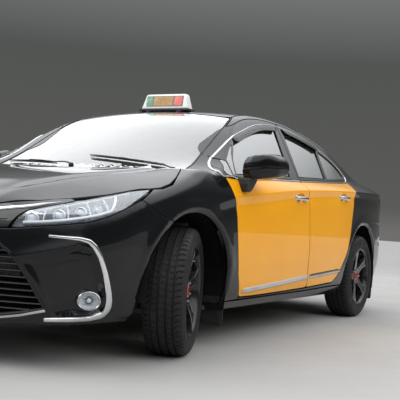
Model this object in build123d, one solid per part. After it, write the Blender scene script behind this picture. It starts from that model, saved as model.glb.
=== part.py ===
from build123d import *
import os
from math import cos, sin, radians, hypot

# Four-door saloon taxi. Row frame: +Z up, the car faces -Y, +X is the car's left side, origin on the
# floor at the middle of the car's box. Tables give s = distance behind the front bumper's nose, so
# y = s - LENGTH / 2, and z = height above the floor. All sizes are in millimetres.
LENGTH = 4630.0
AXLE_FRONT, AXLE_REAR = 940.0, 3640.0      # s of the two axles (wheelbase 2700)
TRACK_HALF_FRONT, TRACK_HALF_REAR = 765.5, 772.0
TYRE_R, TYRE_W, RIM_R = 316.0, 205.0, 203.0
ARCH_R = 388.0                             # wheel arch opening
GAP = 9.0                                  # shut line round every moving panel
WALL = 60.0                                # door and side wall thickness
SKIN = 12.0                                # door's outer layer, which reaches the shut line
INNER_STEP = 24.0                          # how far the door's inner box stays inside its outer layer
STEER_REST = 20.0                          # front wheels are parked turned to the left
KINGPIN_X = 700.0

# Centreline profile (s, z), from the lower front edge over the roof to the lower rear edge
PROFILE = [(60, 182), (12, 250), (0, 340), (0, 520), (22, 610), (72, 698), (200, 756), (400, 815), (650, 864),
           (900, 902), (1150, 932), (1500, 1150), (1880, 1368), (2120, 1408), (2450, 1428), (2800, 1420), (3120, 1386),
           (3370, 1338), (3700, 1205), (4000, 1083), (4300, 1072), (4490, 1070), (4540, 1035), (4560, 900), (4585, 745),
           (4624, 700), (4630, 480), (4600, 320), (4520, 235), (4400, 182)]
# Plan outline, left half (s, x)
PLAN = [(0, 0), (2, 250), (32, 480), (100, 640), (230, 760), (420, 835), (650, 872), (1000, 888), (1350, 892),
        (3300, 891), (3700, 882), (4050, 860), (4300, 824), (4480, 760), (4580, 640), (4624, 400), (4630, 0)]
# Cross section, left half (x, z)
SECTION = [(0, 182), (775, 182), (815, 195), (868, 300), (886, 450), (891, 620), (887, 780), (889, 850), (868, 915),
           (818, 968), (600, 1325), (560, 1368), (430, 1404), (220, 1424), (0, 1430)]
# Bonnet outline in plan, left half (s, x)
BONNET = [(72, 0), (82, 260), (112, 420), (175, 560), (285, 660), (435, 735), (600, 795), (1070, 728), (1070, 0)]
# Door outlines (s, z) and their window openings
DOOR_FRONT = [(1366, 1018), (1358, 800), (1378, 630), (1408, 460), (1462, 320), (1520, 262), (2512, 270), (2478, 420),
              (2446, 604), (2424, 760), (2410, 905), (2404, 975), (2434, 1352), (2200, 1348), (2000, 1330),
              (1800, 1276), (1600, 1164)]
WINDOW_FRONT = [(1440, 958), (2240, 992), (2392, 1308), (2200, 1306), (2020, 1290), (1830, 1240), (1640, 1130)]
DOOR_REAR = [(2445, 1352), (2414, 975), (2420, 905), (2434, 760), (2456, 604), (2488, 420), (2524, 270), (3010, 290),
             (3085, 332), (3160, 395), (3240, 510), (3300, 650), (3325, 785), (3348, 900), (3400, 988), (3525, 1052),
             (3530, 1085), (3440, 1178), (3300, 1255), (3100, 1310), (2800, 1345)]
WINDOW_REAR = [(2470, 1002), (3440, 1056), (3470, 1078), (3395, 1142), (3280, 1210), (3100, 1266), (2800, 1303),
               (2510, 1308)]
DOOR_AXES = [("front", 893.5, 1356.0), ("rear", 893.5, 2413.0)]   # vertical hinge lines: name, x, s
BONNET_AXIS = (1073.0, 934.0)                                     # s, z
BOOT_AXIS = (4003.0, 1086.0)                                      # s, z
# Front view outlines (x, z)
GRILLE = [(410, 492), (470, 430), (600, 262), (540, 232), (-540, 232), (-600, 262), (-470, 430), (-410, 492)]
HEADLAMP = [(372, 590), (470, 662), (620, 700), (760, 760), (870, 800), (900, 800), (900, 690), (760, 640), (600, 612)]
FOG = (767.0, 306.0, 62.0)                                        # x, z, radius
HOOK_FRONT, HOOK_REAR, HOOK_R = 330.0, 4200.0, 10.0               # s and radius of the lashing hook holes in the rails
# Wheels: name, side, s of axle, half track, turned with the steering, angle of the first spoke
WHEELS = [("front_left", 1, AXLE_FRONT, TRACK_HALF_FRONT, True, 20.0),
          ("front_right", -1, AXLE_FRONT, TRACK_HALF_FRONT, True, 50.0),
          ("rear_left", 1, AXLE_REAR, TRACK_HALF_REAR, False, 34.6),
          ("rear_right", -1, AXLE_REAR, TRACK_HALF_REAR, False, 65.0)]


def Y(s):
    return s - LENGTH / 2


def prism(points, plane, lo, hi):
    """A prism on a polygon: yz holds (s, z) and runs along X, xy holds (s, x) and runs along Z, xz holds (x, z) and runs along Y."""
    if plane == "yz":
        ring, way = [Vector(lo, Y(s), z) for s, z in points], Vector(hi - lo, 0, 0)
    elif plane == "xy":
        ring, way = [Vector(x, Y(s), lo) for s, x in points], Vector(0, 0, hi - lo)
    else:
        ring, way = [Vector(x, Y(lo), z) for x, z in points], Vector(0, hi - lo, 0)
    return Solid.extrude(Face(Wire.make_polygon(ring, close=True)), way)


def block(x0, x1, s0, s1, z0, z1):
    return Solid.make_box(x1 - x0, s1 - s0, z1 - z0).moved(Location((x0, Y(s0), z0)))


def rod(a, b, r):
    """A round bar from a to b, given as (x, s, z)."""
    a, b = Vector(a[0], Y(a[1]), a[2]), Vector(b[0], Y(b[1]), b[2])
    return Solid.make_cylinder(r, (b - a).length, Plane(origin=a, z_dir=(b - a)))


def inset(points, d):
    """The polygon moved inwards by d on every side (outwards if d is negative)."""
    n = len(points)
    area = sum(points[i][0] * points[(i + 1) % n][1] - points[(i + 1) % n][0] * points[i][1] for i in range(n))
    turn = 1 if area > 0 else -1
    lines = []
    for i in range(n):
        (x0, y0), (x1, y1) = points[i], points[(i + 1) % n]
        k = hypot(x1 - x0, y1 - y0)
        nx, ny = -turn * (y1 - y0) / k, turn * (x1 - x0) / k
        lines.append((x0 + nx * d, y0 + ny * d, x1 - x0, y1 - y0))
    out = []
    for i in range(n):
        ax, ay, adx, ady = lines[i - 1]
        bx, by, bdx, bdy = lines[i]
        det = adx * bdy - ady * bdx
        if abs(det) < 1e-6 * hypot(adx, ady) * hypot(bdx, bdy):
            out.append((bx, by))
            continue
        t = ((bx - ax) * bdy - (by - ay) * bdx) / det
        out.append((ax + adx * t, ay + ady * t))
    return out


def both_halves(half):
    return half + [(-x, z) for x, z in reversed(half) if x > 0]


def plan_both(half):
    return half + [(s, -x) for s, x in reversed(half) if x > 0]


def section_prism(d):
    return prism(inset(both_halves(SECTION), d), "xz", -50, LENGTH + 50)


BODIES = {}


def body(d=0.0):
    """The car's outer body without its wheels, set in by d."""
    if d not in BODIES:
        BODIES[d] = (prism(inset(PROFILE, d), "yz", -1000, 1000) & prism(inset(plan_both(PLAN), d), "xy", 100, 1600)
                     & section_prism(d))
    return BODIES[d]


def left(shape):
    return shape & block(0, 1200, -100, LENGTH + 100, 0, 1700)


def mirrored(shape):
    return shape.mirror(Plane.YZ)


def solids(*shapes):
    found = []
    for shape in shapes:
        found += [s for s in shape.solids() if s.volume > 2000]
    return found


def both_sides(shape):
    own = solids(shape)
    return own + [mirrored(s) for s in own]


NODES = {}


def node(name, *shapes):
    found = []
    for shape in shapes:
        found += shape if isinstance(shape, list) else solids(shape)
    NODES[name] = Compound(children=found) if len(found) > 1 else found[0]


outer = body(0)
well_front = rod((430, AXLE_FRONT, TYRE_R), (1000, AXLE_FRONT, TYRE_R), ARCH_R + 6)
well_rear = rod((545, AXLE_REAR, TYRE_R), (1000, AXLE_REAR, TYRE_R), ARCH_R + 6)
arch_front = rod((430, AXLE_FRONT, TYRE_R), (1000, AXLE_FRONT, TYRE_R), ARCH_R)
arch_rear = rod((545, AXLE_REAR, TYRE_R), (1000, AXLE_REAR, TYRE_R), ARCH_R)
wells = [well_front, well_rear, mirrored(well_front), mirrored(well_rear)]

# ---- bonnet, headlamps, front bumper, grille, fog lamps, front fenders
bonnet_plan = plan_both(BONNET)
bonnet_hole = prism(inset(bonnet_plan, -GAP), "xy", 600, 1000)
bonnet_zone = prism([(50, 640), (50, 760), (1100, 1000), (1100, 820), (600, 740)], "yz", -900, 900)
node("bonnet", (outer - body(22)) & prism(bonnet_plan, "xy", 600, 1000) & bonnet_zone)

lamp = (outer - outer.moved(Location((-70, 90, -40)))) & prism(HEADLAMP, "xz", -10, 690) & block(0, 900, -10, 690, 500, 900)
lamp = lamp - bonnet_hole - well_front
node("headlamps", both_sides(lamp))

lamp_hole = prism(inset(HEADLAMP, -2), "xz", -20, 692)
front_wing_line = [(440, 745), (735, 668), (735, 330), (1360, 330), (1360, 1100), (440, 1100)]
bumper_side = [(-20, 150), (-20, 720), (440, 745), (735, 668), (735, 150)]
bumper = (outer - body(18)) & prism(bumper_side, "yz", -950, 950)
bumper = bumper - bonnet_hole - well_front - mirrored(well_front) - lamp_hole - mirrored(lamp_hole)
bumper = bumper - prism(GRILLE, "xz", -20, 260)
fog_hole = rod((FOG[0], -20, FOG[1]), (FOG[0], 500, FOG[1]), FOG[2] + 1)
bumper = bumper - fog_hole - mirrored(fog_hole) - block(-700, 700, 120, 800, 150, 230) - block(-261, 261, -20, 16.5, 409, 521)
node("front_bumper", bumper)

grille = (body(19) - body(36)) & prism(inset(GRILLE, -12), "xz", -20, 260)
for k in range(7):
    z = 264 + k * 30
    grille = grille - block(-(560 - k * 22), -8, -20, 300, z, z + 18) - block(8, 560 - k * 22, -20, 300, z, z + 18)
node("grille", max(grille.solids(), key=lambda s: s.volume))
node("fog_lamps", both_sides(rod((FOG[0], -20, FOG[1]), (FOG[0], 500, FOG[1]), FOG[2] - 1) & (body(6) - body(70))))

wing_zone = prism([(440, 745), (735, 668), (735, 182), (1348, 182), (1349, 930), (1100, 950), (440, 900)], "yz", 0, 950)
wing = (left(outer) - body(5)) & wing_zone
wing = wing - bonnet_hole - lamp_hole - well_front - block(-10, 770, 735, 1400, 150, 360) - block(-10, 762, 1076, 1400, 150, 1000)
node("front_fenders", both_sides(wing))

# ---- side frames with sills, pillars and rear quarters, joined by the cowl and the rear panel
band = left(outer) - section_prism(WALL)
band = band & block(0, 1000, 1349, LENGTH, 150, 1500)
quarter_top = left(outer - body(26)) & block(550, 900, 3960, 4520, 900, 1100)
frame_left = band + quarter_top - block(-10, 735, 1300, 4700, 150, 400)
pillar_base = (left(outer) - section_prism(WALL)) & prism([(1090, 951), (1349, 931), (1349, 1200), (1090, 1200)], "yz", 0, 950)
frame_left = frame_left + pillar_base
frame_left = frame_left - prism(inset(DOOR_FRONT, -GAP), "yz", 400, 1000) - prism(inset(DOOR_REAR, -GAP), "yz", 400, 1000)
frame_left = frame_left - block(-10, 550, 1884, 3368, 1240, 1500) - arch_rear - well_front
pillar_core = section_prism(WALL + 8)
b_pillar = (left(outer) & pillar_core) - pillar_core.moved(Location((-48, 0, 0)))
b_pillar = b_pillar & prism([(2372, 196), (2520, 196), (2480, 1000), (2478, 1400), (2388, 1400), (2352, 1000)], "yz", 0, 1000)
b_feet = block(700, 812, 2372, 2520, 196, 250) + block(500, 585, 2388, 2478, 1362, 1390)
frame_left = frame_left + b_pillar + (b_feet & outer)
bumper_rear_zone = prism([(3640, 150), (3640, 330), (4022, 330), (4060, 560), (4200, 690), (4700, 735), (4700, 150)], "yz", -950, 950)
frame_left = frame_left - bumper_rear_zone - block(0, 549, 3990, 4700, 700, 1200)
tail_zone = prism([(4110, 925), (4300, 985), (4700, 985), (4700, 800), (4360, 800)], "yz", 549, 950)
frame_left = frame_left - tail_zone
cowl = (outer - body(25)) & block(-760, 760, 1080, 1150, 850, 960)
cross_rear = block(-556, 556, 4420, 4440, 700, 760) + block(-640, 640, 3960, 3990, 1000, 1052)
frame_left = frame_left - block(-10, 549, 4000, 4700, 1040, 1200)
node("roof_panel", (outer - body(28)) & block(-550, 550, 1884, 3368, 1250, 1500))
glass_zone = section_prism(WALL + 1)
screen = (outer - body(6)) & glass_zone & block(-900, 900, 1152, 1883, 900, 1400)
node("windscreen", screen - NODES["front_fenders"])
node("rear_window", (outer - body(6)) & glass_zone & block(-900, 900, 3369, 3994, 1060, 1360))
tail = (left(outer) - outer.moved(Location((-60, -80, -10)))) & prism(
    [(4113, 923), (4301, 983), (4700, 983), (4700, 802), (4362, 802)], "yz", 551, 950)
node("tail_lamps", both_sides(tail))
frame = frame_left + mirrored(frame_left) + cowl + (cross_rear & outer)
for name in ("roof_panel", "windscreen", "rear_window", "tail_lamps", "front_fenders"):
    frame = frame - NODES[name]
node("body_frame", max(frame.solids(), key=lambda s: s.volume))
boot = (outer - body(30)) & (block(-540, 540, 4006, 4700, 1000, 1100) + block(-540, 540, 4380, 4700, 752, 1100))
node("boot_lid", boot)
rear_bumper = ((outer - body(18)) & bumper_rear_zone) - arch_rear - mirrored(arch_rear) - well_rear - mirrored(well_rear)
rear_bumper = rear_bumper - block(-700, 700, 3600, 4480, 150, 262)
node("rear_bumper", rear_bumper & block(-950, 950, 3800, 4700, 150, 735))

# ---- doors, door glass, mirrors and handles
for place, outline, window in (("front", DOOR_FRONT, WINDOW_FRONT), ("rear", DOOR_REAR, WINDOW_REAR)):
    hole = prism(window, "yz", 400, 1000)
    skin = (left(outer) - section_prism(SKIN)) & prism(outline, "yz", 400, 1000)
    box = ((left(outer) & section_prism(SKIN - 0.5)) - section_prism(WALL)) & prism(inset(outline, INNER_STEP), "yz", 400, 1000)
    door = (skin + box) - hole
    glass = ((left(outer) & section_prism(18)) - section_prism(23)) & hole
    node(f"door_{place}_left", door)
    node(f"door_{place}_right", mirrored(door))
    node(f"door_glass_{place}_left", glass)
    node(f"door_glass_{place}_right", mirrored(glass))
HANDLES = [("front", 2140, 2382, 846), ("rear", 2976, 3218, 894)]      # name, s0, s1, z
for place, s0, s1, z in HANDLES:
    grip = block(905, 923, s0, s1, z - 13, z + 13)
    feet = block(889, 906, s0 + 4, s0 + 34, z - 11, z + 11) + block(889, 906, s1 - 34, s1 - 4, z - 11, z + 11)
    handle = (grip + feet) - outer
    node(f"door_handle_{place}_left", handle)
    node(f"door_handle_{place}_right", mirrored(handle))
shell = prism([(1395, 885), (1440, 870), (1560, 905), (1655, 1040), (1655, 1050), (1520, 1040), (1400, 960)], "xy", 905, 1065)
shell = shell & prism([(1380, 920), (1420, 905), (1655, 930), (1655, 1045), (1600, 1064), (1420, 1050), (1380, 1000)], "yz", 800, 1100)
foot = prism([(1470, 860), (1560, 860), (1560, 960), (1480, 960)], "yz", 840, 925)
mirror_left = (shell + foot) - outer
node("mirror_left", mirror_left)
node("mirror_right", mirrored(mirror_left))

# ---- floor, firewall, parcel shelf and boot floor
floor = block(-740, 740, 1150, 3060, 196, 216) + block(-110, 110, 1150, 3060, 196, 330)
floor = floor + block(-740, 740, 3060, 3080, 196, 380) + block(-740, 740, 3060, 3500, 360, 380)
floor = floor + block(-560, 560, 3480, 4500, 380, 400) + block(-700, 700, 1150, 1172, 196, 905)
floor = floor + block(-600, 600, 3480, 3500, 360, 1000) + block(-600, 600, 3480, 3960, 985, 1000)
floor = floor - block(-95, 95, 1172, 3060, 150, 315) - block(-740, 740, 1172, 3059, 150, 195)
for well in wells:
    floor = floor - well
floor = (floor & body(0)) - NODES["body_frame"]
node("floor_pan", floor)

# ---- wheel arch liners and mud flaps
liners = []
for axle, x0, x1 in ((AXLE_FRONT, 505, 868), (AXLE_REAR, 560, 860)):
    tube = rod((x0, axle, TYRE_R), (x1, axle, TYRE_R), ARCH_R + 5.5) - rod((x0 - 5, axle, TYRE_R), (x1 + 5, axle, TYRE_R), ARCH_R + 1.5)
    tube = tube & block(0, 900, axle - 420, axle + 420, 240 if axle == AXLE_FRONT else 330, 760)
    for name in ("front_fenders", "body_frame", "front_bumper", "rear_bumper", "floor_pan", "headlamps"):
        tube = tube - NODES[name]
    liners += solids(tube)
node("arch_liners", [p for s in liners for p in (s, mirrored(s))])
flap_front = block(690, 866, 1336, 1342, 118, 181) + block(742, 760, 1336, 1342, 118, 300)
flap_rear = block(690, 850, 4018, 4024, 140, 181) + block(690, 780, 4018, 4024, 140, 320)
flap_rear = max((flap_rear - NODES["rear_bumper"]).solids(), key=lambda s: s.volume)
node("mud_flaps", both_sides(flap_front), both_sides(flap_rear))

# ---- engine, subframe, arms and struts, rear axle, exhaust, tank
node("engine", block(-330, 360, 560, 1010, 300, 820))
rails_front = block(380, 440, 178, 1150, 380, 470) - rod((410, HOOK_FRONT, 370), (410, HOOK_FRONT, 480), HOOK_R)
rails_rear = block(480, 540, 3790, 4440, 318, 379) - rod((510, HOOK_REAR, 300), (510, HOOK_REAR, 390), HOOK_R)
beam_front = block(-500, 500, 118, 178, 385, 475)
beam_rear = block(-560, 560, 4440, 4500, 318, 379)
node("chassis_rails", rails_front + mirrored(rails_front) + beam_front, rails_rear + mirrored(rails_rear) + beam_rear)
sub = block(-400, 400, 760, 1060, 186, 236) - block(-300, 300, 820, 1000, 150, 300)
arm = block(395, 735, 905, 975, 190, 212) + rod((KINGPIN_X, AXLE_FRONT, 205), (KINGPIN_X, AXLE_FRONT, 245), 12)
upper = block(470, 735, 915, 965, 424, 444) + rod((KINGPIN_X, AXLE_FRONT, 395), (KINGPIN_X, AXLE_FRONT, 430), 12)
strut = rod((540, AXLE_FRONT, 205), (540, AXLE_FRONT, 696), 36)
post = block(440, 500, 890, 990, 200, 700) + block(440, 580, 905, 975, 682, 700)
side_gear = arm + upper + strut + post
node("front_suspension", sub + side_gear + mirrored(side_gear))
beam = rod((-600, AXLE_REAR - 60, 300), (600, AXLE_REAR - 60, 300), 32)
ends = block(560, 700, AXLE_REAR - 90, AXLE_REAR + 70, 236, 380) + block(520, 600, 3180, AXLE_REAR - 40, 250, 300)
ends = ends + rod((690, AXLE_REAR, TYRE_R), (822, AXLE_REAR, TYRE_R), 18)
spring = rod((500, 3700, 300), (500, 3700, 378), 50) + block(480, 620, 3620, 3740, 280, 310)
rear_half = ends + spring
node("rear_axle", beam + rear_half + mirrored(rear_half))
pipe = rod((-180, 1080, 166), (-180, 3300, 166), 27) + block(-420, 60, 4120, 4340, 200, 320) + block(-300, -60, 2000, 2500, 140, 194)
pipe = pipe + rod((-180, 3290, 166), (-180, 4140, 250), 27) + rod((-380, 4330, 250), (-380, 4560, 238), 26)
node("exhaust", pipe - NODES["rear_bumper"])
node("fuel_tank", block(-60, 480, 3100, 3420, 190, 350))

# ---- wheels: tyre, rim with its hub and disc; front knuckles, calipers
TYRE = [(-88, RIM_R + 1), (-88, 214), (-101, 250), (-102.5, 268), (-97, 292), (-84, 308), (-66, 315), (0, TYRE_R),
        (66, 315), (84, 308), (97, 292), (102.5, 268), (101, 250), (88, 214), (88, RIM_R + 1)]
RIM = [(-96, 214), (-88, 214), (-88, RIM_R), (88, RIM_R), (88, 214), (96, 214), (96, 200), (70, 188), (-96, 188)]


def turned(profile):
    """A ring about the X axis from (w, r) points: w along the axle, r from it."""
    return Solid.revolve(Face(Wire.make_polygon([Vector(w, 0, r) for w, r in profile], close=True)), 360, Axis.X)


def along_x(r, w0, w1):
    return Solid.make_cylinder(r, w1 - w0, Plane(origin=(w0, 0, 0), z_dir=(1, 0, 0)))


def wheel_place(side, axle, half_track, steered):
    """Puts a wheel made about X (outer face to +X) in its place."""
    turn = STEER_REST if steered else 0.0
    if side < 0:
        turn += 180.0
    if not steered:
        return Location((side * half_track, Y(axle), TYRE_R), (0, 0, turn))
    off = half_track - KINGPIN_X
    hub = Vector(off, 0, 0).rotate(Axis.Z, turn)
    return Location((side * KINGPIN_X + hub.X, Y(axle) + hub.Y, TYRE_R), (0, 0, turn))


for name, side, axle, half_track, steered, phase in WHEELS:
    place = wheel_place(side, axle, half_track, steered)
    node(f"tyre_{name}", turned(TYRE).moved(place))
    rim = turned(RIM) + along_x(70, 15, 84) + along_x(138, -6, 16)
    for k in range(5):
        spoke = Solid.extrude(Face(Wire.make_polygon([Vector(56, -34, 40), Vector(56, 34, 40), Vector(62, 20, 192), Vector(62, -20, 192)], close=True)),
                              Vector(24, 0, 0))
        rim = rim + spoke.rotate(Axis.X, 90 - phase - 72 * k if side > 0 else phase + 72 * k)
    rim = rim - along_x(18.05, -100, 60)
    node(f"rim_{name}", rim.moved(place))
    rear_way = 1 if side > 0 else -1                              # which local Y points to the car's rear
    pad = turned([(-20, 96), (-20, 178), (42, 178), (42, 96)]) - turned([(-11, 90), (-11, 146), (21, 146), (21, 90)])
    pad = pad & Solid.extrude(Face(Wire.make_polygon([Vector(-60, 0, 0), Vector(-60, rear_way * 200, 82), Vector(-60, rear_way * 200, -82)], close=True)),
                              Vector(160, 0, 0))
    if steered:
        ear = Solid.make_box(60, 150, 40).moved(Location((-80, 0 if rear_way > 0 else -150, -20)))
        hub_carrier = Solid.make_box(42, 90, 178).moved(Location((-86, -45, -90))) + along_x(18, -60, 55) + ear
        hub_carrier = hub_carrier + pad + Solid.make_box(12, 60, 40).moved(Location((-22, 96 if rear_way > 0 else -156, -20)))
        pin = Solid.make_cylinder(12.05, 60, Plane(origin=(-65.5, 0, -95), z_dir=(0, 0, 1))) + Solid.make_cylinder(12.05, 60, Plane(origin=(-65.5, 0, 40), z_dir=(0, 0, 1)))
        node(f"knuckle_{name}", (hub_carrier - pin).moved(place))
    else:
        pads = (pad + Solid.make_box(14, 120, 50).moved(Location((-34, 50 if rear_way > 0 else -170, -25)))).moved(place)
        NODES.setdefault("rear_caliper_parts", []).append(pads)
calipers = NODES.pop("rear_caliper_parts")
node("rear_calipers", [s for c in calipers for s in solids(c - NODES["rear_axle"])])

# ---- cabin: dashboard, steering wheel, seats
dash = prism([(1175, 600), (1560, 600), (1640, 700), (1640, 800), (1560, 905), (1175, 900)], "yz", -700, 700)
dash = dash - block(-660, 660, 1230, 1590, 560, 820)
for well in wells[0], wells[2]:
    dash = dash - well
column = rod((370, 1560, 815), (370, 1775, 740 + 115), 34)
console = block(-105, 105, 1560, 2050, 330, 520)
node("dashboard", max(((dash + column) & section_prism(WALL + 9)).solids(), key=lambda s: s.volume))
node("centre_console", console)
wheel_centre = Vector(370, Y(1810), 872)
wheel_axis = Vector(0, cos(radians(24)), sin(radians(24)))
rim_plane = Plane(origin=wheel_centre, x_dir=(1, 0, 0), z_dir=wheel_axis)
steering = Solid.make_torus(176, 15, rim_plane) + Solid.make_cylinder(62, 36, rim_plane.offset(-22))
for angle in (0, 180, 270):
    bar = Solid.make_box(120, 34, 14).moved(Location((54, -17, -7))).rotate(Axis.Z, angle)
    steering = steering + bar.moved(rim_plane.location)
node("steering_wheel", steering)

SEAT_BACK = [(2250, 470), (2330, 480), (2600, 1010), (2590, 1070), (2530, 1075), (2470, 1000), (2240, 580)]
for_front = []
for side in (-1, 1):
    x = side * 370
    cushion = prism([(1800, 400), (1800, 500), (1850, 545), (2260, 500), (2300, 420), (2250, 390)], "yz", x - 255, x + 255)
    back = prism(SEAT_BACK, "yz", x - 250, x + 250)
    head = prism([(2530, 1085), (2500, 1130), (2525, 1245), (2590, 1250), (2625, 1140), (2600, 1085)], "yz", x - 130, x + 130)
    posts = rod((x - 60, 2558, 1050), (x - 60, 2560, 1100), 7) + rod((x + 60, 2558, 1050), (x + 60, 2560, 1100), 7)
    base = block(x - 200, x + 200, 1870, 2230, 217, 400)
    for_front += solids(cushion + back + head + posts + base)
node("front_seats", for_front)
bench = prism([(2900, 384), (2880, 500), (2930, 560), (3340, 510), (3420, 384)], "yz", -660, 660) + block(-640, 640, 3085, 3440, 381, 420)
bench = bench & block(-660, 660, 2880, 3470, 381, 700)
bench_back = prism([(3300, 500), (3440, 500), (3476, 940), (3476, 980), (3440, 1000), (3400, 975)], "yz", -600, 600)
node("rear_seat", (bench + bench_back) - NODES["body_frame"] - well_rear - mirrored(well_rear))

# ---- roof sign, number plates
sign_base = block(-150, 150, 1960, 2080, 1388, 1420) - outer
node("sign_base", sign_base)
node("taxi_sign", prism([(-185, 1420), (185, 1420), (150, 1515), (-150, 1515)], "xz", 1975, 2065))
plate_rear = block(-260, 260, 4400, 4700, 800, 912) & (body(-12) - outer)
plate_front = prism([(-260, 410), (260, 410), (260, 520), (-260, 520)], "xz", 6, 16)
node("number_plates", plate_front, plate_rear)

os.makedirs("parts", exist_ok=True)
for name, shape in NODES.items():
    export_step(shape, f"parts/{name}.step")
print(len(NODES), "nodes")
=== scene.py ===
import bpy
import bmesh
import numpy as np
from math import pi, sin, cos, tan, radians, degrees, sqrt, atan2, hypot
from mathutils import Vector, Matrix
from mathutils.geometry import delaunay_2d_cdt


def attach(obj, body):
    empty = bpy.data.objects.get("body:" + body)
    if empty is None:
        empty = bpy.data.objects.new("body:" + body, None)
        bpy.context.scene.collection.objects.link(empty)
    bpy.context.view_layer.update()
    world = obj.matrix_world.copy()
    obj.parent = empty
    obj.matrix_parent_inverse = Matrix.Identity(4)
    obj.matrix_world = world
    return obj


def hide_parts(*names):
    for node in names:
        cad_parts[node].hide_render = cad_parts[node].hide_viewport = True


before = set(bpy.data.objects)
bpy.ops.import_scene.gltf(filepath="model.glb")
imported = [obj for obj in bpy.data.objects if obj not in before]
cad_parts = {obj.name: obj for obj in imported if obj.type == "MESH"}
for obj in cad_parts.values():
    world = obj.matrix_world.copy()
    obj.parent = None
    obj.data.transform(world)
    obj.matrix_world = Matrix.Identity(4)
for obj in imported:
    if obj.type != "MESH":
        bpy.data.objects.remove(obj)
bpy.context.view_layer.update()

LENGTH = 4630.0
AXLE_FRONT, AXLE_REAR = 940.0, 3640.0
TYRE_R = 316.0


# ---------------------------------------------------------------- smooth tables
class Spline:
    """Natural cubic spline through a table of (t, value) rows; value may be several columns. Straight outside the table."""

    def __init__(self, rows):
        rows = np.array(rows, float)
        self.t, self.y = rows[:, 0], rows[:, 1:]
        n = len(self.t)
        h = np.diff(self.t)
        a = np.zeros((n, n))
        b = np.zeros((n, self.y.shape[1]))
        a[0, 0] = a[-1, -1] = 1.0
        for i in range(1, n - 1):
            a[i, i - 1], a[i, i], a[i, i + 1] = h[i - 1], 2 * (h[i - 1] + h[i]), h[i]
            b[i] = 6 * ((self.y[i + 1] - self.y[i]) / h[i] - (self.y[i] - self.y[i - 1]) / h[i - 1])
        self.m = np.linalg.solve(a, b)
        self.h = h

    def all(self, t, order=0):
        t = np.asarray(t, float)
        i = np.clip(np.searchsorted(self.t, t) - 1, 0, len(self.t) - 2)
        h = self.h[i][..., None]
        u = np.clip(t, self.t[0], self.t[-1])
        over = (t - u)[..., None]
        p = (u - self.t[i])[..., None]
        q = h - p
        m0, m1, y0, y1 = self.m[i], self.m[i + 1], self.y[i], self.y[i + 1]
        slope = -m0 * q * q / (2 * h) + m1 * p * p / (2 * h) - (y0 / h - m0 * h / 6) + (y1 / h - m1 * h / 6)
        if order == 1:
            return slope
        return m0 * q ** 3 / (6 * h) + m1 * p ** 3 / (6 * h) + (y0 / h - m0 * h / 6) * q + (y1 / h - m1 * h / 6) * p + slope * over

    def __call__(self, t):
        return self.all(t)[..., 0]


class Bend:
    """Straight runs between the rows of a table, their corners rounded over a length r: no overshoot."""

    def __init__(self, rows, r):
        rows = np.array(rows, float)
        lo, hi = rows[0, 0] - 3 * r, rows[-1, 0] + 3 * r
        n = max(64, int((hi - lo) / (r / 8)))
        t = np.linspace(lo, hi, n)
        y = np.interp(t, rows[:, 0], rows[:, 1])
        k = max(1, int(round(r / (t[1] - t[0]))))
        for _ in range(3):
            pad = np.concatenate([np.full(k, y[0]), y, np.full(k, y[-1])])
            c = np.cumsum(np.insert(pad, 0, 0.0))
            y = (c[2 * k + 1:] - c[:-2 * k - 1]) / (2 * k + 1)
        step = max(1, n // 160)
        self.s = Spline(np.stack([t[::step], y[::step]], 1))

    def __call__(self, t):
        return self.s(np.clip(t, self.s.t[0], self.s.t[-1]))


def step(t, a, b):
    """0 at a, 1 at b, smooth between."""
    u = np.clip((np.asarray(t, float) - a) / (b - a), 0, 1)
    return u * u * u * (u * (6 * u - 15) + 10)


def smooth_max(a, b, k):
    d = np.maximum(k - np.abs(a - b), 0) / k
    return np.maximum(a, b) + d * d * d * k / 6.0


def soft_plus(t, w):
    """0 below 0, t above, rounded over w."""
    t = np.asarray(t, float)
    return np.where(t > 8 * w, t, w * np.log1p(np.exp(np.clip(t / w, -40, 8))) )


# ---------------------------------------------------------------- the body's surface
# Plan outline, left half: s, x
PLAN_ROWS = [(0, 0), (3, 200), (16, 370), (52, 530), (118, 656), (230, 755), (400, 824), (650, 868), (1000, 886), (1350, 891),
             (2000, 892), (2700, 892), (3300, 890), (3700, 881), (4050, 858), (4300, 818), (4470, 750), (4565, 640),
             (4612, 450), (4627, 230), (4630, 0)]
_p = np.array(PLAN_ROWS, float)
_p = np.concatenate([_p[3:0:-1] * [1, -1], _p, _p[-2:-5:-1] * [1, -1]])
_d = np.concatenate([[0], np.cumsum(np.hypot(*np.diff(_p, axis=0).T))])
PLAN = Spline(np.column_stack([_d - _d[3], _p]))                 # arc position a -> (s, x); a is 0 at the nose's centre
A_END = _d[-4] - _d[3]
_ga = np.linspace(-200, A_END + 200, 1600)
_gp = PLAN.all(_ga)


def plan_at(a):
    """Point (s, x) and outward normal (s, x) of the plan outline at arc position a."""
    p, d = PLAN.all(a), PLAN.all(a, 1)
    n = np.stack([-d[..., 1], d[..., 0]], -1)
    return p, n / np.linalg.norm(n, axis=-1, keepdims=True)


_cs, _cx = np.arange(-450, 5100, 15.0), np.arange(0, 1400, 15.0)
_grid = np.array([[(i, j) for j in _cx] for i in _cs]).reshape(-1, 2)
_near = np.concatenate([_ga[np.argmin((c[:, None, 0] - _gp[None, :, 0]) ** 2 + (c[:, None, 1] - _gp[None, :, 1]) ** 2, axis=1)]
                        for c in np.array_split(_grid, 24)]).reshape(len(_cs), len(_cx))


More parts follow.
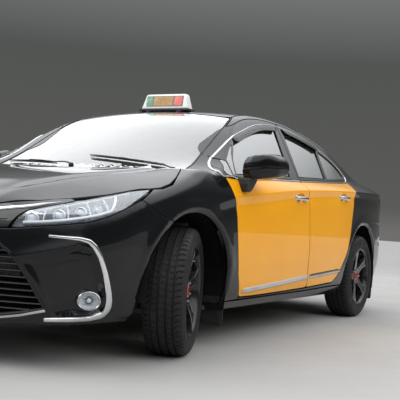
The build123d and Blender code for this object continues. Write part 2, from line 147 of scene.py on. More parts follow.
def plan_near(s, x):
    """Arc position of the nearest point of the plan outline and the signed distance to it, outside positive."""
    q = np.stack([np.asarray(s, float), np.abs(np.asarray(x, float))], -1)
    flat = q.reshape(-1, 2)
    i = np.clip(np.rint((flat[:, 0] - _cs[0]) / 15).astype(int), 0, len(_cs) - 1)
    j = np.clip(np.rint(flat[:, 1] / 15).astype(int), 0, len(_cx) - 1)
    a = _near[i, j]
    for _ in range(3):
        p, d = PLAN.all(a), PLAN.all(a, 1)
        a = a + np.clip(((flat - p) * d).sum(-1) / (d * d).sum(-1), -20, 20)
    p, n = plan_at(a)
    return a.reshape(q.shape[:-1]), ((flat - p) * n).sum(-1).reshape(q.shape[:-1])


def arc_of_s(s):
    """Arc position on the side where the outline has this s."""
    s = np.asarray(s, float)
    keep = (_ga > 700) & (_ga < A_END - 500)
    return np.interp(s, _gp[keep, 0], _ga[keep])


# Character line, belt line and the depth of the shoulder between them
CREASE = Spline([(300, 672), (600, 694), (964, 734), (1101, 757), (1209, 778), (1323, 800), (1660, 839), (2023, 877), (2376, 906), (2800, 932), (3200, 952), (3600, 966),
                 (3900, 974), (4300, 980)])
BELT = Spline([(600, 858), (900, 898), (1100, 909), (1263, 905), (1431, 905), (1738, 924), (2368, 960), (2882, 990), (3364, 1020), (3600, 1040), (3900, 1056),
               (4300, 1058)])
# Half width below the character line: z, x at the middle of the car
LOW = Bend([(150, 700), (182, 772), (200, 812), (245, 845), (300, 864), (345, 872), (395, 876), (450, 884), (540, 889.5), (620, 890.5), (700, 889), (780, 887.5), (900, 888)], 16)
NOSE = Bend([(100, 130), (182, 66), (215, 30), (250, 12), (300, 3), (360, 0), (500, 0), (560, 6), (610, 22), (650, 42), (698, 72), (730, 115), (756, 200), (800, 330)], 16)
CORNER = Bend([(100, 150), (182, 84), (205, 52), (240, 26), (290, 9), (360, 1), (460, 0), (540, 3), (600, 10), (650, 22), (700, 44), (760, 84), (800, 122), (860, 190)], 20)
TAIL = Bend([(100, 200), (182, 150), (235, 100), (300, 38), (350, 16), (420, 3), (480, 0), (600, 2), (680, 7), (702, 16), (722, 44), (760, 54), (850, 66), (960, 76),
             (1040, 84), (1060, 90), (1090, 130)], 9)
TAIL_CORNER = Bend([(100, 200), (182, 150), (235, 96), (300, 34), (350, 14), (420, 3), (480, 0), (600, 2), (680, 8), (740, 17), (800, 24), (900, 34), (960, 46), (1020, 88),
                    (1060, 150)], 16)
# Centreline heights: bonnet, glasshouse, boot
Z_BONNET = Spline([(-200, 560), (0, 664), (100, 716), (200, 757), (400, 815), (650, 867), (900, 907), (1070, 928), (1300, 944)])
Z_GLASS = Spline([(1000, 836), (1100, 902), (1200, 966), (1350, 1060), (1500, 1151), (1700, 1268), (1850, 1337), (1960, 1366), (2120, 1388), (2450, 1405), (2800, 1398),
                  (3120, 1370), (3370, 1325), (3550, 1268), (3700, 1213), (3850, 1152), (4000, 1092), (4200, 1005)])
Z_BOOT = Spline([(3500, 1106), (3800, 1096), (4000, 1087), (4200, 1079), (4400, 1073), (4500, 1073), (4560, 1077), (4700, 1082)])
CROWN = Spline([(0, 8), (400, 12), (700, 10), (950, 0), (1050, -6), (1120, 6), (1250, 38), (1500, 54), (1900, 52), (2450, 46), (3100, 52), (3450, 60), (3750, 50), (4000, 24), (4300, 14), (4630, 14)])
RIDGE_X = Spline([(60, 330), (300, 392), (600, 470), (900, 556), (1100, 616)])
RIDGE_K = Spline([(0, 0.14), (150, 0.19), (300, 0.23), (500, 0.20), (700, 0.15), (900, 0.08), (1060, 0.03), (1150, 0.0)])


def arch_lip(s, z):
    """How far the rolled lip round a wheel arch draws the skin in."""
    out = 0.0
    for axle in (AXLE_FRONT, AXLE_REAR):
        r = np.hypot(s - axle, z - TYRE_R)
        out = out + 13.0 * np.clip((413 - r) / 26.0, 0, 1) ** 1.7 * (z > 100) - 5.0 * np.exp(-((r - 424) / 34.0) ** 2) * step(z, 330, 480)
    return out


def side_inset(s, z):
    """How far the side's skin lies inside the plan outline."""
    zc, zk = CREASE(s), BELT(s)
    glass = 818 - (z - 968) * 0.6106 - 46 * step(s, 3250, 4050) * step(z, 960, 1120)
    x_crease = 888.5
    at_belt = 818 - (zk - 968) * 0.6106 - 46 * step(s, 3250, 4050) * step(zk, 960, 1120)
    t = (z - zc) / (zk - zc)
    sharp = step(s, 950, 1350)
    up = x_crease - (x_crease - at_belt) * ((0.15 + 0.42 * sharp) * t + (0.85 - 0.42 * sharp) * t * t)
    scoop = 5.5 * np.exp(-((z - zc + 52) / 34.0) ** 2) * step(s, 1000, 1300) * (1 - 0.6 * step(s, 3200, 3900))
    low = LOW(z) - scoop
    body = np.where(z < zc, low + (x_crease - (LOW(zc) - 5.5 * np.exp(-(52 / 34.0) ** 2) * step(s, 1000, 1300) * (1 - 0.6 * step(s, 3200, 3900)))) * np.exp((np.minimum(z, zc) - zc) / 70.0), up)
    x = np.where(z > zk, glass, body)
    return 892 - x + arch_lip(s, z)


def front_features(s, x, z):
    """Relief of the front bumper, positive inwards: none here, it is always 0."""
    return 0.0


def belt_inset(a, s, x, z):
    x = np.abs(x)
    side = side_inset(s, z)
    w_front = 1 - step(a, 560, 1250)
    w_nose = 1 - step(a, 160, 620)
    front = NOSE(z) * w_nose + CORNER(z) * (1 - w_nose)
    w_rear = step(a, A_END - 1180, A_END - 620)
    w_tail = step(a, A_END - 620, A_END - 300)
    rear = TAIL(z) * w_tail + TAIL_CORNER(z) * (1 - w_tail)
    return side * (1 - w_front - w_rear) + front * w_front + rear * w_rear + front_features(s, x, z)


def top_height(s, x):
    x = np.abs(x)
    ridge = RIDGE_K(np.clip(s, 0, 1150)) * soft_plus(x - RIDGE_X(np.clip(s, 60, 1100)), 5.0) + 8.5 * np.exp(-((x - RIDGE_X(np.clip(s, 60, 1100)) + 30) / 38.0) ** 2) * step(s, 150, 400) * (1 - step(s, 1040, 1120))
    drop = CROWN(s) * (x / 700) ** 2
    bonnet = np.where(s < 1500, Z_BONNET(s) - drop - ridge, 0.0)
    glass = Z_GLASS(s) - drop
    boot = np.where(s > 3600, Z_BOOT(s) - drop, 0.0)
    return np.maximum(np.maximum(bonnet, glass), boot)


def round_k(s):
    return 14 + 60 * (1 - step(s, 900, 1150)) + 24 * step(s, 1500, 2000) * (1 - step(s, 3500, 3900)) + 20 * step(s, 3900, 4100)


def field(s, x, z):
    """Below 0 inside the body, 0 on its skin, above 0 outside."""
    a, d = plan_near(s, x)
    wall = d + belt_inset(a, s, x, z)
    top = (z - top_height(s, x)) * 0.9
    return smooth_max(wall, top, round_k(s))


def cast(s, x, z, ds, dx, dz, far=700.0):
    """Moves each point from outside along its direction onto the skin."""
    s, x, z, ds, dx, dz = (np.array(v, float) for v in np.broadcast_arrays(s, x, z, ds, dx, dz))
    t = np.zeros_like(s)
    f = field(s, x, z)
    g = np.full_like(s, -0.9)
    for _ in range(15):
        move = np.clip(-f / g, -60, 160)
        t2 = np.clip(t + move, 0, far)
        f2 = field(s + ds * t2, x + dx * t2, z + dz * t2)
        dt = t2 - t
        slope = np.where(np.abs(dt) > 0.02, (f2 - f) / np.where(np.abs(dt) > 0.02, dt, 1), g)
        g = np.clip(slope, -3.0, -0.3)
        t, f = t2, f2
    bad = np.abs(f) > 0.15
    if bad.any():
        sb, xb, zb, db, eb, gb = s[bad], x[bad], z[bad], ds[bad], dx[bad], dz[bad]
        lo, hi, found = np.zeros_like(sb), np.full_like(sb, far), np.zeros(sb.shape, bool)
        for k in range(1, 49):
            u = far * k / 48
            new = (field(sb + db * u, xb + eb * u, zb + gb * u) < 0) & ~found
            hi, lo = np.where(new, u, hi), np.where(new, far * (k - 1) / 48, lo)
            found |= new
            if found.all():
                break
        for _ in range(16):
            m = (lo + hi) / 2
            inside = field(sb + db * m, xb + eb * m, zb + gb * m) < 0
            hi, lo = np.where(inside, m, hi), np.where(inside, lo, m)
        t[bad] = (lo + hi) / 2
    return s + ds * t, x + dx * t, z + dz * t


def normal(s, x, z, h=1.5):
    g = np.stack([field(s + h, x, z) - field(s - h, x, z), field(s, x + h, z) - field(s, x - h, z), field(s, x, z + h) - field(s, x, z - h)], -1)
    return g / np.linalg.norm(g, axis=-1, keepdims=True)


# ---------------------------------------------------------------- charts: flat coordinates for the skin
class SideChart:
    """u = s, v across; rays run inwards and down at an angle."""

    def __init__(self, tilt=30.0, far=1500.0):
        self.c, self.k, self.far = cos(radians(tilt)), sin(radians(tilt)), far

    def uv(self, p):
        return np.stack([p[..., 0], -p[..., 1] * self.k + p[..., 2] * self.c], -1)

    def point(self, q):
        u, v = q[..., 0], q[..., 1]
        d = 1450.0
        s, x, z = u, -v * self.k + d * self.c, v * self.c + d * self.k
        return np.stack(cast(s, x, z, 0 * u, -self.c + 0 * u, -self.k + 0 * u, self.far)[:3], -1)


class TopChart:
    """u = s, v = x; rays run straight down."""

    def uv(self, p):
        return p[..., :2].copy()

    def point(self, q):
        u, v = q[..., 0], q[..., 1]
        top = top_height(u, v) + 12.0
        return np.stack(cast(u, v, top, 0 * u, 0 * u, 0 * u - 1, 500.0)[:3], -1)


class RingChart:
    """u = arc round the plan outline, v = height, bending over above zu and under below zl."""

    def __init__(self, zu, ru, zl=250.0, rl=300.0, rear=False):
        self.zu, self.ru, self.zl, self.rl, self.rear = zu, ru, zl, rl, rear

    def uv(self, p):
        s, x, z = p[..., 0], p[..., 1], p[..., 2]
        a, d = plan_near(s, x)
        up = np.arctan2(z - self.zu, d + self.ru)
        lo = np.arctan2(self.zl - z, d + self.rl)
        v = np.where(z > self.zu, self.zu + self.ru * up, np.where(z < self.zl, self.zl - self.rl * lo, z))
        a = np.where(x < -1e-6, (2 * A_END - a) if self.rear else -a, a)
        return np.stack([a, v], -1)

    def point(self, q):
        a, v = q[..., 0], q[..., 1]
        far = a > A_END
        flip = far if self.rear else a < 0
        aa = np.where(far, 2 * A_END - a, np.abs(a)) if self.rear else np.abs(a)
        p, n = plan_at(aa)
        t = np.where(v > self.zu, (v - self.zu) / self.ru, np.where(v < self.zl, -(self.zl - v) / self.rl, 0.0))
        r = np.where(v > self.zu, self.ru, np.where(v < self.zl, self.rl, 0.0))
        z0 = np.where(v > self.zu, self.zu, np.where(v < self.zl, self.zl, v))
        m = 210.0
        off = -r + (r + m) * np.cos(t)
        zz = z0 + np.where(r > 0, (r + m) * np.sin(t), 0.0)
        off = np.where(r > 0, off, m)
        s, x = p[..., 0] + n[..., 0] * off, p[..., 1] + n[..., 1] * off
        out = np.stack(cast(s, x, zz, -n[..., 0] * np.cos(t), -n[..., 1] * np.cos(t), -np.sin(t), 700.0)[:3], -1)
        out[..., 1] = np.where(flip, -out[..., 1], out[..., 1])
        return out


class TailChart:
    """u = arc round a centre in the side view, v = x; for the boot lid."""

    def __init__(self, s0=4300.0, z0=830.0, r=330.0):
        self.s0, self.z0, self.r = s0, z0, r

    def uv(self, p):
        return np.stack([np.arctan2(p[..., 0] - self.s0, p[..., 2] - self.z0) * self.r, p[..., 1]], -1)

    def point(self, q):
        t, x = q[..., 0] / self.r, q[..., 1]
        m = 520.0
        return np.stack(cast(self.s0 + m * np.sin(t), x, self.z0 + m * np.cos(t), -np.sin(t), 0 * t, -np.cos(t), 500.0)[:3], -1)


SIDE = SideChart()
TOP = TopChart()
FRONT = RingChart(450.0, 330.0)
FENDER = RingChart(690.0, 330.0)
SILL = RingChart(600.0, 400.0, 300.0, 260.0)
REAR = RingChart(700.0, 300.0, 300.0, 260.0, rear=True)
TAILC = TailChart()


# ---------------------------------------------------------------- outlines
def fillet(rows, r=6.0, step=9.0, closed=True):
    """Polygon rows (numbers, then optionally a corner radius, 'o' for an open edge that starts here) as a dense loop.
    Returns points and, for each edge, whether it is a finished one."""
    pts, rad, fin = [], [], []
    for row in rows:
        nums = [v for v in row if not isinstance(v, str)]
        dim = fillet.dim
        pts.append(nums[:dim])
        rad.append(nums[dim] if len(nums) > dim else r)
        fin.append('o' not in row)
    p = np.array(pts, float)
    n = len(p)
    out, tag = [], []

    def line(a, b, t):
        k = max(1, int(np.ceil(np.linalg.norm(b - a) / step)))
        for i in range(k):
            out.append(a + (b - a) * i / k)
            tag.append(t)
    starts, ends = [], []
    for i in range(n):
        if not closed and i in (0, n - 1):
            starts.append(p[i]); ends.append(p[i])
            continue
        a, b, c = p[i - 1], p[i], p[(i + 1) % n]
        la, lc = np.linalg.norm(a - b), np.linalg.norm(c - b)
        ua, uc = (a - b) / max(la, 1e-9), (c - b) / max(lc, 1e-9)
        ang = np.arccos(np.clip(-(ua @ uc), -1, 1))
        t = min(rad[i] * tan(ang / 2), 0.47 * la, 0.47 * lc)
        starts.append(b + ua * t); ends.append(b + uc * t)
    for i in range(n):
        b = p[i]
        if np.linalg.norm(starts[i] - ends[i]) > 0.4:
            length = np.linalg.norm(starts[i] - b) * 2
            k = max(3, int(np.ceil(length / min(step, 6.0))))
            for j in range(k):
                u = j / k
                out.append(starts[i] * (1 - u) ** 2 + b * 2 * u * (1 - u) + ends[i] * u * u)
                tag.append(fin[i - 1] if u < 0.5 else fin[i])
        if closed or i < n - 1:
            line(ends[i], starts[(i + 1) % n], fin[i])
    if not closed:
        out.append(p[-1]); tag.append(True)
    out = np.array(out)
    tag = np.array(tag)
    gap = np.linalg.norm(np.roll(out, -1, 0) - out, axis=1)
    keep = gap > 0.35
    if not closed:
        keep[-1] = True
    return out[keep], tag[keep]


fillet.dim = 2


def loop2(rows, **k):
    fillet.dim = 2
    return fillet(rows, **k)


def loop3(rows, **k):
    fillet.dim = 3
    return fillet(rows, **k)


def on_side(sz, flip=1):
    """(s, z) rows -> points on the left side's skin."""
    s, z = sz[..., 0], sz[..., 1]
    return np.stack(cast(s, 0 * s + 1000.0, z, 0 * s, 0 * s - 1, 0 * s, 900.0)[:3], -1)


def area2(q):
    return 0.5 * np.sum(q[:, 0] * np.roll(q[:, 1], -1) - np.roll(q[:, 0], -1) * q[:, 1])


def inset(q, dist):
    """Moves a counter-clockwise loop inwards by dist per edge."""
    e = np.roll(q, -1, 0) - q
    e = e / np.maximum(np.linalg.norm(e, axis=1, keepdims=True), 1e-9)
    n = np.stack([-e[:, 1], e[:, 0]], 1)
    n0, n1 = np.roll(n, 1, 0), n
    d0, d1 = np.roll(dist, 1), dist
    det = n0[:, 0] * n1[:, 1] - n0[:, 1] * n1[:, 0]
    ok = np.abs(det) > 0.12
    dd = np.where(ok, det, 1.0)
    ox = (d0 * n1[:, 1] - d1 * n0[:, 1]) / dd
    oy = (-d0 * n1[:, 0] + d1 * n0[:, 0]) / dd
    m = n0 + n1
    m = m / np.maximum(np.linalg.norm(m, axis=1, keepdims=True), 1e-9)
    avg = m * ((d0 + d1) / 2)[:, None]
    o = np.where(ok[:, None], np.stack([ox, oy], 1), avg)
    big = np.linalg.norm(o, axis=1, keepdims=True)
    cap = 2.5 * np.maximum(d0, d1)[:, None] + 1e-9
    return q + o * np.minimum(1, cap / np.maximum(big, 1e-9))


def inside_poly(pts, q):
    x, y = pts[:, 0][:, None], pts[:, 1][:, None]
    x1, y1 = q[:, 0][None], q[:, 1][None]
    x2, y2 = np.roll(q[:, 0], -1)[None], np.roll(q[:, 1], -1)[None]
    cond = (y1 > y) != (y2 > y)
    t = (x2 - x1) * (y - y1) / np.where(np.abs(y2 - y1) < 1e-12, 1e-12, y2 - y1) + x1
    return (np.sum(cond & (x < t), axis=1) % 2) == 1


def inside(pts, q):
    return np.concatenate([inside_poly(c, q) for c in np.array_split(pts, max(1, len(pts) // 3000))]) if len(pts) else np.zeros(0, bool)


def edge_distance(pts, q):
    out = []
    a, b = q, np.roll(q, -1, 0)
    ab = b - a
    l2 = np.maximum((ab * ab).sum(1), 1e-12)
    for c in np.array_split(pts, max(1, len(pts) // 1500)):
        t = np.clip(((c[:, None] - a[None]) * ab[None]).sum(-1) / l2, 0, 1)
        out.append(np.min(np.linalg.norm(c[:, None] - a[None] - t[..., None] * ab[None], axis=-1), axis=1))
    return np.concatenate(out) if out else np.zeros(0)


# ---------------------------------------------------------------- mesh building
class Part:
    """Collects vertices (s, x, z in mm), faces, normals and material numbers."""

    def __init__(self):
        self.v, self.n, self.f, self.m, self.count = [], [], [], [], 0

    def add(self, v, f, n=None, mat=0):
        v = np.asarray(v, float).reshape(-1, 3)
        self.v.append(v)
        self.n.append(np.zeros_like(v) if n is None else np.asarray(n, float).reshape(-1, 3))
        k = self.count
        self.f += [tuple(int(i) + k for i in face) for face in f]
        self.m += [mat] * len(f) if np.isscalar(mat) else list(mat)
        self.count += len(v)
        return k

    def extend(self, other, mat=None):
        if other.count:
            self.add(np.concatenate(other.v), other.f, np.concatenate(other.n), other.m if mat is None else mat)
        return self

    def mirrored(self):
        o = Part()
        if self.count:
            v, n = np.concatenate(self.v).copy(), np.concatenate(self.n).copy()
            v[:, 1] *= -1
            n[:, 1] *= -1
            o.add(v, [tuple(reversed(f)) for f in self.f], n, list(self.m))
        return o

    def moved(self, fn):
        """fn takes points in mm and gives new ones; normals are worked out again."""
        o = Part()
        if self.count:
            o.add(fn(np.concatenate(self.v)), self.f, None, list(self.m))
        return o


MATS = {}
MADE = {}


def emit(name, part, body, mats, replaces=(), smooth=40.0):
    v = np.concatenate(part.v)
    n = np.concatenate(part.n)
    me = bpy.data.meshes.new(name)
    co = np.stack([v[:, 1], v[:, 0] - LENGTH / 2, v[:, 2]], 1) * 0.001
    me.from_pydata(co.tolist(), [], part.f)
    me.update()
    for m in (mats if isinstance(mats, (list, tuple)) else [mats]):
        me.materials.append(MATS[m])
    me.polygons.foreach_set("material_index", np.array(part.m, np.int32))
    me.polygons.foreach_set("use_smooth", np.ones(len(part.f), bool))
    given = np.abs(n).sum(1) > 0.5
    if given.any():
        nn = np.stack([n[:, 1], n[:, 0], n[:, 2]], 1)
        if not given.all():
            if smooth and smooth < 179:
                me.set_sharp_from_angle(angle=radians(smooth))
        me.normals_split_custom_set_from_vertices(nn.tolist())
    elif smooth and smooth < 179:
        me.set_sharp_from_angle(angle=radians(smooth))
    me.validate()
    o = bpy.data.objects.new(name, me)
    bpy.context.scene.collection.objects.link(o)
    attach(o, body)
    if replaces:
        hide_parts(*replaces)
    MADE[name] = o
    return o


def both(name, part, bodies, mats, replaces=((), ()), smooth=40.0):
    """The left piece and its mirror image."""
    emit(name + "_left", part, bodies[0], mats, replaces[0], smooth)
    emit(name + "_right", part.mirrored(), bodies[1], mats, replaces[1], smooth)


def grid_points(q, g, margin):
    lo, hi = q.min(0), q.max(0)
    rows = []
    k = 0
    y = lo[1] + g * 0.4
    while y < hi[1]:
        x = np.arange(lo[0] + g * (0.3 + 0.5 * (k % 2)), hi[0], g)
        rows.append(np.stack([x, 0 * x + y], 1))
        y += g * 0.866
        k += 1
    p = np.concatenate(rows) if rows else np.zeros((0, 2))
    p = p[inside(p, q)]
    return p[edge_distance(p, q) > margin] if len(p) else p


def panel(chart, loop, fin=None, holes=(), g=16.0, r=3.0, gap=2.6, flange=14.0, back=None, relief=None, lines=(), mats=(0, 0), offset=0.0, inner_fn=None):
    """A sheet cut from the skin along a loop of points (3-D, or 2-D in the chart): rounded hems, walls behind them, and an inner face when back is given.
    holes: (points, finished, gap) loops. offset lifts the sheet off the skin."""
    def to_uv(l):
        l = np.asarray(l, float)
        return chart.uv(l) if l.shape[1] == 3 else l
    g = g * (1.3 if relief is None else 1.15)
    loops = []
    for j, (l, f, gg) in enumerate([(loop, fin, gap)] + [(h[0], h[1], h[2] if len(h) > 2 else gap) for h in holes]):
        q = to_uv(l)
        f = np.ones(len(q), bool) if f is None else np.asarray(f, bool)
        want = area2(q) > 0
        if not want:
            q = q[::-1]
            f = np.roll(f[::-1], -1)
        if j:
            q = inset(q, np.where(f, -(gg + r), 0.0))
        else:
            q = inset(q, np.where(f, gg + r, 0.0))
        loops.append((q, f))
    outer = loops[0][0]
    pts = grid_points(outer, g, 0.6 * g)
    for q, _ in loops[1:]:
        if len(pts):
            pts = pts[~inside(pts, q)]
        if len(pts):
            pts = pts[edge_distance(pts, q) > 0.6 * g]
    extra = []
    for l in lines:
        q = to_uv(l)
        ok = inside(q, outer) & (edge_distance(q, outer) > 4.0)
        for h, _ in loops[1:]:
            ok &= ~inside(q, h) & (edge_distance(q, h) > 4.0)
        extra.append(q[ok])
    if extra:
        ex = np.concatenate(extra)
        if len(ex) and len(pts):
            near = np.array([np.min(np.linalg.norm(ex[None] - c[:, None], axis=-1), axis=1) for c in np.array_split(pts, len(pts) // 1500 + 1)], dtype=object)
            near = np.concatenate([np.asarray(k, float) for k in near])
            pts = pts[near > 0.5 * g]
        pts = np.concatenate([pts, ex]) if len(ex) else pts
    allq, edges, k = [], [], 0
    for q, _ in loops:
        m = len(q)
        allq.append(q)
        edges += [(k + i, k + (i + 1) % m) for i in range(m)]
        k += m
    nb = k
    allq.append(pts)
    q = np.concatenate(allq)
    vo, _, fo, ov, _, _ = delaunay_2d_cdt([Vector(p) for p in q.tolist()], edges, [], 0, 0.02)
    vo = np.array([v[:] for v in vo])
    fo = np.array([f for f in fo if len(f) == 3], int)
    back_of = np.full(len(q), -1)
    for i, l in enumerate(ov):
        for o in l:
            if o < len(q):
                back_of[o] = i
    cen = vo[fo].mean(1)
    keep = inside(cen, outer)
    for h, _ in loops[1:]:
        keep &= ~inside(cen, h)
    fo = fo[keep]
    p = chart.point(vo)
    nrm = normal(p[:, 0], p[:, 1], p[:, 2])
    if offset:
        p = p + nrm * offset
    if relief is not None:
        d = relief(p)
        h = 2.0
        p = p - nrm * d[:, None]
    e1, e2 = p[fo[:, 1]] - p[fo[:, 0]], p[fo[:, 2]] - p[fo[:, 0]]
    face_n = np.cross(e1[:, [1, 0, 2]], e2[:, [1, 0, 2]])
    flip = (face_n * nrm[fo[:, 0]][:, [1, 0, 2]]).sum(1).sum() < 0
    if flip:
        fo = fo[:, ::-1]
    out = Part()
    if relief is not None:
        # normals from the moved mesh
        e1, e2 = p[fo[:, 1]] - p[fo[:, 0]], p[fo[:, 2]] - p[fo[:, 0]]
        fn = np.cross(e1[:, [1, 0, 2]], e2[:, [1, 0, 2]])[:, [1, 0, 2]]
        acc = np.zeros_like(p)
        for c in range(3):
            np.add.at(acc, fo[:, c], fn)
        nrm = acc / np.maximum(np.linalg.norm(acc, axis=1, keepdims=True), 1e-9)
    out.add(p, fo.tolist(), nrm, mats[0])
    inner_pos = p - nrm * (back or 0.0)
    if inner_fn is not None and back:
        inner_pos = inner_fn(p, nrm, vo)
    k = 0
    walls = Part()
    ring_back = {}
    for j, (ql, f) in enumerate(loops):
        m = len(ql)
        idx = back_of[k:k + m]
        k += m
        P, N = p[idx], nrm[idx]
        T = np.roll(P, -1, 0) - np.roll(P, 1, 0)
        T = T / np.maximum(np.linalg.norm(T, axis=1, keepdims=True), 1e-9)
        uvT = np.roll(ql, -1, 0) - np.roll(ql, 1, 0)
        O = np.cross(T[:, [1, 0, 2]], N[:, [1, 0, 2]])[:, [1, 0, 2]]
        O = O / np.maximum(np.linalg.norm(O, axis=1, keepdims=True), 1e-9)
        # outward test in the chart: step along O and compare with the loop's own side
        probe = chart.uv(P + O * 3.0) - chart.uv(P)
        right = np.stack([uvT[:, 1], -uvT[:, 0]], 1)
        side = np.sign(np.sum(probe * right))
        O = O * (side if side != 0 else 1) * (-1 if j else 1)
        fv = f | np.roll(f, 1)          # vertex touches a finished edge
        rr = np.where(fv, r, 0.0)[:, None]
        rings = [(P, N)]
        for th in (35.0, 65.0, 90.0):
            a = radians(th)
            rings.append((P + O * rr * sin(a) - N * rr * (1 - cos(a)), O * sin(a) + N * cos(a)))
        depth = (back if back else flange)
        rings.append((P + O * rr - N * depth, O))
        if back and inner_fn is not None:
            rings[-1] = (inner_pos[idx] + O * rr, O)
        base = walls.count
        for rp, rn in rings:
            walls.add(rp, [], rn)
        order = 1
        test = np.cross((rings[1][0][1] - P[1])[[1, 0, 2]] if rr[1] > 0 else -N[1][[1, 0, 2]], T[1][[1, 0, 2]])
        faces = []
        for a in range(len(rings) - 1):
            for i in range(m):
                if not f[i]:
                    continue
                b = (i + 1) % m
                faces.append((base + a * m + i, base + a * m + b, base + (a + 1) * m + b, base + (a + 1) * m + i))
        # orientation from the first real face
        if faces:
            V = np.concatenate(walls.v)
            fl = faces[len(faces) // 2]
            w = V[list(fl)]
            fnm = np.cross((w[1] - w[0])[[1, 0, 2]], (w[2] - w[1])[[1, 0, 2]])
            NN = np.concatenate(walls.n)[list(fl)].mean(0)[[1, 0, 2]]
            if fnm @ NN < 0:
                faces = [tuple(reversed(t)) for t in faces]
        walls.f += faces
        walls.m += [mats[0]] * (len(faces) * 3 // 4) + [mats[-1] if len(mats) > 2 else mats[0]] * (len(faces) - len(faces) * 3 // 4)
        if back:
            for i, v in enumerate(idx):
                ring_back[int(v)] = rings[-1][0][i]
    out.extend(walls)
    if back:
        ip = inner_pos.copy()
        for i, v in ring_back.items():
            ip[i] = v
        out.add(ip, fo[:, ::-1].tolist(), -nrm if inner_fn is None else None, mats[1])
    return out


def follow(loop, chart=None, off=0.0, close=True):
    """Points and normals of a line laid on the skin, lifted by off."""
    p = np.asarray(loop, float)
    n = normal(p[:, 0], p[:, 1], p[:, 2])
    return p + n * off, n


def strip(line, width_in, width_out, height, n=None, closed=False, round_=2.0, sink=2.0, side=None):
    """A trim strip along a line on the skin: half round section, sunk a little into the skin. width_in/out to the two sides of the line."""
    p = np.asarray(line, float)
    if n is None:
        n = normal(p[:, 0], p[:, 1], p[:, 2])
    if closed:
        t = np.roll(p, -1, 0) - np.roll(p, 1, 0)
    else:
        t = np.gradient(p, axis=0)
    t = t / np.maximum(np.linalg.norm(t, axis=1, keepdims=True), 1e-9)
    b = np.cross(t[:, [1, 0, 2]], n[:, [1, 0, 2]])[:, [1, 0, 2]]
    b = b / np.maximum(np.linalg.norm(b, axis=1, keepdims=True), 1e-9)
    h = np.broadcast_to(np.asarray(height, float), (len(p),))
    wi = np.broadcast_to(np.asarray(width_in, float), (len(p),))
    wo = np.broadcast_to(np.asarray(width_out, float), (len(p),))
    prof = [(-1, -1), (-1, 0.15), (-0.93, 0.55), (-0.72, 0.88), (-0.4, 1.0), (0.4, 1.0), (0.72, 0.88), (0.93, 0.55), (1, 0.15), (1, -1)]
    verts = []
    for a, c in prof:
        w = np.where(a < 0, wi * a, wo * a)
        hh = np.where(c < 0, -sink, h * c)
        verts.append(p + b * w[:, None] + n * (hh + 0 * w)[:, None])
    m, k = len(p), len(prof)
    v = np.stack(verts, 1).reshape(-1, 3)
    f = []
    for i in range(m if closed else m - 1):
        j = (i + 1) % m
        for c in range(k - 1):
            f.append((i * k + c, i * k + c + 1, j * k + c + 1, j * k + c))
    if not closed:
        f.append(tuple(range(k)))
        f.append(tuple((m - 1) * k + c for c in reversed(range(k))))
    o = Part()
    w = v[list(f[k // 2])]
    fnm = np.cross((w[1] - w[0])[[1, 0, 2]], (w[2] - w[1])[[1, 0, 2]])
    if fnm @ n[0][[1, 0, 2]] < 0:
        f = [tuple(reversed(t)) for t in f]
    o.add(v, f)
    return o


def tube(path, radius, seg=10, closed=False, caps=True, flat=None):
    """A round bar along a path."""
    p = np.asarray(path, float)
    t = (np.roll(p, -1, 0) - np.roll(p, 1, 0)) if closed else np.gradient(p, axis=0)
    t = t / np.maximum(np.linalg.norm(t, axis=1, keepdims=True), 1e-9)
    up = np.array([0, 0, 1.0]) if abs(t[0][2]) < 0.9 else np.array([0, 1.0, 0])
    rad = np.broadcast_to(np.asarray(radius, float), (len(p),))
    us, vs = [], []
    u = np.cross(t[0], up)
    u /= np.linalg.norm(u)
    for i in range(len(p)):
        u = u - t[i] * (u @ t[i])
        u /= max(np.linalg.norm(u), 1e-9)
        us.append(u.copy())
        vs.append(np.cross(t[i], u))
    us, vs = np.array(us), np.array(vs)
    ang = np.linspace(0, 2 * pi, seg, endpoint=False)
    sx, sy = (1, 1) if flat is None else flat
    v = (p[:, None] + rad[:, None, None] * (sx * np.cos(ang)[None, :, None] * us[:, None] + sy * np.sin(ang)[None, :, None] * vs[:, None])).reshape(-1, 3)
    f = []
    m = len(p)
    for i in range(m if closed else m - 1):
        j = (i + 1) % m
        for c in range(seg):
            d = (c + 1) % seg
            f.append((i * seg + c, j * seg + c, j * seg + d, i * seg + d))
    if caps and not closed:
        f.append(tuple(range(seg)))
        f.append(tuple((m - 1) * seg + c for c in reversed(range(seg))))
    o = Part()
    o.add(v, f)
    return o


def lathe(profile, centre, axis='x', seg=96, arc=(0, 360), wave=None, mat=0):
    """profile: rows (w along the axis, r). Turned round an axis through centre (s, x, z)."""
    pr = np.array(profile, float)
    full = abs(arc[1] - arc[0]) >= 359.9
    ang = np.radians(np.linspace(arc[0], arc[1], seg, endpoint=not full))
    w, r = pr[:, 0][None], pr[:, 1][None]
    c, s_ = np.cos(ang)[:, None], np.sin(ang)[:, None]
    one = np.ones_like(c)
    if axis == 'x':
        v = np.stack([c * r, one * w, s_ * r], -1)
    elif axis == 'z':
        v = np.stack([c * r, s_ * r, one * w], -1)
    else:
        v = np.stack([one * w, c * r, s_ * r], -1)
    k = len(pr)
    v = (v + np.array(centre, float)).reshape(-1, 3)
    f = []
    n = len(ang)
    for i in range(n if full else n - 1):
        j = (i + 1) % n
        for q in range(k - 1):
            f.append((i * k + q, i * k + q + 1, j * k + q + 1, j * k + q))
    o = Part()
    if axis == 'x':
        f = [tuple(reversed(t)) for t in f]
    o.add(v, f, None, mat)
    return o


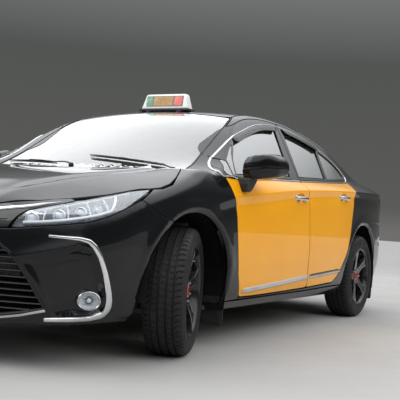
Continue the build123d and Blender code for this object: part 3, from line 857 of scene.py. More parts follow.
def box(lo, hi, r=0.0, mat=0, seg=2):
    """A block between two corners (s, x, z) with rounded edges."""
    bm = bmesh.new()
    bmesh.ops.create_cube(bm, size=1.0)
    lo, hi = np.array(lo, float), np.array(hi, float)
    for v in bm.verts:
        v.co = Vector(((lo + hi) / 2 + np.array(v.co[:]) * (hi - lo)).tolist())
    if r > 0:
        bmesh.ops.bevel(bm, geom=bm.edges[:], offset=min(r, 0.49 * float(min(hi - lo))), segments=seg, profile=0.5, affect='EDGES')
    bm.verts.ensure_lookup_table()
    o = Part()
    bm.normal_update()
    o.add([v.co[:] for v in bm.verts], [tuple(reversed([v.index for v in f.verts])) for f in bm.faces], None, mat)
    bm.free()
    return o


def slab(outline, axis, lo, hi, r=0.0, mat=0, seg=2):
    """An outline (two coordinates) pushed along an axis ('s', 'x', 'z') between lo and hi, edges rounded."""
    q = np.asarray(outline, float)
    if area2(q) < 0:
        q = q[::-1]
    place = {'s': lambda a, b, w: (w, a, b), 'x': lambda a, b, w: (a, w, b), 'z': lambda a, b, w: (a, b, w)}[axis]
    bm = bmesh.new()
    a = [bm.verts.new(place(u, v, lo)) for u, v in q]
    b = [bm.verts.new(place(u, v, hi)) for u, v in q]
    n = len(q)
    bm.faces.new(a)
    bm.faces.new(list(reversed(b)))
    for i in range(n):
        j = (i + 1) % n
        bm.faces.new((a[i], b[i], b[j], a[j]))
    if r > 0:
        rim = [e for e in bm.edges if (e.verts[0] in a and e.verts[1] in a) or (e.verts[0] in b and e.verts[1] in b)]
        bmesh.ops.bevel(bm, geom=rim, offset=r, segments=seg, profile=0.5, affect='EDGES', clamp_overlap=True)
    bmesh.ops.recalc_face_normals(bm, faces=bm.faces[:])
    bm.verts.index_update()
    o = Part()
    o.add([v.co[:] for v in bm.verts], [tuple(reversed([v.index for v in f.verts])) for f in bm.faces], None, mat)
    bm.free()
    return o


def turned(part, centre, axis, deg):
    """Turns a part about an axis (row order x, y, z direction) through centre (s, x, z)."""
    R = np.array(Matrix.Rotation(radians(deg), 3, Vector(axis)))
    c = np.array([centre[1], centre[0], centre[2]], float)
    o = Part()
    v = np.concatenate(part.v)[:, [1, 0, 2]]
    n = np.concatenate(part.n)[:, [1, 0, 2]]
    v = (v - c) @ R.T + c
    n = n @ R.T
    o.add(v[:, [1, 0, 2]], part.f, n[:, [1, 0, 2]], list(part.m))
    return o


def moved(part, ds=0.0, dx=0.0, dz=0.0):
    o = Part()
    o.add(np.concatenate(part.v) + np.array([ds, dx, dz]), part.f, np.concatenate(part.n), list(part.m))
    return o


# ---------------------------------------------------------------- materials
class Tree:
    def __init__(self, name):
        self.mat = bpy.data.materials.new(name)
        self.mat.use_nodes = True
        self.nt = self.mat.node_tree
        self.nt.nodes.clear()
        self.out = self.nt.nodes.new("ShaderNodeOutputMaterial")
        self.co = self.nt.nodes.new("ShaderNodeTexCoord").outputs["Object"]
        MATS[name] = self.mat

    def node(self, kind, ins=None, **props):
        n = self.nt.nodes.new("ShaderNode" + kind)
        for k, v in props.items():
            setattr(n, k, v)
        for k, v in (ins or {}).items():
            self.set(n, k, v)
        return n

    def set(self, n, key, v):
        sock = n.inputs[key]
        if isinstance(v, bpy.types.NodeSocket):
            self.nt.links.new(v, sock)
        elif isinstance(v, (tuple, list)) and len(v) == 3 and sock.type == 'RGBA':
            sock.default_value = (*v, 1)
        else:
            sock.default_value = v

    def noise(self, scale, detail=4.0, rough=0.55, stretch=None, distort=0.0):
        co = self.co
        if stretch:
            co = self.node("Mapping", {"Vector": co, "Scale": stretch}).outputs[0]
        return self.node("TexNoise", {"Vector": co, "Scale": scale, "Detail": detail, "Roughness": rough, "Distortion": distort}).outputs["Fac"]

    def span(self, v, a, b, c=0.0, d=1.0, smooth=True):
        n = self.node("MapRange", {"Value": v, "From Min": a, "From Max": b, "To Min": c, "To Max": d})
        n.interpolation_type = 'SMOOTHSTEP' if smooth else 'LINEAR'
        return n.outputs[0]

    def math(self, op, a, b=None, clamp=False):
        n = self.node("Math", operation=op, use_clamp=clamp)
        self.set(n, 0, a)
        if b is not None:
            self.set(n, 1, b)
        return n.outputs[0]

    def mix(self, fac, a, b):
        n = self.nt.nodes.new("ShaderNodeMix")
        n.data_type = 'RGBA'
        for i, v in ((0, fac), (6, a), (7, b)):
            if isinstance(v, bpy.types.NodeSocket):
                self.nt.links.new(v, n.inputs[i])
            elif i == 0:
                n.inputs[i].default_value = v
            else:
                n.inputs[i].default_value = (*v, 1)
        return n.outputs[2]

    def bump(self, height, strength, distance, chain=None):
        n = self.node("Bump", {"Height": height, "Strength": strength, "Distance": distance})
        if chain is not None:
            self.set(n, "Normal", chain)
        return n.outputs[0]

    def height(self):
        return self.node("SeparateXYZ", {"Vector": self.co}).outputs["Z"]

    def finish(self, shader):
        self.nt.links.new(shader, self.out.inputs["Surface"])
        return self.mat


def surface(name, base, tone=None, rough=0.4, rough_range=None, metal=0.0, coat=0.0, coat_rough=0.04, spec=0.5, scale=6.0, grain=None, worn=None, dust=0.0,
            dust_colour=(0.30, 0.26, 0.21), sheen=0.0, fine=None, stretch=None, emission=None, dirt_low=None):
    """A solid finish. tone: second colour in soft patches. grain: (scale, strength, distance) bump rows. worn: (colour, amount) along edges."""
    t = Tree(name)
    patches = t.noise(scale, 5.0, 0.6, stretch)
    colour = t.mix(t.span(patches, 0.35, 0.68), base, tone or tuple(c * 0.82 for c in base))
    if fine:
        colour = t.mix(t.math('MULTIPLY', t.span(t.noise(fine[0], 3.0, 0.6), 0.5, 0.78), fine[2] if len(fine) > 2 else 0.6), colour, fine[1])
    r_lo, r_hi = rough_range or (rough * 0.85, min(1.0, rough * 1.2))
    rr = t.span(t.noise(scale * 3.1, 5.0, 0.65, stretch), 0.3, 0.72, r_lo, r_hi)
    if worn:
        point = t.node("NewGeometry").outputs["Pointiness"]
        edge = t.math('MULTIPLY', t.span(point, 0.515, 0.60), t.span(t.noise(55.0, 4.0, 0.7), 0.38, 0.62))
        edge = t.math('MULTIPLY', edge, worn[1])
        colour = t.mix(edge, colour, worn[0])
    if dust:
        nz = t.node("SeparateXYZ", {"Vector": t.node("NewGeometry").outputs["Normal"]}).outputs["Z"]
        lie = t.math('MULTIPLY', t.span(nz, 0.1, 1.0), t.span(t.noise(9.0, 6.0, 0.7), 0.30, 0.75, 0.25, 1.0))
        low = t.span(t.height(), 0.62, 0.14)
        low = t.math('MULTIPLY', low, t.span(t.noise(14.0, 6.0, 0.75), 0.32, 0.70, 0.15, 1.0))
        d = t.math('MULTIPLY', t.math('MAXIMUM', lie, low), dust, True)
        colour = t.mix(d, colour, dust_colour)
        rr = t.math('ADD', rr, t.math('MULTIPLY', d, 0.55), True)
    nrm = None
    for row in (grain or []):
        h = t.noise(row[0], row[3] if len(row) > 3 else 3.0, 0.6, stretch)
        nrm = t.bump(h, row[1], row[2], nrm)
    ins = {"Base Color": colour, "Roughness": rr, "Metallic": metal, "Coat Weight": coat, "Coat Roughness": coat_rough, "Specular IOR Level": spec}
    if sheen:
        ins["Sheen Weight"] = sheen
    if nrm is not None:
        ins["Normal"] = nrm
    if emission:
        ins["Emission Color"] = emission[0]
        ins["Emission Strength"] = emission[1]
    b = t.node("BsdfPrincipled", ins)
    t.finish(b.outputs[0])
    return t.mat


def car_paint(name, base, tone, rough=0.35, dust=0.10, peel=0.006, fleck=None, dust_colour=(0.34, 0.30, 0.25), spec=0.10):
    t = Tree(name)
    patches = t.noise(2.2, 4.0, 0.5)
    colour = t.mix(t.span(patches, 0.3, 0.72), base, tone)
    if fleck:
        colour = t.mix(t.math('MULTIPLY', t.span(t.noise(900.0, 2.0, 0.5), 0.55, 0.8), 0.5), colour, fleck)
    film = t.span(t.noise(11.0, 7.0, 0.72), 0.30, 0.78, 0.1, 1.0)
    nz = t.node("SeparateXYZ", {"Vector": t.node("NewGeometry").outputs["Normal"]}).outputs["Z"]
    lie = t.math('MULTIPLY', t.span(nz, 0.2, 1.0, 0.15, 1.0), film)
    low = t.math('MULTIPLY', t.span(t.height(), 0.50, 0.16), t.span(t.noise(17.0, 7.0, 0.75, (1.0, 1.0, 2.2)), 0.34, 0.70))
    splash = t.math('MULTIPLY', t.span(t.height(), 0.62, 0.20), t.span(t.noise(130.0, 2.0, 0.5), 0.62, 0.72))
    d = t.math('MULTIPLY', t.math('MAXIMUM', t.math('MAXIMUM', lie, t.math('MULTIPLY', low, 2.6)), t.math('MULTIPLY', splash, 1.6)), dust, True)
    colour = t.mix(d, colour, dust_colour)
    rr = t.span(t.noise(7.0, 5.0, 0.6), 0.3, 0.7, rough * 0.85, rough * 1.2)
    cr = t.math('ADD', t.span(t.noise(5.0, 6.0, 0.7), 0.3, 0.75, 0.004, 0.022), t.math('MULTIPLY', d, 0.5), True)
    nrm = t.bump(t.noise(3.0, 2.0, 0.5), peel, 0.01)
    b = t.node("BsdfPrincipled", {"Base Color": colour, "Roughness": rr, "Coat Weight": 1.0, "Coat IOR": 1.42, "Coat Roughness": cr, "Coat Normal": nrm, "Normal": nrm, "Specular IOR Level": spec})
    t.finish(b.outputs[0])
    return t.mat


def thin_glass(name, tint=(0.78, 0.83, 0.80), dust=0.10, dark=0.0, reflect=1.0, dust_colour=(0.55, 0.54, 0.50)):
    """Window pane: see-through with a tint, mirror reflection by angle, a film of dust."""
    t = Tree(name)
    nrm = t.bump(t.noise(3.0, 2.0, 0.5), 0.02, 0.02)
    clear = t.node("BsdfTransparent", {"Color": tint})
    gloss = t.node("BsdfGlossy", {"Color": (1, 1, 1), "Roughness": 0.012, "Normal": nrm})
    fres = t.node("Fresnel", {"IOR": 1.52, "Normal": nrm}).outputs[0]
    fac = t.math('MULTIPLY', t.math('ADD', t.math('MULTIPLY', fres, 2.7), 0.02), reflect, True)
    m = t.node("MixShader", {0: fac})
    t.nt.links.new(clear.outputs[0], m.inputs[1])
    t.nt.links.new(gloss.outputs[0], m.inputs[2])
    film = t.math('MULTIPLY', t.span(t.noise(8.0, 8.0, 0.75), 0.35, 0.80, 0.12, 1.0), dust, True)
    specks = t.math('MULTIPLY', t.span(t.noise(160.0, 2.0, 0.5), 0.64, 0.74), dust * 1.5, True)
    cover = t.math('MAXIMUM', film, specks)
    dd = t.node("BsdfDiffuse", {"Color": dust_colour, "Roughness": 0.6})
    m2 = t.node("MixShader", {0: cover})
    t.nt.links.new(m.outputs[0], m2.inputs[1])
    t.nt.links.new(dd.outputs[0], m2.inputs[2])
    t.finish(m2.outputs[0])
    return t.mat


def lens_plastic(name, tint, rough=0.03, dust=0.06, bumps=None, glow=None, opaque=0.0, under=(0.2, 0.2, 0.2)):
    """A clear or coloured lamp cover."""
    t = Tree(name)
    nrm = t.bump(t.noise(30.0, 2.0, 0.5), 0.02, 0.002)
    if bumps:
        w = t.node("TexWave", {"Vector": t.co, "Scale": bumps[0], "Distortion": 0.0}, wave_type='BANDS', bands_direction=bumps[1])
        nrm = t.bump(w.outputs["Fac"], bumps[2], 0.002, nrm)
    clear = t.node("BsdfTransparent", {"Color": tint})
    gloss = t.node("BsdfGlossy", {"Color": (1, 1, 1), "Roughness": rough, "Normal": nrm})
    fres = t.node("Fresnel", {"IOR": 1.50, "Normal": nrm}).outputs[0]
    fac = t.math('MULTIPLY', fres, 0.42, True)
    body = t.node("BsdfPrincipled", {"Base Color": t.mix(t.span(t.noise(20.0, 4.0, 0.6), 0.3, 0.7), under, tuple(c * 0.7 for c in under)), "Roughness": 0.25, "Normal": nrm})
    m0 = t.node("MixShader", {0: opaque})
    t.nt.links.new(clear.outputs[0], m0.inputs[1])
    t.nt.links.new(body.outputs[0], m0.inputs[2])
    m = t.node("MixShader", {0: fac})
    t.nt.links.new(m0.outputs[0], m.inputs[1])
    t.nt.links.new(gloss.outputs[0], m.inputs[2])
    dd = t.node("BsdfDiffuse", {"Color": (0.45, 0.43, 0.40)})
    m2 = t.node("MixShader", {0: t.math('MULTIPLY', t.span(t.noise(12.0, 7.0, 0.75), 0.35, 0.8), dust, True)})
    t.nt.links.new(m.outputs[0], m2.inputs[1])
    t.nt.links.new(dd.outputs[0], m2.inputs[2])
    t.finish(m2.outputs[0])
    return t.mat


car_paint("black_paint", (0.0030, 0.0033, 0.0042), (0.0042, 0.0046, 0.0058), dust=0.007, fleck=(0.007, 0.007, 0.009), spec=0.03)
car_paint("yellow_paint", (0.90, 0.385, 0.001), (0.86, 0.355, 0.001), rough=0.5, dust=0.014, dust_colour=(0.60, 0.42, 0.16), spec=0.05)
car_paint("gloss_black", (0.0025, 0.0027, 0.0032), (0.0036, 0.0038, 0.0046), dust=0.007, spec=0.03)
car_paint("slat_black", (0.0030, 0.0032, 0.0038), (0.0046, 0.0048, 0.0056), dust=0.010, spec=0.9)
surface("silver_paint", (0.52, 0.53, 0.54), (0.45, 0.46, 0.47), rough=0.32, coat=0.6, dust=0.12, grain=[(60, 0.02, 0.001)])
surface("body_inner", (0.012, 0.013, 0.015), (0.022, 0.022, 0.023), rough=0.48, coat=0.25, dust=0.18, grain=[(90, 0.08, 0.0008)], worn=((0.12, 0.12, 0.12), 0.4))
surface("black_trim", (0.010, 0.010, 0.0105), (0.016, 0.016, 0.0165), rough=0.5, spec=0.35, dust=0.06, grain=[(700, 0.25, 0.0004), (24, 0.05, 0.004)], worn=((0.05, 0.05, 0.05), 0.4))
surface("rubber_seal", (0.012, 0.012, 0.012), (0.022, 0.021, 0.020), rough=0.7, dust=0.12, grain=[(220, 0.2, 0.0006)])
surface("tyre_rubber", (0.0085, 0.0085, 0.0090), (0.0150, 0.0145, 0.0138), rough=0.62, rough_range=(0.45, 0.75), spec=0.30, dust=0.07, dust_colour=(0.11, 0.10, 0.088),
        grain=[(240, 0.35, 0.0006), (38, 0.10, 0.003)], fine=(70.0, (0.024, 0.023, 0.021), 0.4), worn=((0.035, 0.033, 0.030), 0.5))
surface("chrome", (0.80, 0.81, 0.82), (0.66, 0.67, 0.69), rough=0.08, rough_range=(0.04, 0.20), metal=1.0, dust=0.06, grain=[(30, 0.03, 0.002)], worn=((0.45, 0.43, 0.40), 0.3))
surface("satin_chrome", (0.66, 0.67, 0.69), (0.54, 0.55, 0.57), rough=0.24, rough_range=(0.15, 0.38), metal=1.0, dust=0.10, grain=[(60, 0.04, 0.001)])
surface("wheel_black", (0.0045, 0.0045, 0.005), (0.0075, 0.0075, 0.008), rough=0.24, spec=0.25, coat=0.6, dust=0.05, dust_colour=(0.10, 0.09, 0.08), grain=[(300, 0.05, 0.0004)],
        worn=((0.10, 0.10, 0.10), 0.35))
surface("wheel_edge", (0.46, 0.47, 0.48), (0.30, 0.30, 0.31), rough=0.20, metal=1.0, dust=0.14, dust_colour=(0.14, 0.12, 0.10), stretch=(1, 1, 1), grain=[(120, 0.08, 0.0006)])
surface("caliper_red", (0.80, 0.012, 0.020), (0.66, 0.010, 0.016), rough=0.35, coat=0.4, dust=0.08, dust_colour=(0.12, 0.09, 0.08), grain=[(80, 0.15, 0.001)])
surface("cast_steel", (0.090, 0.086, 0.082), (0.14, 0.105, 0.078), rough=0.58, metal=0.7, dust=0.25, dust_colour=(0.17, 0.14, 0.11), grain=[(150, 0.4, 0.0012), (900, 0.2, 0.0004)],
        fine=(26.0, (0.17, 0.085, 0.045), 0.45), worn=((0.30, 0.29, 0.28), 0.5))
surface("disc_steel", (0.20, 0.195, 0.19), (0.14, 0.125, 0.115), rough=0.34, rough_range=(0.2, 0.45), metal=1.0, dust=0.12, grain=[(200, 0.25, 0.0006)], fine=(40.0, (0.20, 0.12, 0.08), 0.4))
surface("cabin_plastic", (0.030, 0.030, 0.032), (0.042, 0.042, 0.044), rough=0.62, dust=0.16, dust_colour=(0.20, 0.19, 0.17), grain=[(650, 0.30, 0.0005), (30, 0.04, 0.004)],
        worn=((0.10, 0.10, 0.10), 0.3))
surface("soft_black", (0.018, 0.018, 0.019), (0.028, 0.028, 0.029), rough=0.7, dust=0.10, grain=[(420, 0.35, 0.0006)])
surface("headliner", (0.34, 0.335, 0.32), (0.29, 0.285, 0.27), rough=0.9, grain=[(900, 0.5, 0.0006)], sheen=0.2)
surface("carpet", (0.022, 0.022, 0.023), (0.045, 0.043, 0.040), rough=0.95, dust=0.25, grain=[(1100, 0.9, 0.0012), (120, 0.3, 0.002)], sheen=0.3)
surface("liner_felt", (0.0055, 0.0055, 0.0055), (0.0100, 0.0095, 0.0090), rough=0.9, spec=0.1, dust=0.05, dust_colour=(0.13, 0.115, 0.095), grain=[(160, 0.7, 0.0025), (900, 0.5, 0.0006)])
surface("dark_metal", (0.035, 0.036, 0.038), (0.055, 0.052, 0.048), rough=0.5, metal=0.4, dust=0.25, grain=[(180, 0.3, 0.001)], worn=((0.22, 0.21, 0.20), 0.5))
# void_black is near black: on the radiator core and in the door shut line it is painted shade, on the dashboard screen
# it is the screen's own black.
surface("void_black", (0.004, 0.004, 0.004), (0.008, 0.008, 0.008), rough=0.9, grain=[(60, 0.1, 0.002)])
surface("lamp_silver", (0.82, 0.83, 0.85), (0.70, 0.71, 0.73), rough=0.28, coat=1.0, grain=[(70, 0.25, 0.003)])
surface("reflector", (0.90, 0.91, 0.92), (0.78, 0.80, 0.82), rough=0.10, rough_range=(0.06, 0.22), metal=1.0, grain=[(70, 0.25, 0.003)])
surface("amber", (0.65, 0.19, 0.015), (0.50, 0.14, 0.010), rough=0.2, coat=0.6, grain=[(300, 0.3, 0.001)])
surface("white_led", (0.86, 0.88, 0.90), (0.74, 0.77, 0.80), rough=0.18, coat=0.8, grain=[(240, 0.2, 0.001)])
surface("sign_white", (0.80, 0.80, 0.78), (0.70, 0.70, 0.68), rough=0.28, coat=0.4, dust=0.12, grain=[(50, 0.04, 0.002)], worn=((0.5, 0.49, 0.46), 0.4))
surface("sign_green", (0.010, 0.26, 0.10), (0.008, 0.19, 0.075), rough=0.22, coat=0.6, grain=[(200, 0.15, 0.001)], dust=0.08)
surface("sign_dark", (0.030, 0.022, 0.012), (0.052, 0.036, 0.014), rough=0.25, coat=0.6, grain=[(500, 0.3, 0.0008)], dust=0.06)
surface("sign_red", (0.72, 0.052, 0.012), (0.58, 0.035, 0.010), rough=0.22, coat=0.6, grain=[(200, 0.15, 0.001)], dust=0.08)
surface("plate_white", (0.78, 0.78, 0.76), (0.72, 0.72, 0.70), rough=0.4, dust=0.07, grain=[(400, 0.1, 0.0004)], worn=((0.35, 0.34, 0.32), 0.5))
surface("grey_strip", (0.46, 0.44, 0.40), (0.36, 0.34, 0.31), rough=0.35, coat=0.3, dust=0.20, grain=[(60, 0.06, 0.002)])
surface("tail_red", (0.42, 0.006, 0.010), (0.30, 0.004, 0.008), rough=0.10, coat=1.0, dust=0.05, grain=[(180, 0.25, 0.001)])
surface("tail_inner", (0.16, 0.014, 0.016), (0.10, 0.010, 0.012), rough=0.3, metal=0.5, grain=[(140, 0.4, 0.002)])
surface("brown_leather", (0.055, 0.020, 0.014), (0.075, 0.030, 0.020), rough=0.45, grain=[(260, 0.3, 0.0008)])
surface("seat_cloth", (0.030, 0.030, 0.033), (0.045, 0.045, 0.048), rough=0.88, grain=[(1400, 0.8, 0.0006), (60, 0.15, 0.003)], sheen=0.5, dust=0.10, fine=(900.0, (0.09, 0.09, 0.095), 0.5))
surface("seat_side", (0.020, 0.020, 0.021), (0.030, 0.030, 0.031), rough=0.55, grain=[(330, 0.5, 0.0008), (40, 0.15, 0.003)], dust=0.10)
surface("seam_thread", (0.30, 0.30, 0.31), (0.22, 0.22, 0.23), rough=0.8, grain=[(800, 0.5, 0.0005)])
surface("floor_pale", (0.36, 0.353, 0.343), (0.33, 0.323, 0.313), rough=0.75, scale=0.8, grain=[(90, 0.10, 0.002), (8, 0.03, 0.01)])
thin_glass("glass_front", (0.80, 0.85, 0.82), dust=0.10)
thin_glass("glass_side", (0.62, 0.68, 0.65), dust=0.06)
thin_glass("glass_rear", (0.34, 0.37, 0.36), dust=0.10)
lens_plastic("lamp_clear", (0.93, 0.95, 0.97), dust=0.05)
lens_plastic("lamp_smoke", (0.20, 0.21, 0.22), dust=0.04)
lens_plastic("visor_smoke", (0.10, 0.105, 0.11), dust=0.10, opaque=0.35, under=(0.015, 0.015, 0.016))
lens_plastic("tail_lens", (0.60, 0.02, 0.03), dust=0.05, bumps=(60.0, 'Z', 0.15))


# ---------------------------------------------------------------- shared outlines (s, z) or (s, x, z), mm
TOP_LINE = Spline([(1340, 996), (1366, 1020), (1421, 1064), (1551, 1145), (1702, 1229), (1833, 1279), (2023, 1321), (2238, 1344), (2484, 1352), (2600, 1352), (2800, 1343), (2950, 1327), (3100, 1301), (3240, 1262),
                   (3340, 1220), (3440, 1166), (3500, 1121), (3534, 1088)])


GLASS_LINE = Spline([(1350, 1007), (1451, 1066), (1553, 1127), (1619, 1160), (1720, 1193), (1820, 1223), (1950, 1260), (2081, 1291), (2220, 1313), (2359, 1326), (2484, 1331), (2620, 1327), (2819, 1309),
                     (3025, 1277), (3180, 1240), (3307, 1203), (3438, 1142), (3500, 1098), (3522, 1078)])


def top_rows(a, b, drop=0.0, r=40, every=42.0, line=None):
    """Rows along the upper door line from s = a to b, lowered by drop."""
    n = max(int(abs(b - a) / every), 1)
    ss = np.linspace(a, b, n + 1)
    return [(float(s), float((line or TOP_LINE)(s)) - drop, r) for s in ss]


FOOT_FRONT = [(1360, 903, 2), (1358, 801, 30), (1359, 749, 120), (1367, 696, 200), (1384, 595, 200), (1409, 493, 200), (1446, 389, 160), (1508, 262, 42), (1700, 260, 100), (2100, 265, 100)]
FOOT_REAR = [(3010, 290, 60), (3085, 332, 70), (3160, 395, 120), (3240, 510, 200), (3300, 650, 200), (3330, 785, 160), (3352, 900, 100), (3400, 988, 60), (3525, 1052, 30)]
DOOR_FRONT = FOOT_FRONT + [(2521, 273, 26), (2474, 420, 200), (2450, 604, 200), (2436, 720, 160), (2424, 800, 120), (2400, 905, 120), (2388, 962, 2), (2484, 1352, 26)] + top_rows(2440, 1400) + [(1366, 1018, 14)]
DOOR_REAR = [(2489, 1352, 26), (2393, 963, 2), (2405, 905, 120), (2429, 800, 120), (2441, 720, 160), (2455, 604, 200), (2479, 420, 200), (2526, 273, 26)] + FOOT_REAR + [(3534, 1087, 20)] + top_rows(3505, 2540)
HOLE = FOOT_FRONT + [(2518, 273, 100)] + FOOT_REAR + [(3534, 1087, 20)] + top_rows(3505, 1400) + [(1366, 1018, 14)]
WINDOW_FRONT = [(1406, 924, 12), (1700, 941, 300), (2262, 977, 14), (2340, 1130, 300), (2414, 1300, 22)] + top_rows(2380, 1630, 15, line=GLASS_LINE) + [(1582, 1128, 12), (1466, 1026, 120)]
QUARTER = [(1370, 920, 5), (1390, 922, 5), (1450, 1024, 100), (1556, 1116, 8), (1520, 1098, 60), (1478, 1073, 60), (1440, 1050, 60), (1376, 1008, 6)]
WINDOW_REAR = [(2414, 984, 14), (2700, 1000, 300), (2968, 1013, 10), (3020, 1120, 200), (3082, 1248, 12)] + top_rows(3050, 2570, 15, line=GLASS_LINE) + [(2530, 1300, 20), (2474, 1140, 300)]
QUARTER_REAR = [(2990, 1016, 8), (3250, 1033, 200), (3420, 1050, 40), (3474, 1078, 16)] + top_rows(3450, 3150, 15, line=GLASS_LINE) + [(3104, 1242, 10), (3044, 1120, 200)]
BAND = ((1.0, 0.0), (0.0, 1.0))


def arch(axle, r, a0, a1, k=40):
    """Points (s, z) round a wheel arch; angles from the front horizontal over the top."""
    t = np.radians(np.linspace(a0, a1, k))
    return [(float(axle - r * cos(v)), float(TYRE_R + r * sin(v)), 0) for v in t]


def ang_of(axle, s, z):
    return degrees(atan2(z - TYRE_R, axle - s))


def side_loop(rows, **k):
    q, f = loop2(rows, **k)
    return on_side(q), f


def split_at_belt(rows, lower, s0, s1):
    """A door outline cut by the belt line, lower or upper part, the belt edge added."""
    q, f = loop2(rows)
    z_belt = BELT(q[:, 0])
    keep = (q[:, 1] < z_belt + 0.5) if lower else (q[:, 1] > z_belt - 0.5)
    # rotate so that the kept run is in one piece
    k = len(q)
    start = next(i for i in range(k) if keep[i] and not keep[i - 1])
    idx = [(start + i) % k for i in range(k) if keep[(start + i) % k]]
    run = q[idx]
    a, b = run[-1][0], run[0][0]
    n = int(abs(a - b) / 9)
    ss = np.linspace(a, b, n + 1)[1:-1]
    belt = np.stack([ss, BELT(ss)], 1)
    return np.concatenate([run, belt])


def crease_line(s0, s1, dz=0.0, step=11.0):
    s = np.arange(s0, s1, step)
    return on_side(np.stack([s, CREASE(s) + dz], 1))


CREASES = [crease_line(380, 4080, dz) for dz in (-12, -5, 0, 5, 12)]


# ---------------------------------------------------------------- doors
HANDLE_AT = {'front': (2268.0, 849.0), 'rear': (3104.0, 897.0)}
CIRCLE = np.linspace(0, 2 * pi, 40)


def build_door(which):
    rows = DOOR_FRONT if which == 'front' else DOOR_REAR
    win = WINDOW_FRONT if which == 'front' else WINDOW_REAR
    low2 = split_at_belt(rows, True, 0, 0)
    lower = on_side(low2)
    upper = on_side(split_at_belt(rows, False, 0, 0))
    hs, hz = HANDLE_AT[which]
    rings = [np.stack([hs + 6 + 66 * k_ * np.cos(CIRCLE), hz + 35 * k_ * np.sin(CIRCLE)], 1) for k_ in (0.35, 0.7, 0.9, 1.05)]

    def cup(p):
        d = np.hypot((p[:, 0] - hs - 6) / 66.0, (p[:, 2] - hz) / 35.0)
        return 19.0 * (1 - step(d, 0.45, 1.0))
    skin = panel(SIDE, lower, g=15.0, r=2.6, gap=1.6, back=15.0, lines=CREASES + [on_side(r_) for r_ in rings], mats=(0, 1), relief=cup)
    # the box behind the skin, with the card on it
    q = SIDE.uv(lower)
    if area2(q) < 0:
        q, low2 = q[::-1], low2[::-1]
    on_belt = np.abs(low2[:, 1] - BELT(low2[:, 0])) < 1.0
    q = inset(q, np.where(on_belt & np.roll(on_belt, -1), 3.0, 44.0))

    def card(p, n, uv):
        zb = BELT(p[:, 0])
        dep = 34 + 12 * step(p[:, 2], 820, 760) * step(p[:, 2], 330, 420) - 9 * step(p[:, 2], 640, 610) * step(p[:, 2], 395, 430) + 9 * np.exp(-((p[:, 2] - (zb - 150)) / 26.0) ** 2)
        return p - n * dep[:, None]
    core = panel(SIDE, q, g=19.0, r=4.0, gap=0.0, back=40.0, offset=-15.5, mats=(0, 1), inner_fn=card)
    win_p = on_side(loop2(win)[0])
    holes = [(win_p, None, 0.0)]
    small_p = on_side(loop2(QUARTER if which == 'front' else QUARTER_REAR)[0])
    holes.append((small_p, None, 0.0))
    frame_ = panel(SIDE, upper, holes=holes, g=14.0, r=2.6, gap=1.6, back=18.0, mats=(0, 1))
    glass = panel(SIDE, win_p, g=26.0, r=0.4, gap=-8.0, back=3.6, offset=-8.0, mats=(0, 0))
    glass.extend(panel(SIDE, small_p, g=26.0, r=0.4, gap=-6.0, back=3.6, offset=-7.0, mats=(0, 0)))
    return skin, core, frame_, glass, lower, upper, win_p


DOORS = {}
for which in ('front', 'rear'):
    skin, core, frame_, glass, lower, upper, win_p = build_door(which)
    DOORS[which] = (lower, upper, win_p)
    bodies = [f"door_{which}_left", f"door_{which}_right"]
    both(f"door_skin_{which}", skin, bodies, ["yellow_paint", "body_inner"], ((f"door_{which}_left",), (f"door_{which}_right",)))
    both(f"door_core_{which}", core, bodies, ["body_inner", "cabin_plastic"])
    both(f"door_frame_{which}", frame_, bodies, ["gloss_black", "cabin_plastic"])
    both(f"door_pane_{which}", glass, bodies, ["glass_side"], ((f"door_glass_{which}_left",), (f"door_glass_{which}_right",)))

# the yellow beak ahead of the front door, on the body
beak_rows = [(1259, 903.5, 2), (1294, 856, 60), (1326, 801, 40), (1354, 757, 6), (1358, 801, 30), (1360, 903.5, 2)]
beak = panel(SIDE, side_loop(beak_rows)[0], g=9.0, r=1.4, gap=0.6, flange=8.0, lines=CREASES)
both("door_beak", beak, ["root", "root"], ["yellow_paint"])

# ---------------------------------------------------------------- front fender with the foot of the pillar
la0 = ang_of(AXLE_FRONT, 745, 652)
la1 = 180 - degrees(atan2(-(245 - TYRE_R), 381.4))
fender3 = [(518, 824, 744, 3), (580, 806, 770, 60), (642, 785, 793, 8), (684, 812, 799, 30), (764, 817, 823, 70), (869, 786, 872, 80), (980, 738, 910, 80), (1057, 697, 928, 4), (1080, 655, 938, 8),
           (1165, 655, 952, 60), (1262, 652, 970, 200), (1369, 634, 1030, 200), (1402, 644, 1048, 4), (1380, 676, 1034, 40), (1347, 708, 1007, 4), (1310, 715, 985, 20), (1281, 738, 969, 12),
           (1262, 800, 935, 20), (1259, 853, 903.5, 2)]
f3, _ = loop3(fender3, closed=False)
edge_rows = [(1259, 903.5, 2), (1294, 856, 60), (1326, 801, 40), (1354, 757, 12), (1359, 749, 120), (1367, 696, 200), (1384, 595, 200), (1409, 493, 200), (1446, 389, 160), (1508, 262, 6), (1512, 250, 4),
             (1321, 246, 3)]
e2, _ = loop2(edge_rows, closed=False)
arc2 = np.array(arch(AXLE_FRONT, 388.0, 190.4, la0, 90))[:, :2]
line2, _ = loop2([(745, 652), (688, 668, 60), (617, 694, 60), (549, 722, 40), (518, 744)], closed=False)
fl = np.concatenate([f3[:-1], on_side(e2[:-1]), on_side(arc2), on_side(line2[1:-1])])
fender = panel(FENDER, fl, g=13.0, r=2.6, gap=1.8, back=None, flange=16.0, lines=CREASES)
both("front_fender", fender, ["root", "root"], ["black_paint"], (("front_fenders",), ()))

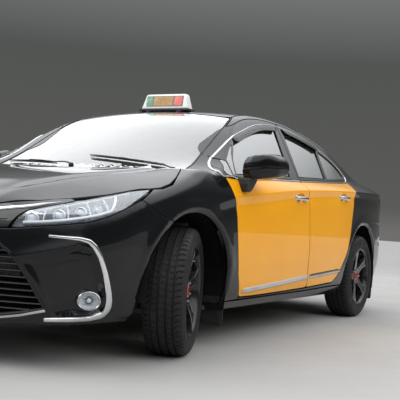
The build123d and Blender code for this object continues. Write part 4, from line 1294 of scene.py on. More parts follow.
# ---------------------------------------------------------------- bonnet
edge = [(642, 785, 8), (607, 752, 60), (455, 694, 120), (291, 601, 120), (183, 526, 100), (90, 388, 120), (66, 250, 120), (56, 0, 0)]
half = [(1079, 0, 0), (1079, 400, 200), (1076, 655, 6), (1057, 697, 6), (980, 738, 80), (869, 786, 80), (764, 817, 70), (684, 812, 40)] + edge
rows = half[1:-1]
b2 = [(s, x) + tuple(k) for s, x, *k in rows] + [(s, -x) + tuple(k) for s, x, *k in reversed(rows)]
bl, _ = loop2(b2)
s_r = np.arange(140, 1060, 12.0)
ridges = [np.stack([s_r, sg * (RIDGE_X(s_r) + dx)], 1) for dx in (-14, -5, 0, 6, 14) for sg in (1, -1)]


def bonnet_under(p, n, uv):
    """The inner frame of the bonnet: pressed webs between two sheets."""
    x, s = np.abs(p[:, 1]), p[:, 0]
    web = np.maximum(np.exp(-((x - 250 - (s - 100) * 0.22) / 46.0) ** 2), np.exp(-((s - 620) / 48.0) ** 2) * (x < 560))
    web = np.maximum(web, np.exp(-((s - 1010) / 60.0) ** 2))
    dep = 9 + 15 * np.clip(web, 0, 1)
    return p - n * dep[:, None]


bonnet = panel(TOP, bl, g=17.0, r=2.8, gap=1.8, back=18.0, lines=ridges, mats=(0, 1, 1), inner_fn=bonnet_under)
emit("bonnet_skin", bonnet, "bonnet", ["black_paint", "body_inner"], ("bonnet",))

# ---------------------------------------------------------------- roof and glass in the middle
SCREEN_EDGE = [(1165, 652), (1262, 650), (1369, 632), (1575, 609), (1720, 594), (1857, 566), (1890, 556)]
roof_half = [(1886, 0, 0), (1876, 300, 400), (1862, 480, 200), (1872, 552, 16), (2000, 556, 100), (2600, 560, 400), (3200, 554, 300), (3376, 546, 18), (3384, 440, 200), (3396, 200, 400), (3398, 0, 0)]


def full(rows):
    r_ = [v for v in rows if v[1] > 0]
    return [(v[0], v[1]) + tuple(v[2:]) for v in r_] + [(v[0], -v[1]) + tuple(v[2:]) for v in reversed(r_)]


rl, _ = loop2(full(roof_half), step=14.0)
roof = panel(TOP, rl, g=24.0, r=3.0, gap=1.6, back=22.0, mats=(0, 1, 0))
emit("roof_skin", roof, "root", ["black_paint", "headliner"], ("roof_panel",))
screen_half = [(1128, 0, 0), (1134, 300, 300), (1152, 560, 120), (1170, 650, 20), (1262, 649, 200), (1369, 631, 200), (1575, 608, 300), (1720, 593, 300), (1850, 562, 24), (1858, 480, 120),
               (1872, 300, 400), (1882, 0, 0)]
sl, _ = loop2(full(screen_half), step=12.0)
screen = panel(TOP, sl, g=30.0, r=0.5, gap=-3.0, back=5.0, offset=-2.5)
emit("windscreen_glass", screen, "root", ["glass_front"], ("windscreen",))
rear_half = [(3402, 0, 0), (3400, 200, 400), (3388, 440, 200), (3382, 540, 24), (3560, 548, 200), (3760, 560, 200), (3930, 572, 60), (3978, 540, 40), (3994, 300, 300), (3996, 0, 0)]
rw, _ = loop2(full(rear_half), step=12.0)
rear_glass = panel(TOP, rw, g=30.0, r=0.5, gap=-3.0, back=4.0, offset=-2.0)
emit("rear_glass", rear_glass, "root", ["glass_rear"], ("rear_window",))

# ---------------------------------------------------------------- side of the body: pillars, roof rail, quarter
def on_rear(rows):
    """(x, z) rows -> points on the tail, cast forwards."""
    q = np.asarray(rows, float)
    return np.stack(cast(0 * q[:, 0] + 4800.0, q[:, 0], q[:, 1], 0 * q[:, 0] - 1, 0 * q[:, 0], 0 * q[:, 0], 900.0)[:3], -1)


def on_front(rows):
    """(x, z) rows -> points on the nose, cast backwards."""
    q = np.asarray(rows, float)
    return np.stack(cast(0 * q[:, 0] - 120.0, q[:, 0], q[:, 1], 0 * q[:, 0] + 1, 0 * q[:, 0], 0 * q[:, 0], 1200.0)[:3], -1)


def uv_loop(chart, pts, radii=6.0, step=9.0, tags=None, closed=True):
    """Control points on the skin -> a dense loop in chart coordinates."""
    q = chart.uv(np.asarray(pts, float))
    radii = np.broadcast_to(radii, (len(q),))
    rows = [(float(a), float(b), float(r_)) + (('o',) if tags is not None and tags[i] else ()) for i, ((a, b), r_) in enumerate(zip(q, radii))]
    return loop2(rows, step=step, closed=closed)


hole2, _ = loop2(HOLE)
i0 = int(np.argmin(np.hypot(hole2[:, 0] - 1508, hole2[:, 1] - 262)))
hole2 = np.roll(hole2, -i0, 0)
if hole2[5][0] < hole2[0][0]:
    hole2 = np.roll(hole2[::-1], 1, 0)
stop = next(i for i in range(len(hole2)) if hole2[i][0] < 1376 and hole2[i][1] > 1012)
run_hole = hole2[:stop]
q1, _ = loop3([(1402, 644, 1048), (1575, 611, 1154, 300), (1720, 596, 1237, 300), (1857, 567, 1308, 60)], closed=False)
q2, _ = loop2([(1874, 559), (2000, 561, 100), (2600, 565, 400), (3200, 559, 300), (3380, 551, 18), (3560, 554, 200), (3760, 566, 200), (3934, 578, 60), (3990, 548)], closed=False)
seam_uv = SIDE.uv(np.concatenate([TOP.point(np.array([[3990.0, 548.0]])), on_side(np.array([[3990.0, 735.0]]))]))
n_ = int(abs(seam_uv[1][1] - seam_uv[0][1]) / 9)
seam = np.stack([np.full(n_, 3990.0), np.linspace(seam_uv[0][1], seam_uv[1][1], n_ + 1)[1:]], 1)
arc_r = np.array(arch(AXLE_REAR, 388.0, ang_of(AXLE_REAR, 3800, 669.6), ang_of(AXLE_REAR, 3256, 262), 80))[:, :2]
sill2, _ = loop2([(3256, 262), (3000, 262, 80), (2518, 252, 60), (1512, 246)], closed=False)
frame_uv = np.concatenate([
    SIDE.uv(q1[:-1]), SIDE.uv(TOP.point(q2[:-1])), seam_uv[:1], seam,
    SIDE.uv(on_side(np.array([(s_, 735.0) for s_ in np.arange(3981, 3800, -9.0)] + [(3800.0, z_) for z_ in np.arange(735, 672, -7.0)]))),
    SIDE.uv(on_side(arc_r)), SIDE.uv(on_side(sill2[1:])), SIDE.uv(on_side(run_hole)), SIDE.uv(np.array([(1347, 708, 1007.0)]))])
fin_ = np.ones(len(frame_uv), bool)
k0 = len(q1) - 1 + len(q2) - 1
fin_[k0:k0 + len(seam)] = False
side_frame = panel(SIDE, frame_uv, fin_, g=15.0, r=2.6, gap=1.8, flange=22.0, lines=CREASES)
both("body_side", side_frame, ["root", "root"], ["black_paint"], (("body_frame",), ()))

# door apertures: the frame that the doors close on
ap_outer = SIDE.uv(on_side(hole2))
if area2(ap_outer) < 0:
    ap_outer = ap_outer[::-1]
ap_outer = inset(ap_outer, np.full(len(ap_outer), -9.0))
ap_outer[:, 0] = np.where(ap_outer[:, 0] < 1420, ap_outer[:, 0] - 46, ap_outer[:, 0])


def grown(rows, d, chart=SIDE):
    q = chart.uv(on_side(loop2(rows)[0]))
    if area2(q) < 0:
        q = q[::-1]
    return inset(q, np.full(len(q), d))


AP_FRONT, AP_REAR = grown(DOOR_FRONT, 36.0), grown(DOOR_REAR, 34.0)
aperture = panel(SIDE, ap_outer, holes=[(AP_FRONT, None, 0.0), (AP_REAR, None, 0.0)], g=18.0, r=3.0, gap=0.0, back=30.0, offset=-30.0, mats=(0, 1))
both("door_aperture", aperture, ["root", "root"], ["black_paint", "cabin_plastic"])
for nm, ap in (("front", AP_FRONT), ("rear", AP_REAR)):
    p_ = SIDE.point(ap)
    n_p = normal(p_[:, 0], p_[:, 1], p_[:, 2])
    seal = tube(p_ - n_p * 27.0, 7.0, seg=6, closed=True)
    both(f"door_seal_{nm}", seal, ["root", "root"], ["rubber_seal"])

# rear corner of the body
tl = [tuple(on_side(np.array([(4113.0, 923.0)]))[0]), tuple(on_side(np.array([(4301.0, 983.0)]))[0]), tuple(on_rear([(551.0, 983.0)])[0]),
      tuple(on_rear([(551.0, 802.0)])[0]), tuple(on_side(np.array([(4362.0, 802.0)]))[0])]
boot_side = TOP.point(np.array([(3986.0, 545.0), (4100.0, 545.0), (4300.0, 545.0), (4480.0, 545.0), (4540.0, 545.0)]))
corner_pts = list(map(tuple, boot_side)) + [tuple(on_rear([(545.0, 1020.0)])[0]), tuple(on_rear([(545.0, 983.0)])[0]), tl[1], tl[0], tl[4], tuple(on_rear([(545.0, 802.0)])[0]),
              tuple(on_rear([(545.0, 737.0)])[0]), tuple(on_side(np.array([(4300.0, 737.0)]))[0]), tuple(on_side(np.array([(3986.0, 735.0)]))[0])]
corner_rad = [0, 80, 80, 40, 20, 20, 6, 40, 14, 10, 6, 4, 60, 0]
cu, cf = uv_loop(REAR, corner_pts, corner_rad, tags=[False] * (len(corner_pts) - 1) + [True])
corner = panel(REAR, cu, cf, g=14.0, r=2.4, gap=1.8, flange=18.0)
both("rear_corner", corner, ["root", "root"], ["black_paint"])
tu, _ = uv_loop(REAR, tl, [20, 40, 8, 8, 14])
tail_cover = panel(REAR, tu, g=13.0, r=3.0, gap=1.6, back=5.0, offset=1.5)
both("tail_lamp_cover", tail_cover, ["root", "root"], ["tail_lens"], (("tail_lamps",), ()))
tail_bowl = panel(REAR, tu, g=16.0, r=2.0, gap=3.0, flange=14.0, offset=-34.0)
both("tail_lamp_bowl", tail_bowl, ["root", "root"], ["tail_inner"])

# boot lid
bl_half = [tuple(TOP.point(np.array([(4008.0, x_)]))[0]) for x_ in (0.0, 300.0, 538.0)] + [tuple(TOP.point(np.array([(s_, 538.0)]))[0]) for s_ in (4200.0, 4400.0, 4540.0)] + \
    [tuple(on_rear([(538.0, z_)])[0]) for z_ in (1010.0, 900.0, 756.0)] + [tuple(on_rear([(300.0, 752.0)])[0])]
bl_rad = [0, 100, 10, 60, 60, 30, 30, 60, 24, 60]
bq = TAILC.uv(np.array(bl_half))
rows = [(float(a), float(b), float(r_)) for (a, b), r_ in zip(bq, bl_rad)]
bu, _ = loop2(full(rows))


def boot_relief(p):
    """A shallow bay round the number plate."""
    on = step(p[:, 0], 4440, 4480)
    wide = 1 - step(np.abs(p[:, 1]), 282, 300)
    tall = step(p[:, 2], 788, 802) * (1 - step(p[:, 2], 912, 926))
    return 13.0 * on * wide * tall


def boot_under(p, n, uv):
    """The inner frame of the boot lid: pressed webs between two sheets."""
    x, s, z = np.abs(p[:, 1]), p[:, 0], p[:, 2]
    deck = 1 - step(s, 4470, 4520)
    web = np.maximum(np.exp(-((x - 478) / 40.0) ** 2), np.exp(-((s - 4052) / 40.0) ** 2))
    web = np.maximum(web, deck * np.exp(-((x - 120 - (4500 - s) * 0.42) / 34.0) ** 2))
    web = np.maximum(web, np.exp(-((s - 4452) / 42.0) ** 2))
    web = np.maximum(web, (1 - deck) * np.exp(-((z - 800) / 26.0) ** 2))
    return p - n * (17.0 + 9.0 * np.clip(web, 0, 1))[:, None]


bay = np.array(loop2([(-294, 792, 14), (294, 792, 14), (294, 922, 14), (-294, 922, 14)], step=9.0)[0])
bays = [TAILC.uv(on_rear(inset(bay, np.full(len(bay), d_)))) for d_ in (0.0, 5.0, 11.0)]
boot = panel(TAILC, bu, g=17.0, r=2.8, gap=1.8, back=20.0, mats=(0, 1, 1), relief=boot_relief, lines=bays, inner_fn=boot_under)
emit("boot_skin", boot, "boot_lid", ["black_paint", "body_inner"], ("boot_lid",))

# rear bumper
rb_arc = np.array(arch(AXLE_REAR, 388.0, ang_of(AXLE_REAR, 3800, 669.6), 203.0, 40))[:, :2]
rb_left = [on_side(np.array([(3800.0, z_) for z_ in np.arange(672, 735, 7.0)])), on_side(np.array([(s_, 735.0) for s_ in np.arange(3800, 4250, 9.0)]))]
ul = REAR.uv(np.concatenate(rb_left))
a_end = ul[-1]
rear_mid = REAR.uv(on_rear([(0.0, 738.0)]))[0]
top_run = np.stack([np.arange(a_end[0] + 9, A_END, 9.0), np.full(len(np.arange(a_end[0] + 9, A_END, 9.0)), a_end[1])], 1)
arc_uv = REAR.uv(on_side(rb_arc))[::-1]
bottom_v = float(REAR.uv(on_side(np.array([(4200.0, 190.0)])))[0][1])
start_a = float(arc_uv[0][0])
bot_run = np.stack([np.arange(A_END, start_a, -9.0), np.full(len(np.arange(A_END, start_a, -9.0)), bottom_v)], 1)
left_half = np.concatenate([bot_run[1:], arc_uv, ul, top_run])
right_half = left_half[::-1].copy()
right_half[:, 0] = 2 * A_END - right_half[:, 0]


def rear_relief(p):
    """A long hollow below the shoulder and a rolled lower edge."""
    back_ = step(p[:, 0], 4120, 4300)
    return back_ * (7.0 * np.exp(-((p[:, 2] - 590.0) / 20.0) ** 2) + 5.0 * np.exp(-((p[:, 2] - 352.0) / 12.0) ** 2))


rear_bumper = panel(REAR, np.concatenate([left_half, right_half]), g=16.0, r=2.6, gap=1.8, flange=22.0, relief=rear_relief)
emit("rear_bumper_skin", rear_bumper, "root", ["black_paint"], ("rear_bumper",))

# sills
sk, _ = side_loop([(1323, 244, 6), (1512, 243, 60), (2518, 249, 60), (3000, 259, 80), (3254, 259, 8), (3262, 236, 6), (3214, 196, 30), (1420, 196, 30), (1331, 204, 10)])
skirt = panel(SILL, sk, g=12.0, r=2.5, gap=1.0, flange=30.0)
both("sill_skirt", skirt, ["root", "root"], ["gloss_black"])


# ---------------------------------------------------------------- small builders in a local frame
def frame_at(direction, up=(0, 0, 1)):
    d = np.asarray(direction, float)
    d = d / np.linalg.norm(d)
    e1 = np.cross(np.asarray(up, float), d)
    if np.linalg.norm(e1) < 1e-6:
        e1 = np.cross((1.0, 0.0, 0.0), d)
    e1 = e1 / np.linalg.norm(e1)
    return d, e1, np.cross(d, e1)


def turned_at(profile, origin, direction, seg=48, squash=(1.0, 1.0), mat=0, up=(0, 0, 1)):
    """profile rows (w, r) turned round an axis along direction through origin; squash scales the two cross directions."""
    d, e1, e2 = frame_at(direction, up)
    pr = np.array(profile, float)
    ang = np.linspace(0, 2 * pi, seg, endpoint=False)
    c, s_ = np.cos(ang)[:, None, None], np.sin(ang)[:, None, None]
    w, r = pr[None, :, 0, None], pr[None, :, 1, None]
    v = np.asarray(origin, float) + d * w + e1 * (r * c * squash[0]) + e2 * (r * s_ * squash[1])
    k = len(pr)
    f = []
    for i in range(seg):
        j = (i + 1) % seg
        for q in range(k - 1):
            f.append((i * k + q, i * k + q + 1, j * k + q + 1, j * k + q))
    o = Part()
    o.add(v.reshape(-1, 3), f, None, mat)
    return o


def uvp(chart, pts):
    return chart.point(chart.uv(np.asarray(pts, float)))


def skin_line(chart, pts, r=60.0, step_=7.0, closed=False):
    """Control points near the skin -> a dense smooth line on it."""
    q = chart.uv(np.asarray(pts, float))
    rows = [(float(a), float(b), r) for a, b in q]
    l, _ = loop2(rows, step=step_, closed=closed)
    return chart.point(l)


# ---------------------------------------------------------------- front bumper
G_HALF = [(0, 552, 0), (300, 552, 60), (400, 545, 60), (458, 520, 40), (503, 491, 80), (548, 441, 120), (590, 378, 160), (624, 306, 120), (640, 262, 12), (541, 240, 40), (451, 224, 120), (200, 212, 200), (0, 210, 0)]
C_OUT = [(116, 642, 570), (206, 732, 568), (242, 757, 560), (271, 773, 545), (299, 787, 511), (330, 796, 443), (363, 800, 370), (392, 798, 304), (404, 788, 262), (396, 764, 226), (341, 739, 213), (154, 615, 209)]
C_IN = [(115, 642, 565), (205, 733, 554), (235, 754, 543), (256, 766, 518), (280, 777, 476), (310, 784, 400), (326, 784, 340), (333, 778, 290), (330, 768, 262), (312, 752, 244), (233, 713, 236), (140, 625, 230)]
FACET_LOW = [(30, 456, 440), (47, 513, 465), (94, 619, 493), (202, 733, 532), (247, 762, 519)]
FACET_UP = [(33, 456, 514), (59, 538, 547), (92, 604, 568), (150, 680, 572)]

C_MID = [(115, 642, 567, 5), (205, 732, 561, 9), (240, 756, 552, 11), (263, 770, 530, 12), (290, 781, 490, 12.5), (320, 790, 421, 13), (344, 792, 355, 14.5), (362, 791, 300, 17), (367, 786, 266, 18),
         (352, 768, 238, 17), (300, 742, 224, 13), (230, 700, 221, 11.5), (147, 620, 219, 10)]
c_uv = FRONT.uv(uvp(FRONT, [v[:3] for v in C_MID]))
c_mid, _ = loop2([(float(a), float(b), 30.0) for a, b in c_uv], step=6.0, closed=False)
c_low_uv = FRONT.uv(uvp(FRONT, FACET_LOW))
g_run = [v for v in G_HALF if v[0] > 0]
G_ROWS = g_run + [(-v[0],) + tuple(v[1:]) for v in reversed(g_run)]
gq = np.array(loop2(G_ROWS, step=10.0)[0])
g_points = on_front(gq)
# closed outline of the recessed face inside the C
g_edge_uv = FRONT.uv(on_front(np.array([(640, 275), (628, 306), (594, 378), (552, 441), (530, 466)])))
rec_poly = np.concatenate([c_low_uv[1:], c_mid[np.argmin(np.abs(c_mid[:, 1] - 519)):], [[float(g_edge_uv[0][0]) - 10, 232.0]], g_edge_uv])
if area2(rec_poly) < 0:
    rec_poly = rec_poly[::-1]


rec_in = inset(rec_poly, np.full(len(rec_poly), 13.0))
rec_in2 = inset(rec_poly, np.full(len(rec_poly), 30.0))


def bumper_relief(p):
    q = FRONT.uv(p)
    q = np.stack([np.abs(q[:, 0]), q[:, 1]], 1)
    ins = inside(q, rec_poly)
    out = np.zeros(len(q))
    if ins.any():
        d = edge_distance(q[ins], rec_poly)
        from_grille = np.interp(q[ins][:, 1], [200, 306, 378, 441, 480], [660.0 + 60, 700.0, 640.0, 590.0, 560.0])
        along = step(q[ins][:, 0], 600, 830)
        out[ins] = 30.0 * step(d, 9.0, 36.0) * (0.12 + 0.88 * along)
    up = np.interp(q[:, 0], FRONT.uv(uvp(FRONT, FACET_LOW))[:, 0], FRONT.uv(uvp(FRONT, FACET_LOW))[:, 1])
    near = np.exp(-(np.maximum(q[:, 1] - up, 0) / 34.0) ** 1.5) * (q[:, 1] >= up - 0.5) * step(q[:, 0], 430, 560) * (1 - step(q[:, 0], 800, 860))
    out = out - 9.0 * near
    # a long shallow hollow low on the bumper, just above its lower edge
    out = out + 6.0 * np.exp(-((q[:, 1] - 196) / 7.0) ** 2)
    return out


bump_top = [(11, 0, 583), (14, 300, 585), (49, 486, 589), (80, 569, 599), (148, 669, 614), (247, 748, 632), (336, 785, 662), (416, 805, 697), (518, 824, 744)]
bt = uvp(FRONT, bump_top)
bl1 = on_side(np.array([(549.0, 722.0), (617.0, 694.0), (688.0, 668.0), (745.0, 652.0)]))
barc = on_side(np.array(arch(AXLE_FRONT, 388.0, la0, -20.2, 24))[:, :2])
h = loop2([(float(a), float(b), r_) for (a, b), r_ in zip(FRONT.uv(np.concatenate([bt[1:], bl1])), [60] * 7 + [4, 40, 40, 40, 6])], closed=False)[0]
v_bot = 176.0
a_bot = float(FRONT.uv(barc)[-1][0])
bot = np.stack([np.arange(a_bot, 0, -10.0), np.full(len(np.arange(a_bot, 0, -10.0)), v_bot)], 1)
top0 = FRONT.uv(bt[:1])[0]
mid_top = np.stack([np.linspace(8, h[0][0], 34)[:-1], np.linspace(top0[1], h[0][1], 34)[:-1]], 1)
half_uv = np.concatenate([mid_top, h, FRONT.uv(barc)[1:], bot[1:]])
other = half_uv[::-1].copy()
other[:, 0] *= -1
b_loop = np.concatenate([half_uv, other])
cl = FRONT.point(c_mid)
fac_lines = []
for dv in (-6.0, 0.0, 7.0):
    q_ = np.array(loop2([(float(a), float(b) + dv, 60.0) for a, b in c_low_uv], step=8.0, closed=False)[0])
    fac_lines += [q_, q_ * [-1, 1]]
for k_ in (-1, 1):
    fac_lines.append(c_mid * [k_, 1])
    fac_lines.append(rec_in * [k_, 1])
    fac_lines.append(rec_in2 * [k_, 1])
front_bumper = panel(FRONT, b_loop, holes=[(g_points, None, 0.0)], g=11.3, r=2.6, gap=1.8, flange=20.0, relief=bumper_relief, lines=fac_lines)
emit("front_bumper_skin", front_bumper, "root", ["black_paint"], ("front_bumper",))

# chrome C trims
arc_c = np.concatenate([[0], np.cumsum(np.linalg.norm(np.diff(c_uv, axis=0), axis=1))])
arc_m = np.concatenate([[0], np.cumsum(np.linalg.norm(np.diff(c_mid, axis=0), axis=1))])
wm = np.interp(arc_m / arc_m[-1], arc_c / arc_c[-1], [v[3] for v in C_MID])
c_trim = strip(cl, wm, wm, 9.0 * np.clip(arc_m / 60.0, 0.3, 1), sink=8.0)
both("corner_trim", c_trim, ["root", "root"], ["chrome"])

# fog lamps
fog_c = np.array([268.0, 754.0, 303.0])
fog_d = np.array([-0.80, 0.60, 0.02])
fog = turned_at([(-30, 44), (4, 47), (8, 46.5), (9.5, 44.5), (8, 42.5), (3, 41.5)], fog_c, fog_d, 56, (1.06, 0.84))
both("fog_bezel", fog, ["root", "root"], ["chrome"], (("fog_lamps",), ()))
fog_r = turned_at([(4, 42), (-4, 38), (-6, 36), (-8, 35.5), (-13, 28), (-15, 26), (-20, 17), (-24, 10), (-25, 0.5)], fog_c, fog_d, 56, (1.06, 0.84))
fog_r.extend(turned_at([(-24, 15), (-9, 15), (-5, 13.5), (-6, 11)], fog_c, fog_d, 32), mat=1)
fog_r.extend(turned_at([(-12, 11.5), (-6, 10.5), (-2, 7), (-1, 0.3)], fog_c, fog_d, 32), mat=2)
d_, e1_, e2_ = frame_at(fog_d)
for v_, w_ in ((-26.0, 22.0), (-15.0, 31.0), (15.0, 31.0), (26.0, 22.0)):
    xs = np.linspace(-w_, w_, 15)
    fog_r.extend(tube([fog_c + d_ * (-11.0 + 7.0 * (u_ / 36.0) ** 2) + e1_ * u_ + e2_ * v_ * 0.84 for u_ in xs], 1.5, 6), mat=0)
both("fog_reflector", fog_r, ["root", "root"], ["lamp_silver", "dark_metal", "white_led"])
fog_g = turned_at([(3, 42.5), (8, 38), (11, 27), (12.5, 12), (13, 0.3)], fog_c, fog_d, 56, (1.06, 0.84))
both("fog_glass", fog_g, ["root", "root"], ["lamp_clear"])

# grille: slats, rim, blade, and what lies behind
slats = Part()
gz = loop2(G_HALF, closed=False)[0]
for k_ in range(12):
    z_ = 232.0 + 26.4 * k_
    if z_ > 545:
        break
    rightmost = max(np.interp(z_, [210, 224, 240, 262, 306, 378, 441, 491, 520, 545], [120, 451, 541, 636, 622, 588, 546, 501, 456, 392]), 60) - 3
    xs = np.linspace(-rightmost, rightmost, 49)
    pts = on_front(np.stack([xs, 0 * xs + z_], 1)) + np.array([24.0, 0, 0])
    slats.extend(tube(pts, 12.0, 9, flat=(1.35, 0.50)))
for x_ in (-300, 0, 300):
    pts = on_front(np.stack([np.full(20, float(x_)), np.linspace(226, 530, 20)], 1)) + np.array([46.0, 0, 0])
    slats.extend(tube(pts, 6.0, 8))
emit("grille_slats", slats, "root", ["slat_black"], ("grille",))
rim = strip(g_points, 5.0, 7.0, 4.0, closed=True, sink=26.0)
emit("grille_rim", rim, "root", ["gloss_black"])
xs = np.concatenate([np.linspace(-636, -300, 40), np.linspace(-290, 290, 40), np.linspace(300, 636, 40)])
zs = np.interp(np.abs(xs), [0, 200, 451, 541, 636], [204, 206, 218, 234, 259])
blade = strip(on_front(np.stack([xs, zs], 1)), 6.5, 6.5, 6.0, sink=4.0)
emit("grille_blade", blade, "root", ["silver_paint"])
# The radiator core behind the grille and its fin lines are coloured near black: painted shade behind the slats.
core = Part()
core.extend(slab([(-560, 200), (560, 200), (560, 560), (-560, 560)], 's', 205, 215, 2.0), mat=0)
for k_ in range(36):
    core.extend(box((190, -545, 206 + k_ * 9.8), (205, 545, 209.5 + k_ * 9.8), 0.0), mat=1)
for x_ in np.linspace(-540, 540, 46):
    core.extend(box((196, x_ - 1.5, 204), (203, x_ + 1.5, 556), 0.0), mat=1)
emit("radiator_core", core, "root", ["void_black", "liner_felt"])

# nose panel between bonnet and bumper, with the chrome bar
nose3 = [(14, 0, 585), (14, 300, 586), (44, 476, 590), (72, 505, 640), (100, 532, 668), (190, 598, 698), (292, 633, 722), (296, 600, 727), (240, 560, 722), (183, 524, 709), (90, 386, 687), (64, 250, 676), (54, 0, 672)]
nu = FRONT.uv(uvp(FRONT, nose3))
nrows = [(float(a), float(b), r_) for (a, b), r_ in zip(nu, [0, 60, 8, 20, 40, 40, 4, 4, 40, 60, 80, 80, 0])]
nl, _ = loop2(nrows[1:-1] + [(-a_, b_, r_) for a_, b_, r_ in reversed(nrows[1:-1])])
nose = panel(FRONT, nl, g=16.0, r=2.4, gap=1.6, flange=16.0)
emit("nose_panel", nose, "root", ["gloss_black"])
bx = [(0, 650), (200, 653), (402, 666), (480, 677), (546, 690), (600, 711)]
xs = np.linspace(-600, 600, 161)
bz = Spline(bx)(np.abs(xs))
bar_l = on_front(np.stack([xs, bz], 1))
bw = 8.5 * np.clip((603 - np.abs(xs)) / 60.0, 0.15, 1)
bar = strip(bar_l, bw, bw, 7.0 * np.clip((603 - np.abs(xs)) / 40.0, 0.3, 1), sink=4.0)
emit("nose_bar", bar, "root", ["chrome"])
bz2 = Spline([(0, 618), (300, 621), (470, 628)])(np.abs(np.linspace(-462, 462, 101)))
groove = strip(on_front(np.stack([np.linspace(-462, 462, 101), bz2], 1)), 3.0, 3.0, 2.2, sink=3.0)
emit("nose_rib", groove, "root", ["gloss_black"])

# ---------------------------------------------------------------- headlamps
HL = [(49, 486, 592, 8), (80, 569, 602, 60), (148, 669, 617, 80), (247, 748, 635, 60), (336, 785, 665, 60), (416, 805, 700, 60), (509, 809, 744, 60), (640, 786, 792, 5), (554, 736, 781, 80),
      (404, 680, 748, 80), (296, 634, 723, 60), (196, 602, 699, 60), (106, 536, 669, 20), (76, 510, 640, 30)]
hq = FRONT.uv(uvp(FRONT, [v[:3] for v in HL]))
hl, _ = loop2([(float(a), float(b), v[3]) for (a, b), v in zip(hq, HL)])
cover = panel(FRONT, hl, g=13.0, r=3.0, gap=1.6, back=4.0)
both("headlamp_cover", cover, ["root", "root"], ["lamp_clear"], (("headlamps",), ()))
if area2(hl) < 0:
    hl = hl[::-1]
inner = inset(hl, np.full(len(hl), 2.0))


def bowl_relief(p):
    q = FRONT.uv(p)
    d = edge_distance(q, hl)
    return 14.0 * step(d, 4, 30) + 3.0 * np.sin(q[:, 0] / 26.0) * step(d, 14, 40)


bowl = panel(FRONT, inner, g=9.0, r=1.0, gap=0.0, flange=3.0, offset=-14.0, relief=bowl_relief)
surface("lamp_bowl", (0.055, 0.058, 0.068), (0.030, 0.032, 0.038), rough=0.20, rough_range=(0.12, 0.30), metal=0.6, grain=[(60, 0.12, 0.003)], scale=18.0)
both("headlamp_bowl", bowl, ["root", "root"], ["lamp_bowl"])


def in_lamp(pts, depth):
    p = uvp(FRONT, pts)
    n = normal(p[:, 0], p[:, 1], p[:, 2])
    return p - n * depth, n


guide = skin_line(FRONT, [(84, 530, 612), (120, 610, 622), (170, 672, 634), (240, 726, 652), (300, 756, 668), (358, 776, 689), (398, 762, 720), (440, 738, 749), (458, 727, 761)], 16.0, 6.0)
ng = normal(guide[:, 0], guide[:, 1], guide[:, 2])
led = strip(guide - ng * 8.0, 6.0, 6.0, 5.0, n=ng, sink=5.0)
both("headlamp_guide", led, ["root", "root"], ["white_led"])
edge_l = skin_line(FRONT, [(120, 560, 676), (200, 612, 702), (300, 650, 726), (410, 692, 750), (540, 735, 779)], 60.0, 8.0)
ne = normal(edge_l[:, 0], edge_l[:, 1], edge_l[:, 2])
both("headlamp_upper_trim", strip(edge_l - ne * 14.0, 3.5, 3.5, 6.0, n=ne, sink=4.0), ["root", "root"], ["reflector"])
mods = Part()
for (s_, x_, z_, r_) in ((98, 556, 634, 25), (172, 640, 658, 22), (250, 694, 682, 20), (322, 726, 702, 15)):
    c_, n_ = in_lamp([(s_, x_, z_)], 20.0)
    d_ = np.array([-0.93, 0.36, 0.02])
    o_ = c_[0]
    mods.extend(turned_at([(-16, r_ + 5), (3, r_ + 4), (6, r_ + 2), (4, r_), (-6, r_ - 1)], o_, d_, 36), mat=0)
    mods.extend(turned_at([(-8, r_), (2, r_ * 0.86), (8, r_ * 0.5), (10, 0.2)], o_, d_, 36), mat=1)
both("headlamp_units", mods, ["root", "root"], ["lamp_silver", "white_led"])
fins = Part()
for (a_, b_) in (((112, 606, 619), (150, 588, 680)), ((182, 684, 634), (232, 634, 705)), ((262, 736, 654), (318, 674, 727)), ((345, 768, 684), (398, 704, 745))):
    l_ = skin_line(FRONT, [a_, tuple((np.array(a_) + np.array(b_)) / 2), b_], 30.0, 7.0)
    n_ = normal(l_[:, 0], l_[:, 1], l_[:, 2])
    fins.extend(strip(l_ - n_ * 15.0, 3.2, 3.2, 9.0, n=n_, sink=6.0))
both("headlamp_fins", fins, ["root", "root"], ["lamp_silver"])
amb = [(388, 782, 706), (500, 799, 742), (604, 788, 781), (562, 757, 779), (440, 724, 752)]
au, _ = uv_loop(FRONT, uvp(FRONT, amb), 12.0)
both("headlamp_marker", panel(FRONT, au, g=8.0, r=2.0, gap=0.0, flange=6.0, offset=-7.0), ["root", "root"], ["void_black"])


